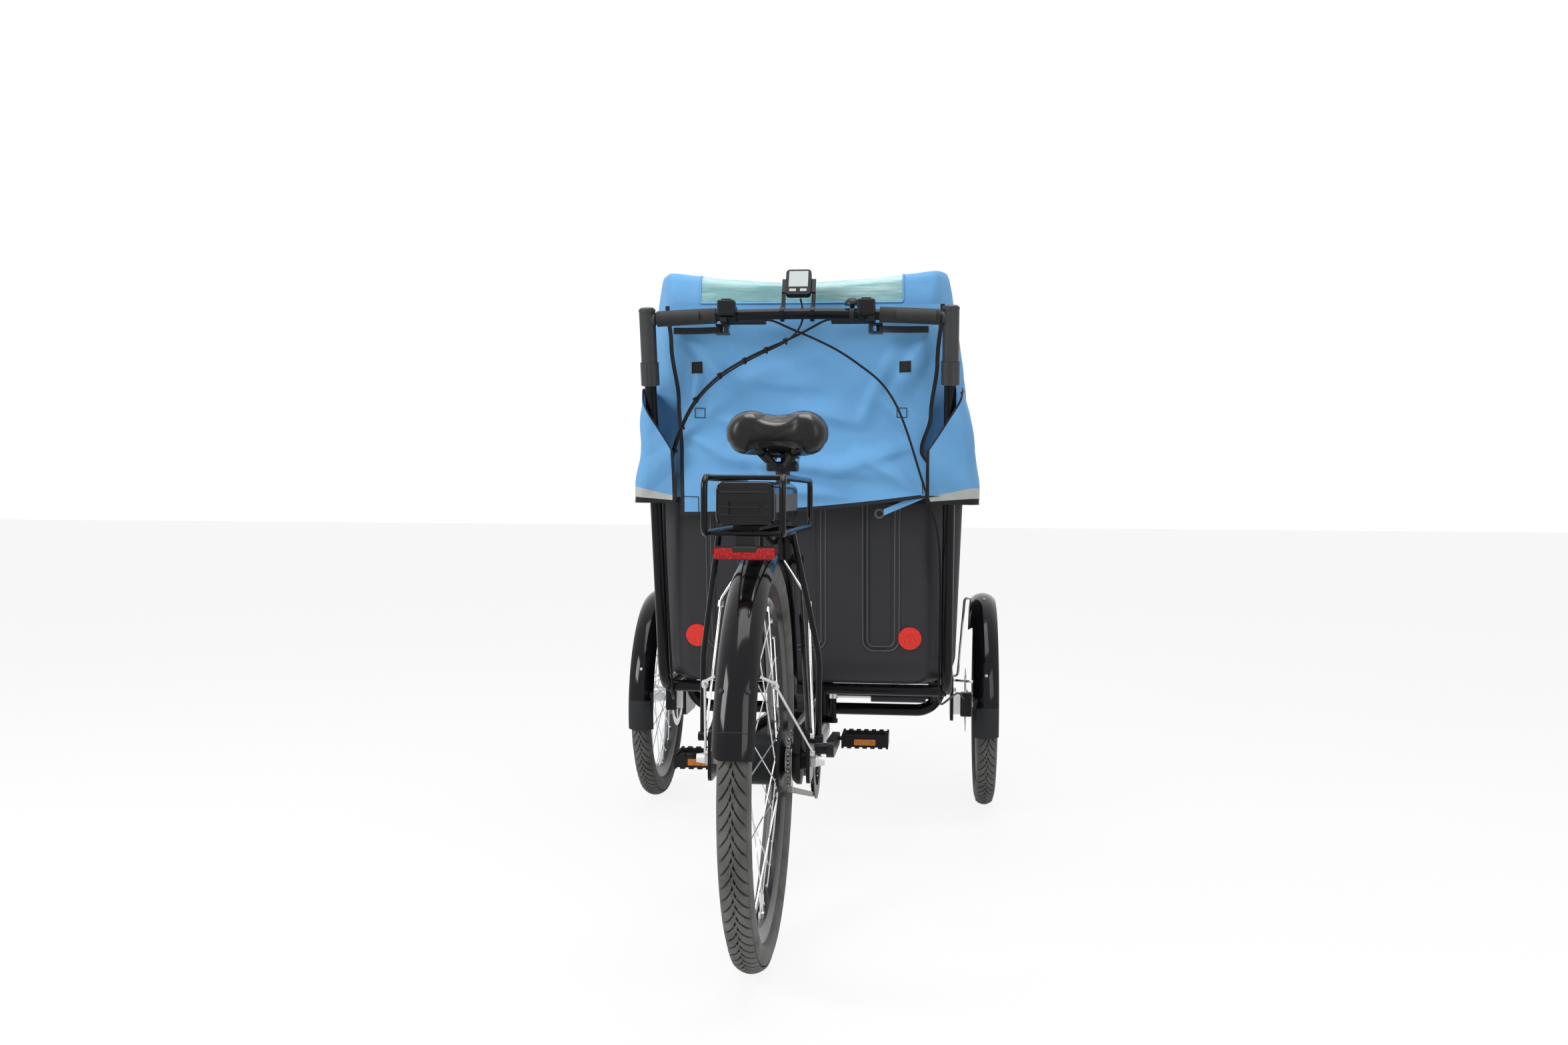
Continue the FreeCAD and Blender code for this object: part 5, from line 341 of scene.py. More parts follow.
@dataclass(frozen=True)
class Split(Finish):
    """Finish whose colour and gloss change where the piece passes a height, a distance or an offset."""

    other: Colour = (0.8, 0.8, 0.8)
    other_roughness: float = 0.4
    axis_name: str = "Z"
    limit: float = 0.0
    both_sides: bool = False

    def make(self) -> bpy.types.Material:
        """Build the material."""
        graph = Graph(self.name)
        value = graph.axis(self.axis_name)
        mask = (value.size() if self.both_sides else value).over(self.limit)
        rough = graph.speckle(self.mottle_scale * 3, 4.0) * self.spread
        level = mask * (self.other_roughness - self.roughness) + self.roughness
        colour = graph.blend(mask, self.colours(graph), self.other)
        return graph.finish(Base_Color=colour, Roughness=rough + level, Metallic=self.metallic,
                            Specular_IOR_Level=self.specular, Coat_Weight=self.coat,
                            Normal=self.relief(graph))


@dataclass(frozen=True)
class Cloth(Finish):
    """Coated polyester: crossed threads, fine creases with painted highlights on their ridges, and patches
    faded by the sun.
    """

    threads: float = 900.0
    thread_depth: float = 0.00008
    crease_depth: float = 0.004

    def weave(self, graph: Graph) -> Socket:
        """Height of the crossed threads."""
        turn = 2 * math.pi * self.threads
        across = (graph.axis("X") * turn + graph.axis("Y") * turn).wave()
        up = (graph.axis("Z") * turn).wave()
        return across * up * 0.5 + 0.5

    def make(self) -> bpy.types.Material:
        """Build the material."""
        graph = Graph(self.name)
        creases = graph.speckle(16.0, 7.0)
        faded = graph.speckle(3.5, 3.0)
        deep = tuple(c * 0.82 for c in self.colour)
        pale = tuple(min(1.0, c * 1.14 + 0.01) for c in self.colour)
        base = graph.blend(faded, deep, pale)
        # Painted highlight: the cloth turns paler where the crease height is greatest.
        base = graph.blend(creases.over(0.64, 0.12) * 0.25, base, pale)
        folds = graph.bump(creases, self.crease_depth)
        normal = graph.bump(self.weave(graph), self.thread_depth, folds)
        rough = graph.speckle(50.0, 4.0) * self.spread + self.roughness
        return graph.finish(Base_Color=base, Roughness=rough, Normal=normal, Specular_IOR_Level=self.specular,
                            Sheen_Weight=0.1, Sheen_Roughness=0.4)


@dataclass(frozen=True)
class Rubber(Finish):
    """Tyre rubber: darker and paler in random worn patches, with a fine grit."""

    def make(self) -> bpy.types.Material:
        """Build the material."""
        graph = Graph(self.name)
        worn = graph.speckle(26.0, 6.0).over(0.5, 0.25)
        base = graph.blend(worn, tuple(c * 0.7 for c in self.colour), tuple(c * 1.5 for c in self.colour))
        grit = graph.bump(graph.speckle(700.0, 3.0), 0.00012)
        rough = graph.speckle(80.0, 3.0) * 0.2 + self.roughness
        return graph.finish(Base_Color=base, Roughness=rough, Normal=grit, Specular_IOR_Level=self.specular)


@dataclass(frozen=True)
class Vinyl(Finish):
    """Saddle cover: gloss vinyl with a leather grain and rubbed patches."""

    cell: float = 420.0

    def make(self) -> bpy.types.Material:
        """Build the material."""
        graph = Graph(self.name)
        grain = graph.cells(self.cell).over(0.12, 0.12)
        rubbed = graph.speckle(22.0, 5.0)
        base = graph.blend(rubbed, self.colour, tuple(c * 2.2 for c in self.colour))
        rough = rubbed * 0.12 + self.roughness
        polish = graph.facing_up().over(0.55, 0.35) * 0.9
        return graph.finish(Base_Color=base, Roughness=rough, Specular_IOR_Level=0.18, Coat_Weight=polish,
                            Coat_Roughness=0.12, Normal=graph.bump(grain, 0.00005))


@dataclass(frozen=True)
class Lens(Finish):
    """Reflector or lamp lens: small cells under a gloss skin, with a faint painted glow."""

    cell: float = 420.0

    def make(self) -> bpy.types.Material:
        """Build the material."""
        graph = Graph(self.name)
        edge = graph.cells(self.cell).over(0.09, 0.05)
        dark = tuple(c * 0.55 for c in self.colour)
        base = graph.blend(edge, dark, self.colour)
        # The emission is a faint painted glow, on the reflectors too, which are no lamps.
        return graph.finish(Base_Color=base, Roughness=self.roughness, Coat_Weight=0.2, Coat_Roughness=0.04,
                            Normal=graph.bump(edge, 0.0003), Specular_IOR_Level=0.2, Emission_Color=base,
                            Emission_Strength=0.08)


@dataclass(frozen=True)
class Clear(Finish):
    """Clear soft sheet with waves, creases and faint smears."""

    opacity: float = 0.3
    wave_depth: float = 0.006

    def make(self) -> bpy.types.Material:
        """Build the material."""
        graph = Graph(self.name)
        streaks = graph.speckle(1.0, 5.0, graph.stretched((7.0, 20.0, 46.0)))
        smear = streaks.over(0.6, 0.22) * 0.55
        base = graph.blend(smear, self.colour, (0.86, 0.93, 0.93))
        alpha = smear * 0.35 + self.opacity
        return graph.finish(Base_Color=base, Roughness=self.roughness, Alpha=alpha,
                            Normal=graph.bump(streaks, self.wave_depth), Specular_IOR_Level=0.6)


class FinishShelf:
    """Every finish of the tricycle, built once when it is first asked for."""

    def __init__(self, axle_y: float) -> None:
        """List the finishes.

        Args:
            axle_y: Place of the rear axle along the tricycle.
        """
        black = (0.0045, 0.0047, 0.006)
        self.axle_y = axle_y
        self.made: dict[str, bpy.types.Material] = {}
        self.known: dict[str, Finish] = {f.name: f for f in (
            Finish("frame_lacquer", black, 0.22, coat=0.06, mottle=0.2, dust=0.12),
            Finish("fender_lacquer", (0.003, 0.0033, 0.0045), 0.09, coat=0.15, mottle=0.15, spread=0.06,
                   dust=0.05),
            Split("front_fender", (0.018, 0.019, 0.021), 0.5, coat=0.15, mottle=0.15, spread=0.06,
                  other=(0.003, 0.0033, 0.0045), other_roughness=0.08, axis_name="Z", limit=0.272),
            Finish("motor_casing", (0.012, 0.0125, 0.014), 0.4, grain_scale=1500.0, grain_depth=0.0001),
            Brushed("drawn_steel", (0.6, 0.6, 0.59), 0.28, metallic=1.0, mottle=0.12, along=(1.0, 1.0, 0.04)),
            Brushed("alloy", (0.62, 0.63, 0.65), 0.3, metallic=1.0, mottle=0.1, along=(0.05, 1.0, 1.0)),
            Brushed("wheel_rim", (0.05, 0.051, 0.053), 0.3, metallic=0.7, mottle=0.15,
                    along=(1.0, 0.05, 0.05)),
            Finish("dark_alloy", (0.03, 0.031, 0.034), 0.36, metallic=0.6, mottle=0.2),
            Finish("sleeve_anodised", (0.055, 0.056, 0.058), 0.4, metallic=0.55, mottle=0.15,
                   grain_depth=0.00008),
            Finish("chain_steel", (0.2, 0.185, 0.165), 0.34, metallic=0.9, mottle=0.6, mottle_scale=260.0),
            Rubber("tyre_rubber", (0.092, 0.092, 0.09), 0.6, specular=0.25),
            Finish("grip_rubber", (0.035, 0.035, 0.036), 0.66, mottle=0.2, grain_scale=1100.0,
                   grain_depth=0.0004),
            Finish("hose_sheath", (0.012, 0.012, 0.013), 0.38, mottle=0.25, mottle_scale=60.0),
            Vinyl("saddle_vinyl", (0.009, 0.0088, 0.0086), 0.22),
            Finish("battery_shell", (0.004, 0.004, 0.005), 0.18, coat=0.3, mottle=0.3, spread=0.1, dust=0.1),
            Finish("black_plastic", (0.01, 0.01, 0.011), 0.4, mottle=0.25, grain_depth=0.0001),
            Finish("box_plastic", (0.034, 0.0345, 0.039), 0.48, mottle=0.12, mottle_scale=5.0,
                   grain_scale=520.0, grain_depth=0.00016, dust=0.1),
            # Paler than the box plastic: a painted highlight on the edges of the sunk fields.
            Finish("bead_painted_highlight", (0.06, 0.062, 0.067), 0.42, mottle=0.15, grain_depth=0.0001, specular=0.3),
            Finish("rim_plastic", (0.075, 0.079, 0.086), 0.55, mottle=0.15, grain_depth=0.00015),
            Cloth("canopy_cloth", (0.125, 0.33, 0.595), 0.5, spread=0.15),
            Cloth("binding", (0.012, 0.0125, 0.016), 0.6, spread=0.1, threads=450.0),
            Cloth("reflective_tape", (0.42, 0.44, 0.42), 0.36, spread=0.1, threads=1500.0),
            Finish("hook_tape", (0.02, 0.019, 0.02), 0.85, mottle=0.5, mottle_scale=900.0,
                   grain_depth=0.0006),
            Clear("clear_sheet", (0.34, 0.68, 0.69), 0.08, opacity=0.36),
            Lens("red_lens", (0.42, 0.008, 0.008), 0.1, cell=150.0),
            Lens("red_reflector", (0.8, 0.03, 0.018), 0.3, cell=330.0),
            Lens("amber_lens", (0.52, 0.17, 0.01), 0.14, cell=300.0),
            Finish("white_cap", (0.72, 0.72, 0.71), 0.32, mottle=0.06),
            Finish("bright_bolt", (0.66, 0.66, 0.66), 0.22, metallic=1.0, mottle=0.1),
            Finish("screen", (0.3, 0.33, 0.33), 0.16, coat=0.6, mottle=0.08),
            Split("axle_metal", (0.5, 0.5, 0.5), 0.32, metallic=0.35, mottle=0.15, other=(0.74, 0.74, 0.73),
                  axis_name="X", limit=0.0908, both_sides=True),
            Finish("smoked_lens", (0.012, 0.008, 0.008), 0.1, coat=0.5, mottle=0.1),
            Split("tail_lamp", (0.13, 0.003, 0.004), 0.14, coat=0.2, mottle=0.25, mottle_scale=240.0,
                  other=(0.012, 0.012, 0.013), other_roughness=0.35, axis_name="Z", limit=0.6845),
        )}

    def get(self, name: str) -> bpy.types.Material:
        """Material of a finish, built the first time."""
        if name not in self.made:
            self.made[name] = self.known[name].make()
        return self.made[name]


# Modelling steps


class Bench:
    """Modelling steps made with operators, each on one active object."""

    @staticmethod
    def pick(*pieces: Piece) -> None:
        """Select these pieces alone and make the first one active."""
        bpy.ops.object.select_all(action="DESELECT")
        for piece in pieces:
            piece.select_set(True)
        bpy.context.view_layer.objects.active = pieces[0]

    @staticmethod
    def _added(name: str) -> Piece:
        """Name the new primitive and put its place into its mesh."""
        piece = Bench.named(bpy.context.active_object, name)
        bpy.ops.object.transform_apply(location=True, rotation=True, scale=True)
        return piece

    @staticmethod
    def block(name: str, low: Vector, high: Vector, round_by: float = 0.0) -> Piece:
        """Box between two corners with rounded edges.

        Args:
            name: Name of the piece.
            low: Lowest corner.
            high: Highest corner.
            round_by: Radius of the edges.

        Returns:
            The new piece.
        """
        bpy.ops.object.select_all(action="DESELECT")
        bpy.ops.mesh.primitive_cube_add(size=1.0, location=(low + high) / 2)
        bpy.context.active_object.scale = high - low
        piece = Bench._added(name)
        if round_by:
            Bench.modify(piece, "BEVEL", width=round_by, segments=3)
        return piece

    @staticmethod
    def rod(name: str, start: Vector, end: Vector, radius: float, sides: int = 20) -> Piece:
        """Round bar between two points, with its end edges broken.

        Args:
            name: Name of the piece.
            start: Middle of one end.
            end: Middle of the other end.
            radius: Radius of the bar.
            sides: Number of faces round it.

        Returns:
            The new piece.
        """
        run = end - start
        turn = run.to_track_quat("Z", "Y").to_euler()
        bpy.ops.object.select_all(action="DESELECT")
        bpy.ops.mesh.primitive_cylinder_add(vertices=sides, radius=radius, depth=run.length,
                                            location=(start + end) / 2, rotation=turn)
        piece = Bench._added(name)
        Bench.modify(piece, "BEVEL", width=min(radius, run.length) * 0.18, segments=2, limit_method="ANGLE",
                     angle_limit=math.radians(50))
        return piece

    @staticmethod
    def modify(piece: Piece, kind: str, **settings: object) -> None:
        """Add a modifier and apply it.

        Args:
            piece: Piece to change.
            kind: Blender's name of the modifier.
            settings: Its settings.
        """
        Bench.pick(piece)
        made = piece.modifiers.new(kind.lower(), kind)
        for key, value in settings.items():
            setattr(made, key, value)
        bpy.ops.object.modifier_apply(modifier=made.name)

    @staticmethod
    def lathe(name: str, profile: Sequence[Pair], centre: Vector, steps: int) -> Piece:
        """Closed profile of offsets and radii, spun about a cross axis.

        Args:
            name: Name of the piece.
            profile: Offset along X and radius of each corner, in order round the profile.
            centre: Middle of the wheel that the profile belongs to.
            steps: Faces in one turn.

        Returns:
            The new piece.
        """
        bpy.ops.object.select_all(action="DESELECT")
        bpy.ops.mesh.primitive_circle_add(vertices=len(profile), radius=1.0)
        piece = bpy.context.active_object
        for vertex, (offset, radius) in zip(piece.data.vertices, profile):
            vertex.co = centre + Vector((offset, 0.0, radius))
        piece = Bench.named(piece, name)
        bpy.ops.object.mode_set(mode="EDIT")
        bpy.ops.mesh.select_all(action="SELECT")
        bpy.ops.mesh.spin(steps=steps, angle=2 * math.pi, center=centre, axis=(1.0, 0.0, 0.0))
        bpy.ops.object.mode_set(mode="OBJECT")
        Bench.outward(piece, 0.00002)
        bpy.ops.object.shade_smooth()
        return piece

    @staticmethod
    def outward(piece: Piece, merge: float = 0.0) -> None:
        """Merge the doubled points of a piece and turn its faces outwards.

        Args:
            piece: Piece to mend.
            merge: Distance below which points are merged; 0 merges none.
        """
        Bench.pick(piece)
        bpy.ops.object.mode_set(mode="EDIT")
        bpy.ops.mesh.select_all(action="SELECT")
        if merge:
            bpy.ops.mesh.remove_doubles(threshold=merge)
        bpy.ops.mesh.normals_make_consistent(inside=False)
        bpy.ops.object.mode_set(mode="OBJECT")

    @staticmethod
    def about(centre: Vector, angle: float, axis: str) -> Matrix:
        """Turn by an angle in radians about an axis through a point."""
        return Matrix.Translation(centre) @ Matrix.Rotation(angle, 4, axis) @ Matrix.Translation(-centre)

    @staticmethod
    def named(piece: Piece, name: str) -> Piece:
        """Give a piece and its mesh a name and select it alone."""
        piece.name = name
        piece.data.name = name
        Bench.pick(piece)
        return piece

    @staticmethod
    def grid(name: str, columns: int, rows: int, shape: Callable[[float, float], Vector]) -> Piece:
        """Square grid whose points are set by a function of two shares.

        Args:
            name: Name of the piece.
            columns: Faces along the first share.
            rows: Faces along the second share.
            shape: Place of a point from its two shares, each from 0 to 1.

        Returns:
            The new piece.
        """
        bpy.ops.object.select_all(action="DESELECT")
        bpy.ops.mesh.primitive_grid_add(x_subdivisions=columns, y_subdivisions=rows, size=2.0,
                                        location=(0, 0, 0))
        piece = Bench.named(bpy.context.active_object, name)
        for vertex in piece.data.vertices:
            vertex.co = shape((vertex.co.x + 1) / 2, (vertex.co.y + 1) / 2)
        return piece

    @staticmethod
    def turned_copies(piece: Piece, turns: Iterable[Matrix]) -> list[Piece]:
        """Copies of a piece, each with its own mesh, moved by a matrix, in place of the piece.

        Args:
            piece: Piece to copy; it is removed.
            turns: Matrix of each copy.

        Returns:
            The copies.
        """
        copies = []
        for turn in turns:
            copy = piece.copy()
            copy.data = piece.data.copy()
            copy.data.transform(turn)
            bpy.context.scene.collection.objects.link(copy)
            copies.append(copy)
        bpy.data.objects.remove(piece)
        return copies

    @staticmethod
    def joined(name: str, pieces: Sequence[Piece]) -> Piece:
        """One piece from several.

        Args:
            name: Name of the joined piece.
            pieces: Pieces to join.

        Returns:
            The joined piece.
        """
        Bench.pick(*pieces)
        if len(pieces) > 1:
            bpy.ops.object.join()
        return Bench.named(bpy.context.active_object, name)

    @staticmethod
    def tube(name: str, points: Sequence[Vector], radius: float) -> Piece:
        """Smooth tube whose control points are given.

        Args:
            name: Name of the piece.
            points: Control points of its line.
            radius: Radius of the tube.

        Returns:
            The tube as a mesh.
        """
        Bench.pick(Bench._curve(name, points, radius))
        bpy.ops.object.convert(target="MESH")
        piece = Bench.named(bpy.context.active_object, name)
        bpy.ops.object.shade_smooth()
        return piece

    @staticmethod
    def _curve(name: str, points: Sequence[Vector], radius: float) -> Piece:
        """Smooth curve with the given control points and radius."""
        line = bpy.data.curves.new(name, "CURVE")
        line.dimensions = "3D"
        line.bevel_depth = radius
        line.bevel_resolution = 3
        line.resolution_u = 6
        line.use_fill_caps = True
        spline = line.splines.new("NURBS")
        spline.points.add(len(points) - 1)
        for target, point in zip(spline.points, points):
            target.co = (*point, 1.0)
        spline.order_u = 3
        spline.use_endpoint_u = True
        piece = bpy.data.objects.new(name, line)
        bpy.context.scene.collection.objects.link(piece)
        return piece

    @staticmethod
    def centreline(points: Sequence[Vector]) -> list[Vector]:
        """Points along the smooth line of a tube with the given control points."""
        curve = Bench._curve("centreline", points, 0.0)
        mesh = bpy.data.meshes.new_from_object(curve)
        line = [vertex.co.copy() for vertex in mesh.vertices]
        bpy.data.objects.remove(curve)
        bpy.data.meshes.remove(mesh)
        return line

    @staticmethod
    def turn(piece: Piece, angle: float, axis: str, centre: Vector) -> Piece:
        """Turn a piece about an axis through a point.

        Args:
            piece: Piece to turn.
            angle: Angle in degrees.
            axis: Name of the axis.
            centre: Point that stays.

        Returns:
            The same piece.
        """
        piece.matrix_world = Bench.about(centre, math.radians(angle), axis)
        Bench.pick(piece)
        bpy.ops.object.transform_apply(location=True, rotation=True, scale=True)
        return piece

    @staticmethod
    def hoop(name: str, centre: Vector, radius: float, thickness: float, turn: Sequence[float]) -> Piece:
        """Round ring.

        Args:
            name: Name of the piece.
            centre: Middle of the ring.
            radius: Radius of its middle line.
            thickness: Radius of its section.
            turn: Angles that set which way it faces.

        Returns:
            The new piece.
        """
        bpy.ops.object.select_all(action="DESELECT")
        bpy.ops.mesh.primitive_torus_add(location=centre, rotation=turn, major_radius=radius,
                                         minor_radius=thickness, major_segments=28, minor_segments=10)
        piece = Bench._added(name)
        bpy.ops.object.shade_smooth()
        return piece

    @staticmethod
    def smooth(piece: Piece, angle: float = 35.0) -> None:
        """Shade a piece smooth up to an angle between its faces."""
        Bench.pick(piece)
        bpy.ops.object.shade_smooth_by_angle(angle=math.radians(angle))


def side_name(side: int) -> str:
    """Word for a side: right for 1, left for -1."""
    return "right" if side > 0 else "left"


@dataclass
class Builder:
    """What every sub-assembly needs: the finishes, which also hold the place of the rear axle."""

    shelf: FinishShelf

    def at(self, x: float, ahead: float, z: float) -> Vector:
        """Point from its offset, its distance ahead of the rear axle and its height, in millimetres."""
        return Vector((x * MM, self.shelf.axle_y + ahead * MM, z * MM))

    @staticmethod
    def post_line(z: float) -> float:
        """Distance of the handlebar posts ahead of the rear axle at a height, in millimetres."""
        return BAR_AHEAD + (BAR_Z - z) * math.tan(POST_LEAN)

    def paint(self, piece: Piece, *finishes: str) -> None:
        """Give a piece these finishes, in the order of the numbers on its faces."""
        piece.data.materials.clear()
        for finish in finishes:
            piece.data.materials.append(self.shelf.get(finish))

    def dress(self, piece: Piece, finish: str, body: Body | str, slot: str) -> None:
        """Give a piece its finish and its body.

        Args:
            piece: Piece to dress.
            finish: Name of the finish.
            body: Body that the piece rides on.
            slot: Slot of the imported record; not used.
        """
        self.paint(piece, finish)
        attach(piece, body.value if isinstance(body, Body) else body)
        LOG.info("piece %s rides on %s", piece.name, piece["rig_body"])


# Solids that keep their shape


NODE_FINISHES: dict[str, tuple[str, ...]] = {
    "frame_lacquer": ("main_frame", "cabin_frame", "rear_rack", "seat_clamp", "display_bracket", "handlebar"),
    "fender_lacquer": ("rear_fender",),
    "front_fender": ("front_fenders",),
    "drawn_steel": ("rear_spokes", "rear_fender_stays", "front_fender_stays", "saddle_rails", "canopy_bows",
                    "right_brake_disc", "left_brake_disc", "damper_rod", "stub_axles"),
    "axle_metal": ("rear_axle",),
    "alloy": ("right_front_hub", "left_front_hub", "rear_sprocket"),
    "wheel_rim": ("rear_rim", "right_front_rim", "left_front_rim"),
    "motor_casing": ("drive_unit", "rear_hub"),
    "dark_alloy": ("right_crank", "left_crank", "chainring", "brake_calipers", "damper_cylinder",
                   "brake_lever_clamps", "right_brake_lever", "left_brake_lever", "bell", "seatpost"),
    "sleeve_anodised": ("handlebar_posts",),
    "chain_steel": ("chain",),
    "grip_rubber": ("grips",),
    "battery_shell": ("battery",),
    "black_plastic": ("battery_rail", "gear_actuator", "switch_units", "display_unit", "right_pedal",
                      "left_pedal", "right_switch_button", "left_switch_button"),
    "box_plastic": ("cargo_box",),
    "rim_plastic": ("box_rim",),
    "red_reflector": ("rear_reflectors",),
    "tail_lamp": ("tail_light",),
}


@dataclass
class Solids(Builder):
    """Finishes of the solids that stay as they are."""

    nodes: dict[str, Piece] = field(default_factory=dict)
    smooth_angle: float = 32.0

    def build(self) -> None:
        """Dress every solid that keeps its shape."""
        for finish, names in NODE_FINISHES.items():
            for name in names:
                self._dress_node(self.nodes[name], finish)

    def _dress_node(self, node: Piece, finish: str) -> None:
        """Give one solid its finish and smooth its curved faces through modifiers."""
        self.paint(node, finish)
        node.data.polygons.foreach_set("use_smooth", [True] * len(node.data.polygons))
        weld = node.modifiers.new("weld", "WELD")
        weld.merge_threshold = 0.00001
        split = node.modifiers.new("edges", "EDGE_SPLIT")
        split.split_angle = math.radians(self.smooth_angle)


# Wheels


@dataclass
class Tyre(Builder):
    """Tyre with leaf-shaped tread blocks that interlock along the middle."""

    node: str = "rear_tyre"
    body: str = "rear_wheel"
    centre: Vector = field(default_factory=Vector)
    radius: float = 0.330
    half_width: float = 0.025
    bead_radius: float = 0.282
    bead_half: float = 0.0136
    wall: float = 0.004
    depth: float = 0.0022
    leaf_pitch: float = 0.0225
    sweep: float = 1.9
    overlap: float = 0.25
    groove: float = 0.0022
    shoulder_share: float = 0.74
    shoulder_drop: float = 0.16
    side_share: float = 0.52
    knee_height: float = 0.0052

    @property
    def shoulder(self) -> Pair:
        """Offset and radius of the tyre's shoulder."""
        height = self.radius - self.bead_radius
        return self.half_width * self.shoulder_share, self.radius - height * self.shoulder_drop

    def crown(self, offset: float) -> float:
        """Radius of the tread surface at an offset from the middle."""
        x, low = self.shoulder
        rise = self.radius - low
        curve = (x * x + rise * rise) / (2 * rise)
        return self.radius - curve + math.sqrt(max(curve * curve - offset * offset, 0.0))

    def carcass(self) -> Piece:
        """Hollow body of the tyre, sunk by the depth of the tread at its crown."""
        x, low = self.shoulder
        side = self.bead_radius + (self.radius - self.bead_radius) * self.side_share
        knee = self.bead_radius + self.knee_height
        outer: list[Pair] = [(self.bead_half, self.bead_radius), (self.bead_half, knee)]
        for step in range(1, 8):
            turn = math.pi * (0.42 - 0.84 * step / 8)
            outer.append((self.half_width * (0.58 + 0.42 * math.cos(turn)),
                          side - (side - knee) * 0.98 * math.sin(turn) if turn > 0
                          else side - (low - side) * math.sin(turn) * 1.02))
        for step in range(9):
            offset = x * (1 - step / 4)
            outer.append((offset, self.crown(offset) - self.depth))
        right = outer[:9]
        outer.extend((-offset, radius) for offset, radius in right[::-1])
        inner = [(offset * (1 - self.wall / self.half_width * 1.6), max(radius - self.wall, self.bead_radius))
                 for offset, radius in outer[::-1]]
        return Bench.lathe(self.node + "_body", outer + inner, self.centre, 128)

    def leaf(self, side: int) -> Piece:
        """One tread block on one side, at the top of the wheel."""
        reach = self.shoulder[0]
        pitch = self.leaf_pitch / self.radius
        gap = self.groove / self.radius

        def shape(along: float, across: float) -> Vector:
            """Place on the block."""
            share = -self.overlap + (1 + self.overlap) * along
            taper = min(1.0, max(0.0, (share + self.overlap) / (2 * self.overlap)))
            length = (pitch - 2 * gap) * (0.06 + 0.94 * taper * taper * (3 - 2 * taper))
            bow = 1.0 - 0.25 * max(share, 0.0)
            angle = pitch * self.sweep * share * bow + gap + length * across
            offset = side * reach * share
            radius = self.crown(offset)
            return self.centre + Vector((offset, -math.sin(angle) * radius, math.cos(angle) * radius))

        block = Bench.grid(self.node + "_leaf", 7, 2, shape)
        outward = -1.0 if side > 0 else 1.0
        Bench.modify(block, "SOLIDIFY", thickness=self.depth * 1.4, offset=outward)
        return block

    def build(self) -> None:
        """Build the tyre and put it in place of its solid."""
        count = round(2 * math.pi * self.radius / self.leaf_pitch)
        pieces = [self.carcass()]
        for side, start in ((1, 0.0), (-1, 0.5)):
            turns = [Bench.about(self.centre, 2 * math.pi * (index + start) / count, "X")
                     for index in range(count)]
            pieces.extend(Bench.turned_copies(self.leaf(side), turns))
        tyre = Bench.joined(self.node + "_tread", pieces)
        Bench.outward(tyre)
        Bench.smooth(tyre, 40.0)
        self.dress(tyre, "tyre_rubber", self.body, "tyre_rubber")
        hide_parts(self.node)


@dataclass
class WheelTrim(Builder):
    """Spoke nipples and the valve of a wheel."""

    name: str = "rear"
    body: str = "rear_wheel"
    centre: Vector = field(default_factory=Vector)
    inner_radius: float = 0.264
    spokes: int = 32
    nipple_length: float = 0.011
    nipple_radius: float = 0.0021
    valve_length: float = 0.034
    valve_radius: float = 0.003
    nut_radius: float = 0.0055
    cap_radius: float = 0.0042

    def build(self) -> None:
        """Build one nipple, copy it round the rim and add the valve near the bottom."""
        up = Vector((0.0, 0.0, 1.0))
        foot = self.centre + up * self.inner_radius
        nipple = Bench.rod("nipple", foot + up * 0.001, foot - up * self.nipple_length, self.nipple_radius, 8)
        turns = [Bench.about(self.centre, 2 * math.pi * index / self.spokes, "X")
                 for index in range(self.spokes)]
        pieces = Bench.turned_copies(nipple, turns)
        way = Matrix.Rotation(math.pi * (1 + 1 / self.spokes), 4, "X") @ up
        rim = self.centre + way * (self.inner_radius + 0.001)
        tip = self.centre + way * (self.inner_radius - self.valve_length)
        pieces.append(Bench.rod("valve", rim, tip, self.valve_radius, 14))
        pieces.append(Bench.rod("valve_nut", rim, rim - way * 0.006, self.nut_radius, 6))
        pieces.append(Bench.rod("valve_cap", tip + way * 0.011, tip - way * 0.002, self.cap_radius, 14))
        self.dress(Bench.joined(self.name + "_wheel_trim", pieces), "bright_bolt", self.body, "steel")


# Cloth


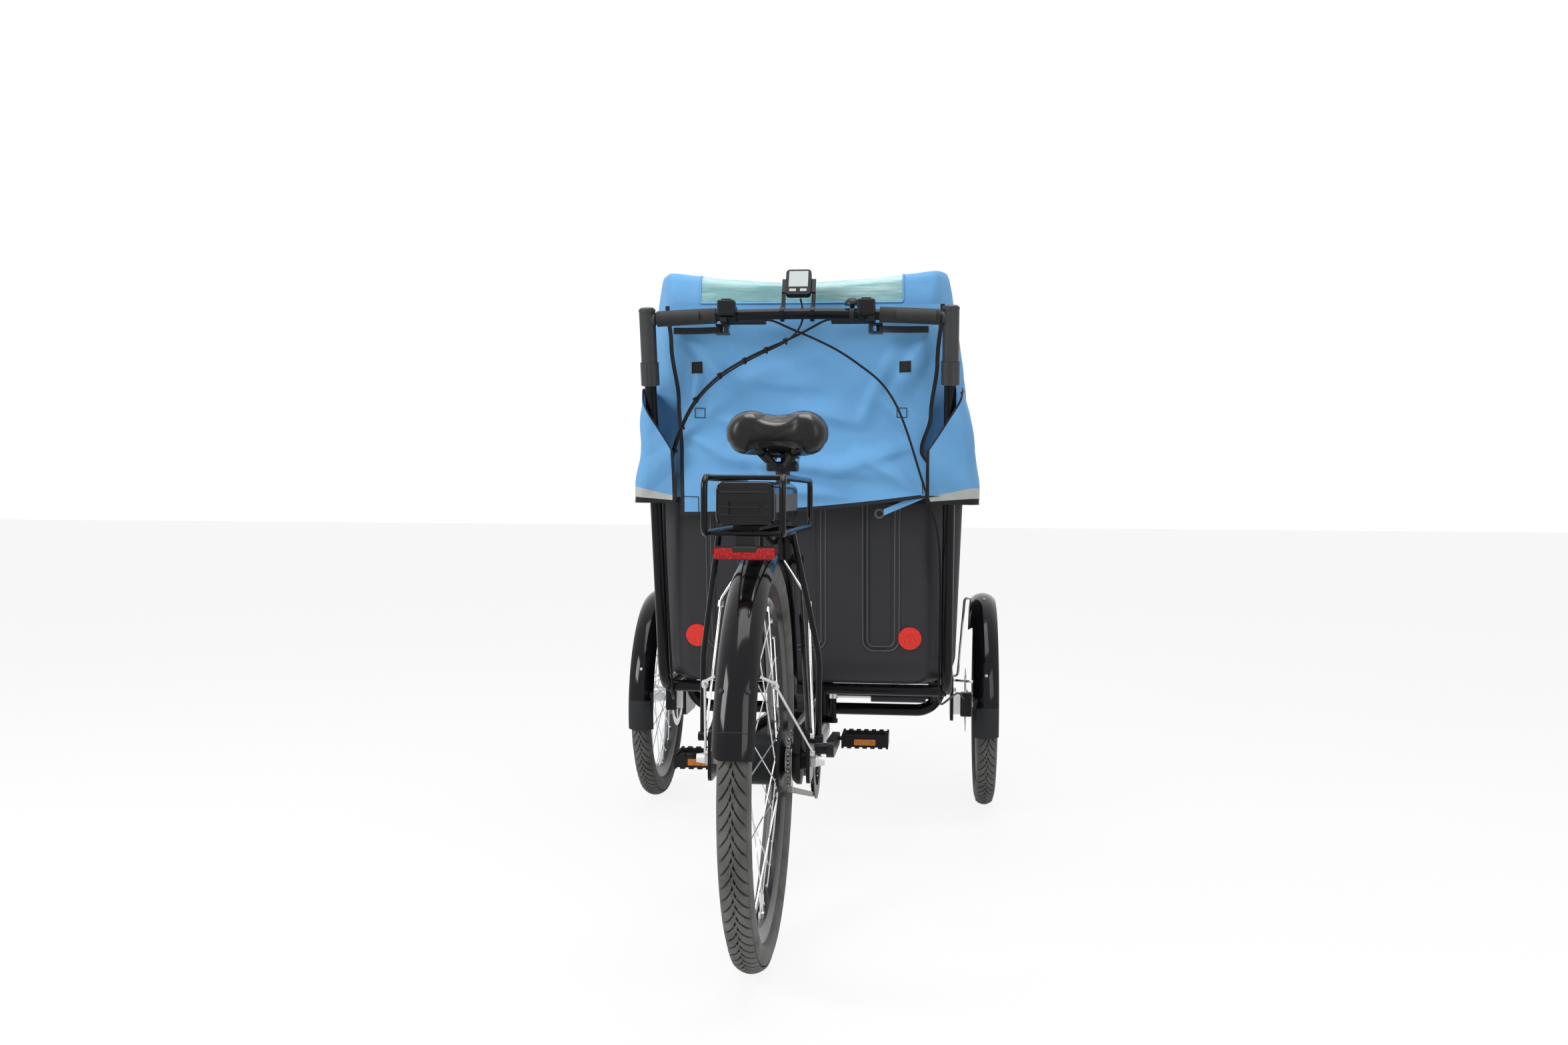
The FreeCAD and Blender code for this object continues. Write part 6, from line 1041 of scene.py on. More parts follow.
@dataclass
class Sheet(Builder):
    """Base of the cloth pieces: wrinkles and thickness."""

    thickness: float = 0.0014

    @staticmethod
    def crease(point: Vector, seed: float) -> float:
        """Wrinkle height from -1 to 1 at a point of the cloth.

        Args:
            point: Place on the cloth.
            seed: Shift that makes one cloth differ from another.

        Returns:
            The height.
        """
        shift = Vector((seed, seed * 0.7, -seed))
        slow = noise.noise(point * 5.0 + shift)
        folds = noise.noise(Vector((point.x * 9.0 + point.z * 6.0, point.y * 9.0, point.z * 13.0)) + shift)
        ridge = 1.0 - abs(noise.noise(Vector((point.x * 6.0, point.y * 5.0, point.z * 9.0)) - shift)) * 2.0
        small = noise.noise(point * 27.0 - shift)
        return 0.42 * slow + 0.32 * folds + 0.2 * ridge + 0.12 * small

    def wrinkle(self, piece: Piece, amount: Callable[[Vector], float], seed: float) -> None:
        """Move the points of a cloth along their normals.

        Args:
            piece: Cloth to wrinkle.
            amount: Largest move at a place.
            seed: Shift of the wrinkles.
        """
        piece.data.update()
        moved = []
        for vertex in piece.data.vertices:
            height = self.crease(vertex.co, seed) * amount(vertex.co)
            moved.append(vertex.co + vertex.normal * height)
        for vertex, point in zip(piece.data.vertices, moved):
            vertex.co = point

    def declare(self, piece: Piece, cut: Sequence[float], held: str, rests_on: Sequence[str],
                share: float = 1.0) -> None:
        """Give the cloth its thickness.

        Args:
            piece: Cloth without thickness.
            cut: Width and length of the blank that it was cut from, in millimetres.
            held: How it is held; not used.
            rests_on: What it lies on; not used.
            share: Share of the blank that is left after cutting.
        """
        Bench.modify(piece, "SOLIDIFY", thickness=self.thickness, offset=-1.0)
        Bench.smooth(piece, 60.0)
        width, length = (side * MM for side in cut)
        width * length * share

    @staticmethod
    def cover(piece: Piece, slot: str, node: str) -> None:
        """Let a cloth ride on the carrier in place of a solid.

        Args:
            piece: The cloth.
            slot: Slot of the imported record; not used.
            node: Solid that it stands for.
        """
        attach(piece, Body.CARRIER.value)
        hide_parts(node)
        LOG.info("piece %s stands for %s", piece.name, node)


@dataclass
class Canopy(Sheet):
    """Cloth hood over the box: one curved sheet with clear windows."""

    hem_z: float = 744.0
    brow_z: float = 799.0
    roof_z: float = 1236.0
    roof_sag: float = 26.0
    roof_half: float = 290.0
    brow_reach: float = 25.6
    roof_tuck: float = 9.0
    brow: tuple[float, ...] = (700.0, 268.0, 92.0, 345.0, 1330.0, 190.0, 1784.0)
    stations: tuple[tuple[float, ...], ...] = (
        (935.0, 702.0, 276.0, 88.0, 354.0, 1270.0, 190.0, 1672.0),
        (1030.0, 682.0, 282.0, 84.0, 341.0, 1200.0, 196.0, 1545.0),
        (1150.0, 660.0, 284.0, 70.0, 322.0, 1110.0, 204.0, 1372.0),
        (1222.0, 664.0, 284.0, 56.0, 310.0, 1050.0, 208.0, 1262.0),
    )
    radii: tuple[float, ...] = (40.0, 45.0, 240.0, 90.0)
    wall_round: float = 0.8
    roof_round: float = 0.75
    wall_rows: int = 7
    edge_rows: int = 3
    roof_rows: int = 12
    corner_steps: int = 6
    side_steps: tuple[int, ...] = (5, 16, 14, 12, 14, 16, 5, 26)
    border_radius: float = 0.0022
    hem_rows: tuple[float, ...] = (757.0, 772.0, 786.0)
    ridge_inset: float = 190.0
    brow_crease: float = 0.0025
    crease_height: float = 0.0095
    crease_seed: float = 3.1
    binding_width: float = 0.0135
    windows: tuple[tuple[tuple[float, ...], tuple[float, ...]], ...] = (
        ((-214, 600, 1166), (214, 742, 1240)), ((-150, 1290, 960), (150, 1800, 1150)),
        ((240, 840, 900), (460, 1140, 1120)), ((-460, 840, 900), (-240, 1140, 1120)))
    hood_cut: Place = (1590.0, 1830.0, 0.54)
    pane_cut: Place = (1328.0, 311.0, 0.7)

    def corners(self, z: float, plan: Sequence[float], outward: float) -> list[Vector]:
        """Eight corners of the plan at a height, moved outward by a distance.

        Args:
            z: Height.
            plan: Rear, rear half width, corner depth, half width, shoulder, nose half width and nose.
            outward: Distance to move every side.

        Returns:
            The corners, counter-clockwise from the right rear.
        """
        rear, rear_half, depth, half, shoulder, nose_half, nose = plan
        right = [(rear_half, rear), (half, rear + depth), (half, shoulder), (nose_half, nose)]
        points = [Vector((x, y, z)) for x, y in right] + [Vector((-x, y, z)) for x, y in right[::-1]]
        moved = []
        up = Vector((0.0, 0.0, 1.0))
        for index, corner in enumerate(points):
            first = (corner - points[index - 1]).normalized().cross(up)
            second = (points[(index + 1) % 8] - corner).normalized().cross(up)
            moved.append(corner + (first + second) * (outward / (1 + first.dot(second))))
        return moved

    def ring(self, corners: list[Vector], scale: float) -> list[Vector]:
        """Points of a plan with rounded corners, always the same number.

        Args:
            corners: Corners of the plan.
            scale: Factor on the corner radii.

        Returns:
            The points in order.
        """
        radii = [r * scale for r in self.radii + self.radii[::-1]]
        arcs = []
        for index, corner in enumerate(corners):
            back = (corners[index - 1] - corner).normalized()
            onward = (corners[(index + 1) % 8] - corner).normalized()
            half = (math.pi - back.angle(onward)) / 2
            trim = radii[index] * math.tan(half)
            centre = corner + (back + onward).normalized() * (radii[index] / math.cos(half))
            start = (corner + back * trim - centre).normalized()
            end = (corner + onward * trim - centre).normalized()
            arcs.append([centre + start.slerp(end, k / self.corner_steps) * radii[index]
                         for k in range(self.corner_steps + 1)])
        points = []
        for index, arc in enumerate(arcs):
            points.extend(arc)
            target = arcs[(index + 1) % 8][0]
            steps = self.side_steps[index]
            points.extend(arc[-1].lerp(target, k / steps) for k in range(1, steps))
        return points

    def roof(self, x: float) -> float:
        """Height of the sagging roof at an offset."""
        return self.roof_z - self.roof_sag * max(0.0, 1 - (x / self.roof_half) ** 2)

    def rings(self) -> list[list[Vector]]:
        """Rings of points from the hem to the ridge of the roof, in millimetres ahead of the axle."""
        keys = [self.ring(self.corners(self.brow_z, self.brow, self.brow_reach), 1.0)]
        for z, *plan in self.stations:
            keys.append(self.ring(self.corners(z, plan, 0.0), self.wall_round))
        top = self.stations[-1]
        keys.append(self.ring(self.corners(self.roof_z, top[1:], -self.roof_tuck), self.roof_round))
        rows = [[Vector((p.x, p.y, z)) for p in keys[0]] for z in (self.hem_z, *self.hem_rows)]
        for index in range(len(keys) - 1):
            before = keys[max(index - 1, 0)]
            after = keys[min(index + 2, len(keys) - 1)]
            steps = self.edge_rows if index == len(keys) - 2 else self.wall_rows
            for step in range(steps):
                share = step / steps
                rows.append([bow_between(a, b, c, d, share)
                             for a, b, c, d in zip(before, keys[index], keys[index + 1], after)])
        rows.append(keys[-1])
        for row in rows[1 + len(self.hem_rows):]:
            for point in row:
                lift = (self.roof(point.x) - self.brow_z) / (self.roof_z - self.brow_z)
                point.z = self.brow_z + (point.z - self.brow_z) * lift
        edge = keys[-1]
        low = min(p.y for p in edge) + self.ridge_inset
        high = max(p.y for p in edge) - self.ridge_inset
        for step in range(1, self.roof_rows + 1):
            share = step / self.roof_rows
            row = []
            for point in edge:
                ridge = Vector((0.0, min(max(point.y, low), high), 0.0))
                place = Vector((point.x, point.y, 0.0)).lerp(ridge, share)
                row.append(Vector((place.x, place.y, self.roof(place.x))))
            rows.append(row)
        return rows

    def sheet(self) -> Piece:
        """Whole hood as one sheet without thickness."""
        rows = self.rings()
        count = len(rows[0])
        points = [self.at(*point) for row in rows for point in row]
        faces = []
        for row in range(len(rows) - 1):
            for column in range(count):
                beside = (column + 1) % count
                faces.append((row * count + column, row * count + beside,
                              (row + 1) * count + beside, (row + 1) * count + column))
        mesh = bpy.data.meshes.new("canopy_hood")
        mesh.from_pydata(points, [], faces)
        hood = bpy.data.objects.new("canopy_hood", mesh)
        bpy.context.scene.collection.objects.link(hood)
        Bench.outward(hood, 0.0004)
        return hood

    def window_tests(self) -> list[tuple[Vector, Vector]]:
        """Opposite corners of the blocks that mark the clear windows."""
        return [(self.at(*low), self.at(*high)) for low, high in self.windows]

    def cut_windows(self, hood: Piece) -> Piece:
        """Cut the hood along the edges of the windows and take the windows out.

        Args:
            hood: Hood without thickness.

        Returns:
            The windows as one piece.
        """
        Bench.pick(hood)
        bpy.ops.object.mode_set(mode="EDIT")
        for low, high in self.window_tests():
            for axis in range(3):
                normal = Vector((0.0, 0.0, 0.0))
                normal[axis] = 1.0
                for corner in (low, high):
                    bpy.ops.mesh.select_all(action="SELECT")
                    bpy.ops.mesh.bisect(plane_co=corner, plane_no=normal)
        bpy.ops.mesh.select_all(action="DESELECT")
        bpy.ops.object.mode_set(mode="OBJECT")
        for face in hood.data.polygons:
            face.select = any(all(low[k] < face.center[k] < high[k] for k in range(3))
                              for low, high in self.window_tests())
        bpy.ops.object.mode_set(mode="EDIT")
        bpy.ops.mesh.select_mode(type="FACE")
        bpy.ops.mesh.separate(type="SELECTED")
        bpy.ops.object.mode_set(mode="OBJECT")
        panes = [piece for piece in bpy.context.selected_objects if piece is not hood]
        return Bench.joined("canopy_panes", panes)

    def borders(self, panes: Piece) -> None:
        """Sewn border round every window.

        Args:
            panes: The windows, still without thickness.
        """
        uses: dict[tuple[int, int], int] = {}
        for face in panes.data.polygons:
            for key in face.edge_keys:
                uses[key] = uses.get(key, 0) + 1
        beside: dict[int, list[int]] = {}
        for first, second in (key for key, count in uses.items() if count == 1):
            beside.setdefault(first, []).append(second)
            beside.setdefault(second, []).append(first)
        loops = []
        while beside:
            start = min(beside)
            loop = [start]
            while beside.get(loop[-1]):
                follower = beside[loop[-1]].pop()
                beside[follower].remove(loop[-1])
                loop.append(follower)
            for index in set(loop):
                beside.pop(index, None)
            loops.append([panes.data.vertices[index].co.copy() for index in loop])
        bands = [Bench.tube("border", loop, self.border_radius) for loop in loops if len(loop) > 3]
        self.dress(Bench.joined("window_borders", bands), "canopy_cloth", Body.CARRIER, "canopy_cloth")

    def build(self) -> None:
        """Build the hood and its windows in place of their solids."""
        hood = self.sheet()
        hem = self.hem_z * MM
        brow = self.brow_z * MM

        def looseness(point: Vector) -> float:
            """Largest wrinkle at a place."""
            if point.z < brow:
                return self.brow_crease * min(1.0, (point.z - hem) / 0.02)
            return self.crease_height

        self.wrinkle(hood, looseness, self.crease_seed)
        panes = self.cut_windows(hood)
        self.borders(panes)
        self.paint(hood, "canopy_cloth", "binding")
        for face in hood.data.polygons:
            face.material_index = 1 if face.center.z < hem + self.binding_width else 0
        for piece, slot, node, cut in ((hood, "canopy_cloth", "canopy", self.hood_cut),
                                       (panes, "clear_sheet", "canopy_windows", self.pane_cut)):
            self.declare(piece, cut[:2], "stretched", ["box_rim", "canopy_bows"], cut[2])
            self.cover(piece, slot, node)
        self.paint(panes, "clear_sheet")


def bow_between(before: Vector, start: Vector, end: Vector, after: Vector, share: float) -> Vector:
    """Point of a smooth line through four points, between the two in the middle.

    Args:
        before: Point before the stretch.
        start: First point of the stretch.
        end: Last point of the stretch.
        after: Point after the stretch.
        share: Share of the way from start to end.

    Returns:
        The point.
    """
    first = (end - before) * 0.5
    last = (after - start) * 0.5
    square = share * share
    cube = square * share
    return (start * (2 * cube - 3 * square + 1) + first * (cube - 2 * square + share)
            + end * (3 * square - 2 * cube) + last * (cube - square))


@dataclass(frozen=True)
class Fold:
    """Straight fold of a cloth between two points given by offset and height."""

    start: Pair
    end: Pair
    height: float
    width: float

    def at(self, x: float, z: float) -> float:
        """Height of the fold at a place on the cloth.

        Args:
            x: Offset.
            z: Height above the ground.

        Returns:
            How far the cloth stands out.
        """
        run_x = self.end[0] - self.start[0]
        run_z = self.end[1] - self.start[1]
        length = math.hypot(run_x, run_z)
        share = ((x - self.start[0]) * run_x + (z - self.start[1]) * run_z) / length ** 2
        if not 0.0 < share < 1.0:
            return 0.0
        away = ((x - self.start[0]) * run_z - (z - self.start[1]) * run_x) / length
        side = self.width if away < 0 else self.width * 0.55
        return self.height * math.exp(-(away / side) ** 2) * math.sin(math.pi * share) ** 1.3


@dataclass
class RearFlap(Sheet):
    """Loose rear flap of the hood, bound in black, hanging over the edge of the box."""

    columns: int = 130
    rows: int = 104
    top_z: float = 1160.0
    fold_gain: float = 1.9
    fold_limit: float = 30.0
    crease_height: float = 7.0
    crease_seed: float = 8.4
    thread_radius: float = 0.0008
    hem_left: float = 717.0
    hem_rise: float = 46.0
    hem_sag: float = 6.0
    hem_wave: float = 3.0
    edge_share: float = 0.35
    belly: float = 4.0
    cut: Pair = (600.0, 460.0)
    cut_share: float = 0.89
    tape_cut: Pair = (25.0, 26.0)
    tape_place: Pair = (219.0, 1030.0)
    tape_side: float = 24.0
    thread_runs: tuple[Pairs, ...] = (
        ((-223, 945), (-203, 945), (-203, 925), (-223, 925), (-223, 945)),
        ((203, 945), (223, 945), (223, 925), (203, 925), (203, 945)),
        ((-248, 758), (-214, 757), (-213, 722)), ((256, 790), (258, 764)))
    left_edge: Pairs = ((1160, -287), (1080, -279), (960, -263), (850, -255), (717, -252))
    right_edge: Pairs = ((1160, 300), (1040, 290), (930, 277), (856, 258), (800, 290), (762, 301))
    wall: Pairs = ((1160, 646), (1030, 652), (935, 656), (850, 652), (795, 648), (740, 645), (700, 644))
    folds: tuple[Fold, ...] = (
        Fold((-270, 1115), (-120, 965), 18, 21), Fold((285, 1125), (190, 960), 21, 23),
        Fold((-150, 1015), (60, 985), 13, 27), Fold((-245, 850), (235, 800), 16, 25),
        Fold((-235, 790), (130, 757), 13, 21), Fold((40, 800), (255, 872), 14, 21),
        Fold((-205, 940), (-40, 868), 13, 21), Fold((150, 985), (262, 860), 18, 17),
        Fold((-262, 905), (-110, 815), 14, 19), Fold((-30, 950), (160, 905), 11, 25),
        Fold((200, 1080), (120, 900), 11, 19), Fold((-215, 1060), (-235, 900), 13, 15),
        Fold((100, 860), (250, 770), 13, 19), Fold((-120, 880), (-60, 760), 10, 17))

    @staticmethod
    def along(table: Sequence[Pair], z: float) -> float:
        """Value of a line given by heights and values, at a height.

        Args:
            table: Heights, from high to low, with their values.
            z: Height to read at.

        Returns:
            The value there.
        """
        for (high, first), (low, second) in zip(table, table[1:]):
            if z >= low:
                share = min(1.0, max(0.0, (high - z) / (high - low)))
                return first + (second - first) * share * share * (3 - 2 * share)
        return table[-1][1]

    def bottom(self, across: float) -> float:
        """Height of the lower hem at a share of the way across."""
        return self.hem_left + self.hem_rise * across ** 1.3 - self.hem_sag * math.sin(math.pi * across)

    def point(self, across: float, down: float) -> Vector:
        """Place on the flap.

        Args:
            across: Share of the way from the left edge to the right one.
            down: Share of the way from the top to the lower hem.

        Returns:
            The place.
        """
        z = self.top_z + (self.bottom(across) - self.top_z) * down
        left = self.along(self.left_edge, z)
        right = self.along(self.right_edge, z)
        x = left + (right - left) * across
        loose = min(1.0, down * 6.0)
        slack = math.sin(math.pi * across)
        stand = self.fold_gain * sum(fold.at(x, z) for fold in self.folds)
        stand += self.crease_height * self.crease(Vector((x, 0.0, z)) * MM, self.crease_seed)
        stand = self.fold_limit * math.tanh(stand / self.fold_limit)
        hem = self.hem_wave * math.sin(across * 17.0) * max(0.0, down - 0.8) * 5.0
        out = (stand + hem) * loose * (self.edge_share + (1 - self.edge_share) * slack)
        return self.at(x, self.along(self.wall, z) - out + self.belly * slack, z)

    def on(self, x: float, z: float, lift: float) -> Vector:
        """Place just behind the flap at an offset and a height.

        Args:
            x: Offset.
            z: Height.
            lift: Distance behind the flap.

        Returns:
            The place.
        """
        left = self.along(self.left_edge, z)
        right = self.along(self.right_edge, z)
        across = (x - left) / (right - left)
        down = (self.top_z - z) / (self.top_z - self.bottom(across))
        return self.point(across, down) - Vector((0.0, lift * MM, 0.0))

    def tape(self, side: int) -> None:
        """Square of hook tape sewn on one half of the flap."""
        x = side * self.tape_place[0]
        z = self.tape_place[1]
        size = self.tape_side
        tape = Bench.grid("flap_tape_" + side_name(side), 8, 8,
                          lambda a, b: self.on(x + size * (a - 0.5), z + size * (b - 0.5), 1.2))
        self.declare(tape, self.tape_cut, "laid", ["canopy_rear_flap"])
        self.dress(tape, "hook_tape", Body.CARRIER, "canopy_cloth")

    def stitches(self) -> None:
        """Lines of dark thread: two squares, a corner and a short seam."""
        threads = []
        for run in self.thread_runs:
            points = []
            for (x0, z0), (x1, z1) in zip(run, run[1:]):
                points.extend(self.on(x0 + (x1 - x0) * k / 6, z0 + (z1 - z0) * k / 6, 0.5) for k in range(7))
            threads.append(Bench.tube("thread", points, self.thread_radius))
        self.dress(Bench.joined("flap_stitches", threads), "binding", Body.CARRIER, "canopy_cloth")

    def build(self) -> None:
        """Build the flap with its bound edges, tapes and stitches."""
        flap = Bench.grid("canopy_rear_flap", self.columns, self.rows, lambda a, b: self.point(a, 1 - b))
        self.paint(flap, "canopy_cloth", "binding")
        for index, face in enumerate(flap.data.polygons):
            column = index % self.columns
            row = index // self.columns
            face.material_index = 1 if column < 2 or column > self.columns - 3 or row < 2 else 0
        self.declare(flap, self.cut, "hung", ["canopy_hood"], self.cut_share)
        self.cover(flap, "canopy_cloth", "canopy")
        for side in (-1, 1):
            self.tape(side)
        self.stitches()


@dataclass
class SideFlap(Sheet):
    """Corner flap that wraps round a handlebar post from outside, joined to the side of the hood."""

    side: int = 1
    columns: int = 70
    rows: int = 56
    levels: Places = ((744.0, 62.0, 120.0), (850.0, 52.0, 118.0), (984.0, 24.0, 132.0))
    bend: float = 26.0
    behind: float = 26.0
    inward: float = 48.0
    inner_z: float = 850.0
    hem_z: float = 744.0
    slant_start: float = 0.62
    crease_height: float = 6.5
    wave_height: float = 3.2
    cut_share: float = 0.86
    tape_cut: Pair = (36.0, 49.0)
    tape_place: Pair = (-15.0, 752.0)
    tape_size: Pair = (36.0, 48.0)

    def cut(self) -> Pair:
        """Blank of the flap: once round the post at the hem, and its full height."""
        low, out, ahead = self.levels[0]
        return ahead + self.bend * math.pi / 2 + out + self.inward - self.bend, self.levels[-1][0] - low

    def reach(self, z: float) -> Pair:
        """Reach outside and ahead of the post at a height."""
        for (low, out, ahead), (high, next_out, next_ahead) in zip(self.levels, self.levels[1:]):
            if z <= high:
                share = (z - low) / (high - low)
                return out + (next_out - out) * share, ahead + (next_ahead - ahead) * share
        return self.levels[-1][1:]

    def point(self, along: float, up: float) -> Vector:
        """Place on the flap.

        Args:
            along: Share of the way from the front edge round the post to the inner edge.
            up: Share of the way from the hem to the slanting top edge.

        Returns:
            The place.
        """
        fall = max(0.0, along - self.slant_start) / (1 - self.slant_start)
        top = self.levels[-1][0] - (self.levels[-1][0] - self.inner_z) * fall
        z = self.hem_z + (top - self.hem_z) * up
        post = self.post_line(z)
        out, forward = self.reach(z)
        run_side = forward + self.behind - self.bend
        run_arc = self.bend * math.pi / 2
        run_back = out + self.inward - self.bend
        travel = along * (run_side + run_arc + run_back)
        if travel < run_side:
            x, ahead = out, forward - travel
        elif travel < run_side + run_arc:
            turn = (travel - run_side) / self.bend
            x = out - self.bend * (1 - math.cos(turn))
            ahead = -self.behind + self.bend * (1 - math.sin(turn))
        else:
            x = out - self.bend - (travel - run_side - run_arc)
            ahead = -self.behind
        stand = self.stand(x, ahead, z)
        if travel > run_side + run_arc / 2:
            ahead -= stand
        else:
            x += stand
        return self.at(self.side * (POST_X + x), post + ahead, z)

    def stand(self, x: float, ahead: float, z: float) -> float:
        """How far the creases stand out at a place beside the post, in millimetres."""
        crease = self.crease_height * self.crease(Vector((x * self.side, ahead, z)) * MM, 2.0 + self.side)
        return max(0.0, crease + self.wave_height * math.sin(0.05 * (x - ahead) + 0.055 * z))

    def on(self, x: float, z: float, lift: float) -> Vector:
        """Place just behind the rear face of the flap.

        Args:
            x: Offset outside the post.
            z: Height.
            lift: Distance behind the flap.

        Returns:
            The place.
        """
        post = self.post_line(z)
        back = -self.behind - self.stand(x, -self.behind, z) - lift
        return self.at(self.side * (POST_X + x), post + back, z)

    def tape(self) -> None:
        """Block of hook tape on the rear face of the flap."""
        name = side_name(self.side) + "_corner_tape"
        x, z = self.tape_place
        width, height = self.tape_size
        block = Bench.grid(name, 10, 14, lambda a, b: self.on(x - width * a, z + height * b, 1.3))
        self.declare(block, self.tape_cut, "laid", [side_name(self.side) + "_corner_flap"])
        self.dress(block, "hook_tape", Body.CARRIER, "canopy_cloth")

    def build(self) -> None:
        """Build the flap with its bound edges and its pale strip along the hem."""
        name = side_name(self.side) + "_corner_flap"
        flap = Bench.grid(name, self.columns, self.rows, self.point)
        if self.side < 0:
            bpy.ops.object.mode_set(mode="EDIT")
            bpy.ops.mesh.select_all(action="SELECT")
            bpy.ops.mesh.flip_normals()
            bpy.ops.object.mode_set(mode="OBJECT")
        self.paint(flap, "canopy_cloth", "binding", "reflective_tape")
        for index, face in enumerate(flap.data.polygons):
            column = index % self.columns
            row = index // self.columns
            if row > self.rows - 3 or column > self.columns - 3 or row < 3:
                face.material_index = 1
            elif row < 8 and column > self.columns * 0.35:
                face.material_index = 2
        self.declare(flap, self.cut(), "draped", ["box_rim", "canopy_hood"], self.cut_share)
        self.cover(flap, "canopy_cloth", "canopy_flaps")
        if self.side < 0:
            self.tape()


# Saddle


@dataclass
class Saddle(Builder):
    """Padded saddle, swollen by a cloth simulation from a copy of its solid."""

    node: Piece | None = None
    voxel: float = 0.005
    pressure: float = 4.0
    cap: float = 0.006
    frames: int = 20
    base_z: float = 0.834
    held_height: float = 0.008
    seam_height: float = 0.019
    seam_width: float = 0.0022
    seam_depth: float = 0.0016

    def start_form(self) -> Piece:
        """Closed even mesh in the shape of the solid."""
        piece = self.node.copy()
        piece.data = self.node.data.copy()
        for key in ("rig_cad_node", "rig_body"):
            if key in piece:
                del piece[key]
        piece.parent = None
        bpy.context.scene.collection.objects.link(piece)
        piece = Bench.named(piece, "saddle_cover")
        Bench.modify(piece, "WELD", merge_threshold=0.00002)
        Bench.modify(piece, "REMESH", mode="VOXEL", voxel_size=self.voxel)
        Bench.modify(piece, "SMOOTH", factor=0.5, iterations=6)
        return piece

    def swell(self, piece: Piece) -> None:
        """Blow the cover up a little, holding its base, and cap how far it moves.

        Args:
            piece: Cover to swell.
        """
        before = [vertex.co.copy() for vertex in piece.data.vertices]
        group = piece.vertex_groups.new(name="base")
        limit = self.base_z + self.held_height
        group.add([v.index for v in piece.data.vertices if v.co.z < limit], 1.0, "REPLACE")
        Bench.pick(piece)
        cloth = piece.modifiers.new("cloth", "CLOTH")
        cloth.settings.use_pressure = True
        cloth.settings.uniform_pressure_force = self.pressure
        cloth.settings.effector_weights.gravity = 0.0
        cloth.settings.vertex_group_mass = "base"
        cloth.point_cache.frame_end = self.frames
        scene = bpy.context.scene
        for frame in range(1, self.frames + 1):
            scene.frame_set(frame)
        bpy.ops.object.modifier_apply(modifier=cloth.name)
        scene.frame_set(1)
        for vertex, old in zip(piece.data.vertices, before):
            move = vertex.co - old
            if move.length > self.cap:
                vertex.co = old + move.normalized() * self.cap

    def build(self) -> None:
        """Build the cover with its seam."""
        cover = self.start_form()
        self.swell(cover)
        seam_z = self.base_z + self.seam_height
        for vertex in cover.data.vertices:
            near = math.exp(-((vertex.co.z - seam_z) / self.seam_width) ** 2)
            vertex.co -= vertex.normal * (self.seam_depth * near)
        Bench.modify(cover, "SUBSURF", levels=1, render_levels=1)
        Bench.smooth(cover, 80.0)
        self.dress(cover, "saddle_vinyl", Body.SEAT, "saddle_vinyl")
        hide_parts("saddle")


# Hoses


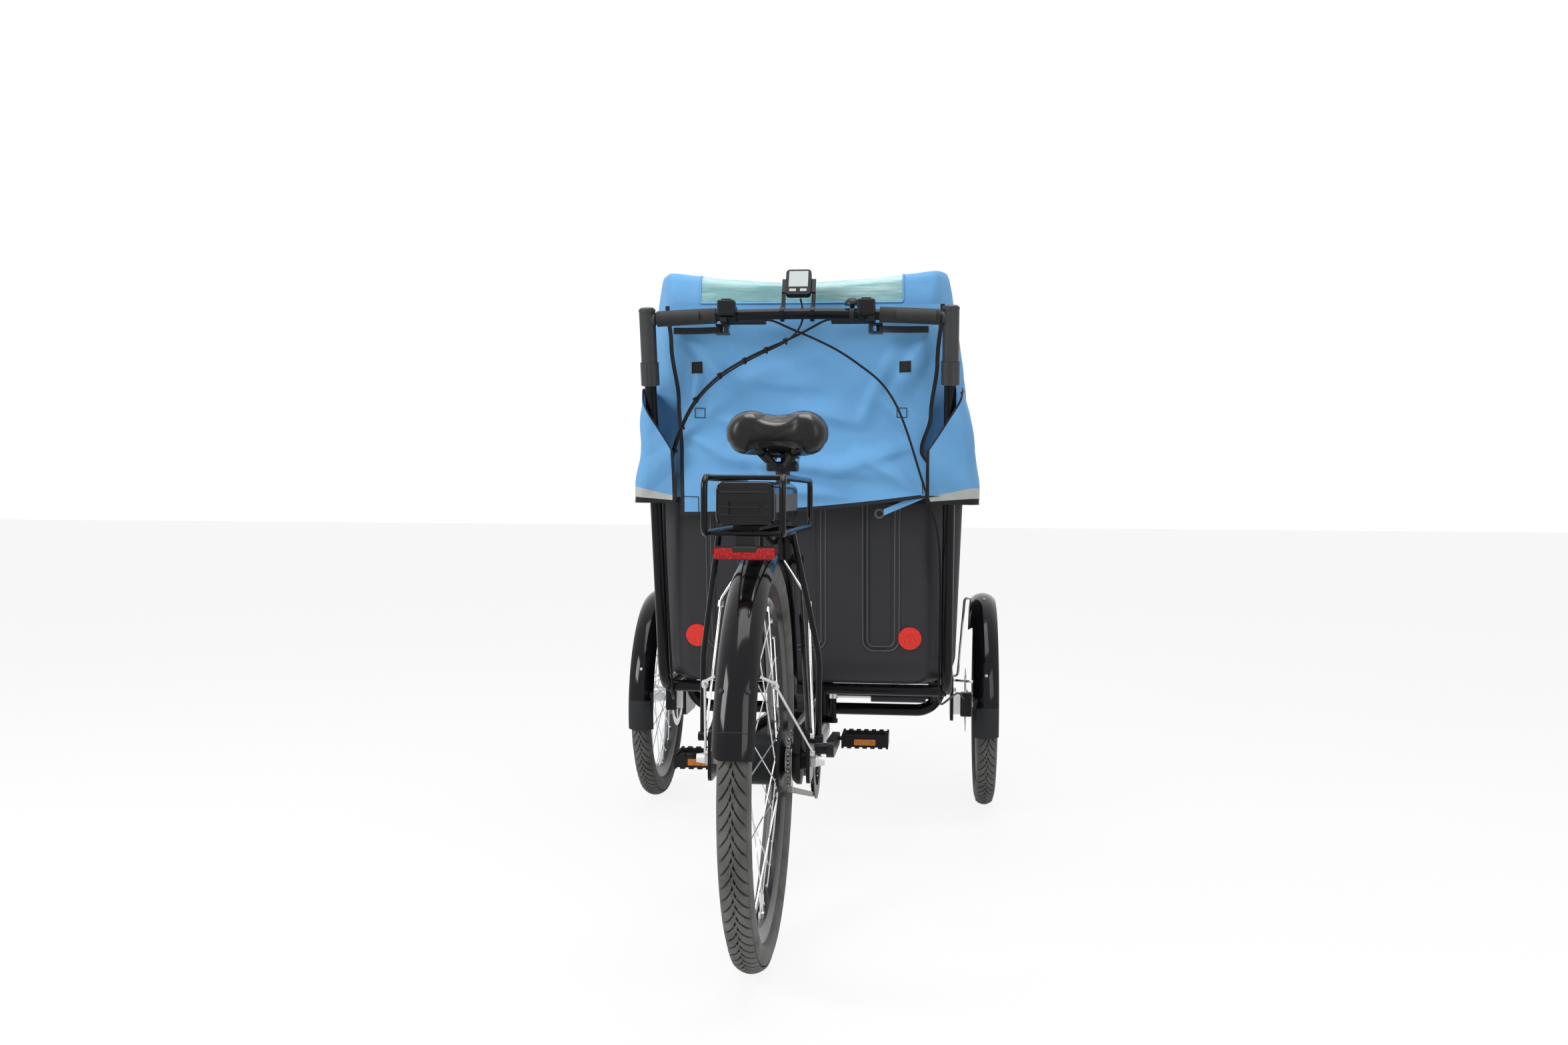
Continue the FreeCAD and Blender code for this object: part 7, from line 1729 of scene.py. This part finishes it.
@dataclass
class Hoses(Builder):
    """Brake hoses, and the cable of the display tied to the left one."""

    radius: float = 0.0025
    cable_radius: float = 0.0021
    tie_radius: float = 0.0072
    tie_half: float = 0.0022
    tie_shift: Place = (0.0, 0.0015, 0.0024)
    first_tie: int = 4
    blend_low: Place = (0.0, 650.0, 790.0)
    blend_high: Place = (0.0, 600.0, 1090.0)
    tie_tail: Place = (0.003, -0.0125, 0.006)
    right_length: float = 1370.0
    left_length: float = 1380.0
    cable_length: float = 490.0
    beside: float = 296.5
    lead: Places = ((-67.7, 26.0, 1124.6), (-55.7, 26.0, 1124.6))
    right_hang: Places = (
        (-22.0, 24.0, 1108.0), (28.0, 21.0, 1087.0), (84.0, 20.0, 1060.0), (134.0, 22.0, 1025.0),
        (170.0, 26.0, 997.0), (197.0, 31.0, 960.0), (216.0, 36.0, 918.0), (232.0, 40.0, 872.0),
        (246.0, 43.0, 826.0), (259.0, 49.0, 785.0), (276.0, 58.0, 735.0), (291.0, 92.0, 685.0))
    left_hang: Places = (
        (-22.0, 17.0, 1103.0), (22.0, 13.0, 1081.0), (66.0, 14.0, 1063.0), (112.0, 19.0, 1042.0),
        (166.0, 27.0, 1012.0), (220.0, 42.0, 962.0), (252.0, 54.0, 904.0), (272.0, 66.0, 850.0),
        (286.0, 78.0, 800.0))
    right_post: Pair = (600.0, 440.0)
    left_post: Pair = (740.0, 440.0)
    below: Places = (
        (295.5, 776.0, 384.0), (295.5, 784.0, 334.0), (298.5, 812.0, 302.0), (306.5, 862.0, 297.0),
        (320.5, 924.0, 299.0), (334.5, 990.0, 300.0), (346.5, 1052.0, 296.0), (359.4, 1103.9, 269.0),
        (359.4, 1139.9, 269.0))
    cable: Places = (
        (4.0, 600.0, 1166.0), (12.0, 590.0, 1140.0), (9.0, 588.0, 1115.0), (-4.0, 588.0, 1093.0),
        (-26.0, 588.0, 1075.0), (-66.0, 589.0, 1057.0), (-111.0, 594.0, 1036.0), (-164.0, 602.0, 1006.0),
        (-217.0, 617.0, 957.0), (-248.0, 630.0, 901.0), (-266.0, 642.0, 852.0), (-276.0, 652.0, 822.0))

    def route(self, side: int) -> list[Vector]:
        """Control points of one hose.

        Args:
            side: 1 for the hose that ends on the right, -1 for the other.

        Returns:
            The points from the lever to the caliper.
        """
        hang = self.right_hang if side > 0 else self.left_hang
        points = [self.at(side * x, BAR_AHEAD + ahead, z) for x, ahead, z in self.lead + hang]
        for z in (self.right_post if side > 0 else self.left_post):
            points.append(self.at(side * self.beside, self.post_line(z), z))
        points.extend(self.at(side * x, ahead, z) for x, ahead, z in self.below)
        return points

    def blend(self, piece: Piece) -> None:
        """Put the piece's placement into its mesh."""
        tuple(self.at(*self.blend_low))
        tuple(self.at(*self.blend_high))
        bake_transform(piece)
        LOG.info("piece %s follows the handlebar and the carrier", piece.name)

    def cord(self, name: str, points: Sequence[Vector], radius: float, length: float) -> Piece:
        """Hose or cable that hangs from the handlebar and goes back into the tricycle.

        Args:
            name: Name of the piece.
            points: Control points of its route.
            radius: Its radius.
            length: Its length in millimetres; not used.

        Returns:
            The new piece.
        """
        piece = Bench.tube(name, points, radius)
        self.paint(piece, "hose_sheath")
        self.blend(piece)
        tuple(points[0])
        [tuple(p) for p in Bench.centreline(points)]
        return piece

    def ties(self, points: Sequence[Vector]) -> None:
        """Ties that hold the cable of the display to the left hose.

        Args:
            points: Control points of the cable's route.
        """
        pieces = []
        for index in range(self.first_tie, len(points) - 1):
            along = (points[index + 1] - points[index - 1]).normalized()
            middle = points[index] + Vector(self.tie_shift)
            half = along * self.tie_half
            pieces.append(Bench.rod("tie", middle - half, middle + half, self.tie_radius, 14))
            pieces.append(Bench.rod("tie_end", middle, middle + Vector(self.tie_tail), 0.0016, 8))
        ties = Bench.joined("display_ties", pieces)
        self.paint(ties, "hose_sheath")
        self.blend(ties)

    def build(self) -> None:
        """Build both hoses in place of their solid, and the cable with its ties."""
        for side, length in ((1, self.right_length), (-1, self.left_length)):
            hose = self.cord(side_name(side) + "_brake_hose", self.route(side), self.radius, length)
            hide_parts("brake_hoses")
        points = [self.at(*place) for place in self.cable]
        self.cord("display_cable", points, self.cable_radius, self.cable_length)
        self.ties(points)


# Small fittings


@dataclass
class BarFittings(Builder):
    """Screen and buttons of the display, and the caps of the sliding posts."""

    display: Place = (0.0, 603.0, 1198.0)
    tilt: float = -25.0
    half_depth: float = 7.0
    plates: tuple[tuple[str, Pair, Pair, float], ...] = (
        ("display_screen", (0.0, 7.0), (20.0, 19.0), 0.5),
        # The keys take the pale screen finish as a painted highlight.
        ("left_display_key", (-11.0, -20.5), (7.0, 3.2), 1.4),
        ("right_display_key", (11.0, -20.5), (7.0, 3.2), 1.4))
    cap_ahead: float = 576.9
    cap_z: float = 1140.0
    cap_steps: Places = ((-1.0, 3.0, 17.6), (3.0, 5.5, 16.0), (5.5, 7.0, 13.0))

    def plate(self, name: str, middle: Pair, half: Pair, proud: float) -> None:
        """Raised plate on the rear face of the display.

        Args:
            name: Name of the piece.
            middle: Offset and height of its middle on the face.
            half: Half of its width and height.
            proud: How far it stands out.
        """
        centre = self.at(*self.display)
        low = Vector((middle[0] - half[0], -self.half_depth - proud, middle[1] - half[1])) * MM
        high = Vector((middle[0] + half[0], -self.half_depth + 1.0, middle[1] + half[1])) * MM
        piece = Bench.block(name, centre + low, centre + high, 0.0005)
        self.dress(Bench.turn(piece, self.tilt, "X", centre), "screen", Body.BAR, "black_plastic")

    def cap(self, side: int) -> None:
        """Stepped cap on top of a sliding post.

        Args:
            side: 1 for the right post, -1 for the left one.
        """
        axis = Vector((0.0, -math.sin(POST_LEAN), math.cos(POST_LEAN)))
        foot = self.at(side * POST_X, self.cap_ahead, self.cap_z)
        steps = [Bench.rod("step", foot + axis * low * MM, foot + axis * high * MM, radius * MM, 32)
                 for low, high, radius in self.cap_steps]
        cap = Bench.joined(side_name(side) + "_post_cap", steps)
        self.dress(cap, "sleeve_anodised", Body.BAR, "dark_alloy")

    def build(self) -> None:
        """Build the screen, its buttons and both caps."""
        for plate in self.plates:
            self.plate(*plate)
        for side in (1, -1):
            self.cap(side)


@dataclass
class RearFittings(Builder):
    """Trim of the battery and the lamp, and the screws of the fenders."""

    battery_rear: float = -208.0
    battery_half: float = 44.0
    ridge_heights: tuple[float, ...] = (730.0, 742.0, 764.0)
    lock_place: Pair = (24.0, 754.0)
    strip_heights: Pair = (736.0, 764.0)
    strip_front: float = 128.0
    lamp_rear: float = -212.2
    lamp_lens: tuple[Place, Place] = ((-45.0, -212.2, 667.0), (45.0, -209.0, 683.0))
    lamp_insert: tuple[Place, Place] = ((-18.0, -213.0, 677.5), (18.0, -209.0, 685.5))
    lamp_half: float = 44.0
    lamp_ridges: tuple[float, ...] = (669.5, 673.0)
    screw_radius: float = 0.0042
    bolt_radius: float = 0.0034
    rear_fender: Place = (346.5, 34.0, 330.0)
    front_fender: Place = (268.5, 39.1, 252.0)
    front_ahead: float = 1228.0
    front_x: float = 406.0
    screw_angle: float = 63.0
    screw_offset: float = 19.0
    seam_angle: float = 73.0
    seam_half: float = 29.0
    bolt_angles: Pair = (16.0, 69.5)

    def battery(self) -> None:
        """Ridges on the rear face of the battery and pale strips along its sides."""
        rear = self.battery_rear
        ridges = [Bench.block("ridge", self.at(-36, rear - 1.4, z), self.at(36, rear + 1, z + 3), 0.0005)
                  for z in self.ridge_heights]
        x, z = self.lock_place
        lock = Bench.rod("lock", self.at(x, rear - 2.4, z), self.at(x, rear + 1, z), 0.005)
        trim = Bench.joined("battery_ridges", ridges + [lock])
        self.dress(trim, "battery_shell", Body.REAR, "black_plastic")
        low, high = self.strip_heights
        for side in (1, -1):
            inner, outer = sorted((side * (self.battery_half - 1), side * (self.battery_half + 1.2)))
            strip = Bench.block(side_name(side) + "_battery_strip", self.at(inner, rear + 14, low),
                                self.at(outer, self.strip_front, high), 0.0008)
            self.dress(strip, "rim_plastic", Body.REAR, "black_plastic")

    def lamp(self) -> None:
        """Lens, smoked insert and ridges of the tail lamp."""
        for name, corners, edge, finish in (("lamp_lens", self.lamp_lens, 0.001, "red_lens"),
                                            ("lamp_insert", self.lamp_insert, 0.0008, "smoked_lens")):
            low, high = (self.at(*corner) for corner in corners)
            self.dress(Bench.block(name, low, high, edge), finish, Body.REAR, "red_lens")
        half = self.lamp_half
        rear = self.lamp_rear
        ridges = [Bench.rod("ridge", self.at(-half, rear, z), self.at(half, rear, z), 0.0007, 8)
                  for z in self.lamp_ridges]
        self.dress(Bench.joined("lamp_ridges", ridges), "red_lens", Body.REAR, "red_lens")

    @staticmethod
    def on_fender(fender: Place, offset: float, angle: float) -> tuple[Vector, Vector]:
        """Place on a crowned fender and the direction out of it, from the wheel's axle.

        Args:
            fender: Radius, radius of its crown and height of its axle.
            offset: Offset to the side.
            angle: Angle behind the top, in degrees.

        Returns:
            The place in millimetres and the direction.
        """
        radius, crown, axle_z = fender
        rise = math.sqrt(crown ** 2 - offset ** 2)
        reach = radius - crown + rise
        turn = math.radians(angle)
        out = Vector((offset / crown, -math.sin(turn) * rise / crown, math.cos(turn) * rise / crown))
        return Vector((offset, -reach * math.sin(turn), axle_z + reach * math.cos(turn))), out

    def screw(self, name: str, place: Vector, out: Vector, radius: float) -> Piece:
        """Domed screw head.

        Args:
            name: Name of the piece.
            place: Where it sits, in millimetres from the rear axle.
            out: Direction it points.
            radius: Radius of the head.

        Returns:
            The new piece.
        """
        foot = self.at(*place)
        steps = [Bench.rod(name, foot - out * 0.001, foot + out * 0.0016, radius),
                 Bench.rod(name, foot, foot + out * 0.0026, radius * 0.7)]
        return Bench.joined(name, steps)

    def fenders(self) -> None:
        """Screws and seam of the rear fender and bolts of the front fenders."""
        places = [self.on_fender(self.rear_fender, x, self.screw_angle)
                  for x in (-self.screw_offset, self.screw_offset)]
        heads = [self.screw("screw", place, out, self.screw_radius) for place, out in places]
        seam = []
        for step in range(25):
            offset = self.seam_half * (step / 12 - 1)
            seam.append(self.at(*self.on_fender(self.rear_fender, offset, self.seam_angle)[0]))
        heads.append(Bench.tube("seam", seam, 0.0006))
        self.dress(Bench.joined("rear_fender_screws", heads), "dark_alloy", Body.REAR, "fender_black")
        for side in (1, -1):
            bolts = []
            for angle in self.bolt_angles:
                place, out = self.on_fender(self.front_fender, 0.0, angle)
                place += Vector((side * self.front_x, self.front_ahead, 0.0))
                bolts.append(self.screw("bolt", place, out, self.bolt_radius))
            bolts = Bench.joined(side_name(side) + "_fender_bolts", bolts)
            self.dress(bolts, "white_cap", Body.CARRIER, "steel")

    def build(self) -> None:
        """Build every small fitting at the rear and on the fenders."""
        self.battery()
        self.lamp()
        self.fenders()


@dataclass
class PedalReflectors(Builder):
    """Amber reflectors in the front and rear faces of a pedal."""

    side: int = 1
    crank_ahead: float = 466.35
    crank_z: float = 263.0
    reach: float = 169.8
    rise: float = -8.9
    middle_x: float = 143.0
    half_width: float = 22.0
    half_depth: float = 44.0
    half_height: float = 6.0
    sunk: float = 1.5
    proud: float = 1.6

    def build(self) -> None:
        """Build both reflectors of the pedal."""
        name = side_name(self.side)
        ahead = self.crank_ahead + self.side * self.reach
        z = self.crank_z + self.side * self.rise
        x = self.side * self.middle_x
        plates = []
        for face in (-1, 1):
            near, far = sorted(ahead + face * (self.half_depth + step) for step in (-self.sunk, self.proud))
            low = self.at(x - self.half_width, near, z - self.half_height)
            high = self.at(x + self.half_width, far, z + self.half_height)
            plates.append(Bench.block("plate", low, high, 0.0008))
        pair = Bench.joined(name + "_pedal_reflectors", plates)
        self.dress(pair, "amber_lens", name + "_pedal_body", "red_lens")


@dataclass
class HoodFittings(Sheet):
    """Ring and strap under the lower hem of the rear flap."""

    ring: Place = (168.0, 652.0, 724.0)
    ring_radius: float = 0.0085
    ring_section: float = 0.0021
    strap_end: Place = (262.0, 653.0, 764.0)
    strap_shift: Place = (9.0, 0.0, 3.0)
    strap_width: float = 13.0
    strap_cut: Pair = (12.0, 95.0)

    def build(self) -> None:
        """Build the ring and the strap."""
        ring = Bench.hoop("strap_ring", self.at(*self.ring), self.ring_radius, self.ring_section,
                          (math.radians(90), 0.0, 0.0))
        self.dress(ring, "rim_plastic", Body.CARRIER, "black_plastic")
        start = Vector(self.ring) + Vector(self.strap_shift)
        end = Vector(self.strap_end)

        def shape(along: float, across: float) -> Vector:
            """Place on the strap."""
            place = start + (end - start) * along
            sway = 3.0 * math.sin(along * 5.0)
            return self.at(place.x, place.y - 3.0 + sway, place.z + self.strap_width * (across - 0.5))

        strap = Bench.grid("hem_strap", 24, 4, shape)
        self.declare(strap, self.strap_cut, "stretched", ["canopy_rear_flap"])
        self.dress(strap, "canopy_cloth", Body.CARRIER, "canopy_cloth")


@dataclass
class BoxBeads(Builder):
    """Beads along the edges of the sunk fields of the box's rear wall, each bent round below a field, in a
    paler finish that is a painted highlight of the field edges.
    """

    low: Pair = (751.0, 430.0)
    high: Pair = (704.6, 746.0)
    fields: Pairs = ((-45.0, 45.0), (135.0, 204.0), (-204.0, -135.0))
    half_width: float = 5.0
    corner: float = 20.0
    radius: float = 0.0019

    def on_wall(self, x: float, z: float) -> Vector:
        """Place on the leaning wall at an offset and a height."""
        share = (z - self.low[1]) / (self.high[1] - self.low[1])
        return self.at(x, self.low[0] + (self.high[0] - self.low[0]) * share, z)

    def path(self, left: float, right: float, outward: float) -> list[Vector]:
        """Line down one edge of a field, round below it and up the other edge.

        Args:
            left: Offset of the left edge.
            right: Offset of the right edge.
            outward: How far the line lies outside the field.

        Returns:
            The points of the line.
        """
        bend = self.corner + outward
        foot = self.low[1] - outward
        places = [(left - outward, self.high[1])]
        for middle, first in ((left + self.corner, 180.0), (right - self.corner, 270.0)):
            for step in range(7):
                turn = math.radians(first + 15.0 * step)
                places.append((middle + bend * math.cos(turn), foot + bend + bend * math.sin(turn)))
        places.append((right + outward, self.high[1]))
        return [self.on_wall(x, z) for x, z in places]

    def build(self) -> None:
        """Build a pair of thin beads round every field."""
        beads = [Bench.tube("bead", self.path(left, right, edge), self.radius)
                 for left, right in self.fields for edge in (-self.half_width, self.half_width)]
        self.dress(Bench.joined("box_beads", beads), "bead_painted_highlight", Body.CARRIER, "box_plastic")


@dataclass
class SaddleArms(Builder):
    """Elastomer arms between the seat clamp and the lobes of the saddle."""

    foot: Place = (11.0, 268.0, 818.0)
    head: Place = (36.0, 208.0, 848.0)
    radius: float = 0.0065
    bumper: Pair = (0.3, 0.7)
    bumper_radius: float = 0.00975

    def build(self) -> None:
        """Build both arms with a thicker middle."""
        for side in (1, -1):
            start = self.at(side * self.foot[0], *self.foot[1:])
            end = self.at(side * self.head[0], *self.head[1:])
            low, high = (start.lerp(end, share) for share in self.bumper)
            pieces = [Bench.rod("arm", start, end, self.radius),
                      Bench.rod("bumper", low, high, self.bumper_radius)]
            arm = Bench.joined(side_name(side) + "_saddle_arm", pieces)
            self.dress(arm, "black_plastic", Body.SEAT, "black_plastic")


# Studio


@dataclass
class Studio:
    """Camera at the photograph's place, pale floor and soft light."""

    axle_y: float
    position: Place = (0.2689, -2.1983, 0.7627)
    yaw: float = math.radians(6.04)
    pitch: float = math.radians(1.17)
    roll: float = 0.006
    focal_px: float = 2041.4
    frame_px: float = 2352.0
    sensor: float = 36.0
    world_light: float = 0.38
    floor_glow: float = 0.88
    floor_z: float = -0.0006
    lamps: tuple[tuple[str, tuple[float, ...], tuple[float, ...], float, float], ...] = (
        ("top_light", (0.2, -0.6, 3.6), (0.0, 0.0, 0.6), 2.4, 88.0),
        ("rear_left_light", (-3.0, -2.4, 2.3), (0.0, -0.3, 0.7), 1.5, 95.0),
        ("rear_right_light", (2.9, -2.7, 1.8), (0.0, -0.3, 0.7), 1.8, 38.0))

    def camera(self) -> None:
        """Place the camera."""
        forward0 = Vector((-math.sin(self.yaw), math.cos(self.yaw), 0.0))
        right0 = Vector((math.cos(self.yaw), math.sin(self.yaw), 0.0))
        up0 = Vector((0.0, 0.0, 1.0))
        forward = forward0 * math.cos(self.pitch) - up0 * math.sin(self.pitch)
        level_up = forward0 * math.sin(self.pitch) + up0 * math.cos(self.pitch)
        right = right0 * math.cos(self.roll) + level_up * math.sin(self.roll)
        up = level_up * math.cos(self.roll) - right0 * math.sin(self.roll)
        data = bpy.data.cameras.new("camera")
        data.sensor_width = self.sensor
        data.sensor_fit = "HORIZONTAL"
        data.lens = self.sensor * self.focal_px / self.frame_px
        data.clip_end = 100.0
        camera = bpy.data.objects.new("camera", data)
        turn = Matrix((right, up, -forward)).transposed().to_4x4()
        x, y, z = self.position
        camera.matrix_world = Matrix.Translation((x, self.axle_y + y, z)) @ turn
        bpy.context.scene.collection.objects.link(camera)
        bpy.context.scene.camera = camera

    def world(self) -> None:
        """White surroundings whose light on the object is set apart from what is seen."""
        world = bpy.data.worlds.new("studio")
        world.use_nodes = True
        bpy.context.scene.world = world
        tree = Tree(world.node_tree, "ShaderNodeOutputWorld")
        lit = tree.node("ShaderNodeBackground", {}, {"Strength": self.world_light})
        shown = tree.node("ShaderNodeBackground", {}, {"Color": (1.0, 1.0, 1.0, 1.0)})
        tree.show(tree.seen(), lit, shown)

    def floor(self) -> None:
        """Wide pale floor that keeps a soft shadow, with plain white mixed into what is seen of it."""
        bpy.ops.object.select_all(action="DESELECT")
        bpy.ops.mesh.primitive_plane_add(size=60.0, location=(0.0, 0.0, self.floor_z))
        floor = bpy.context.active_object
        floor.name = "studio_floor"
        graph = Graph("studio_floor")
        graph.finish(Base_Color=(0.86, 0.86, 0.85), Roughness=0.55)
        lit = Socket(graph, graph.shader.outputs[0])
        white = graph.node("ShaderNodeEmission", {}, {"Strength": 1.0})
        graph.show(graph.seen() * self.floor_glow, lit, white)
        floor.data.materials.append(graph.material)

    def lamp(self, name: str, place: Sequence[float], aim: Sequence[float], size: float,
             watts: float) -> None:
        """Square soft lamp.

        Args:
            name: Name of the lamp.
            place: Where it stands.
            aim: What it points at.
            size: Length of its side.
            watts: Its power.
        """
        data = bpy.data.lights.new(name, "AREA")
        data.size = size
        data.energy = watts
        lamp = bpy.data.objects.new(name, data)
        lamp.location = place
        lamp.rotation_mode = "QUATERNION"
        lamp.rotation_quaternion = (Vector(aim) - Vector(place)).to_track_quat("-Z", "Y")
        bpy.context.scene.collection.objects.link(lamp)

    def build(self) -> None:
        """Build the studio."""
        bpy.context.scene.view_settings.view_transform = "Standard"
        self.camera()
        self.world()
        self.floor()
        for lamp in self.lamps:
            self.lamp(*lamp)


def joint_place(joints: Sequence[dict], name: str) -> Vector:
    """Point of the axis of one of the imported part's joints."""
    return Vector(next(joint["pos_m"] for joint in joints if joint["name"] == name))


def main() -> None:
    """Build every piece of the scene in order."""
    logging.basicConfig(level=logging.INFO, format="%(name)s: %(message)s")
    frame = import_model()
    axle = joint_place(frame["joints"], "rear_wheel_spin")
    shelf = FinishShelf(axle.y)
    Studio(axle.y).build()
    Solids(shelf, nodes=frame["nodes"]).build()
    Tyre(shelf, centre=axle).build()
    WheelTrim(shelf, centre=axle).build()
    for side in ("right", "left"):
        hub = joint_place(frame["joints"], side + "_front_wheel_spin")
        Tyre(shelf, node=side + "_front_tyre", body=side + "_front_wheel", centre=hub, radius=0.252,
             half_width=0.0235, bead_radius=0.205).build()
        WheelTrim(shelf, name=side + "_front", body=side + "_front_wheel", centre=hub, inner_radius=0.187,
                  spokes=28).build()
    Canopy(shelf).build()
    RearFlap(shelf).build()
    SideFlap(shelf).build()
    left_levels = ((744.0, 44.0, 120.0), (850.0, 26.0, 118.0), (984.0, 16.0, 132.0))
    SideFlap(shelf, side=-1, levels=left_levels).build()
    Saddle(shelf, node=frame["nodes"]["saddle"]).build()
    SaddleArms(shelf).build()
    Hoses(shelf).build()
    BarFittings(shelf).build()
    RearFittings(shelf).build()
    HoodFittings(shelf).build()
    BoxBeads(shelf).build()
    for side in (1, -1):
        PedalReflectors(shelf, side=side).build()


if __name__ == "__main__":
    main()
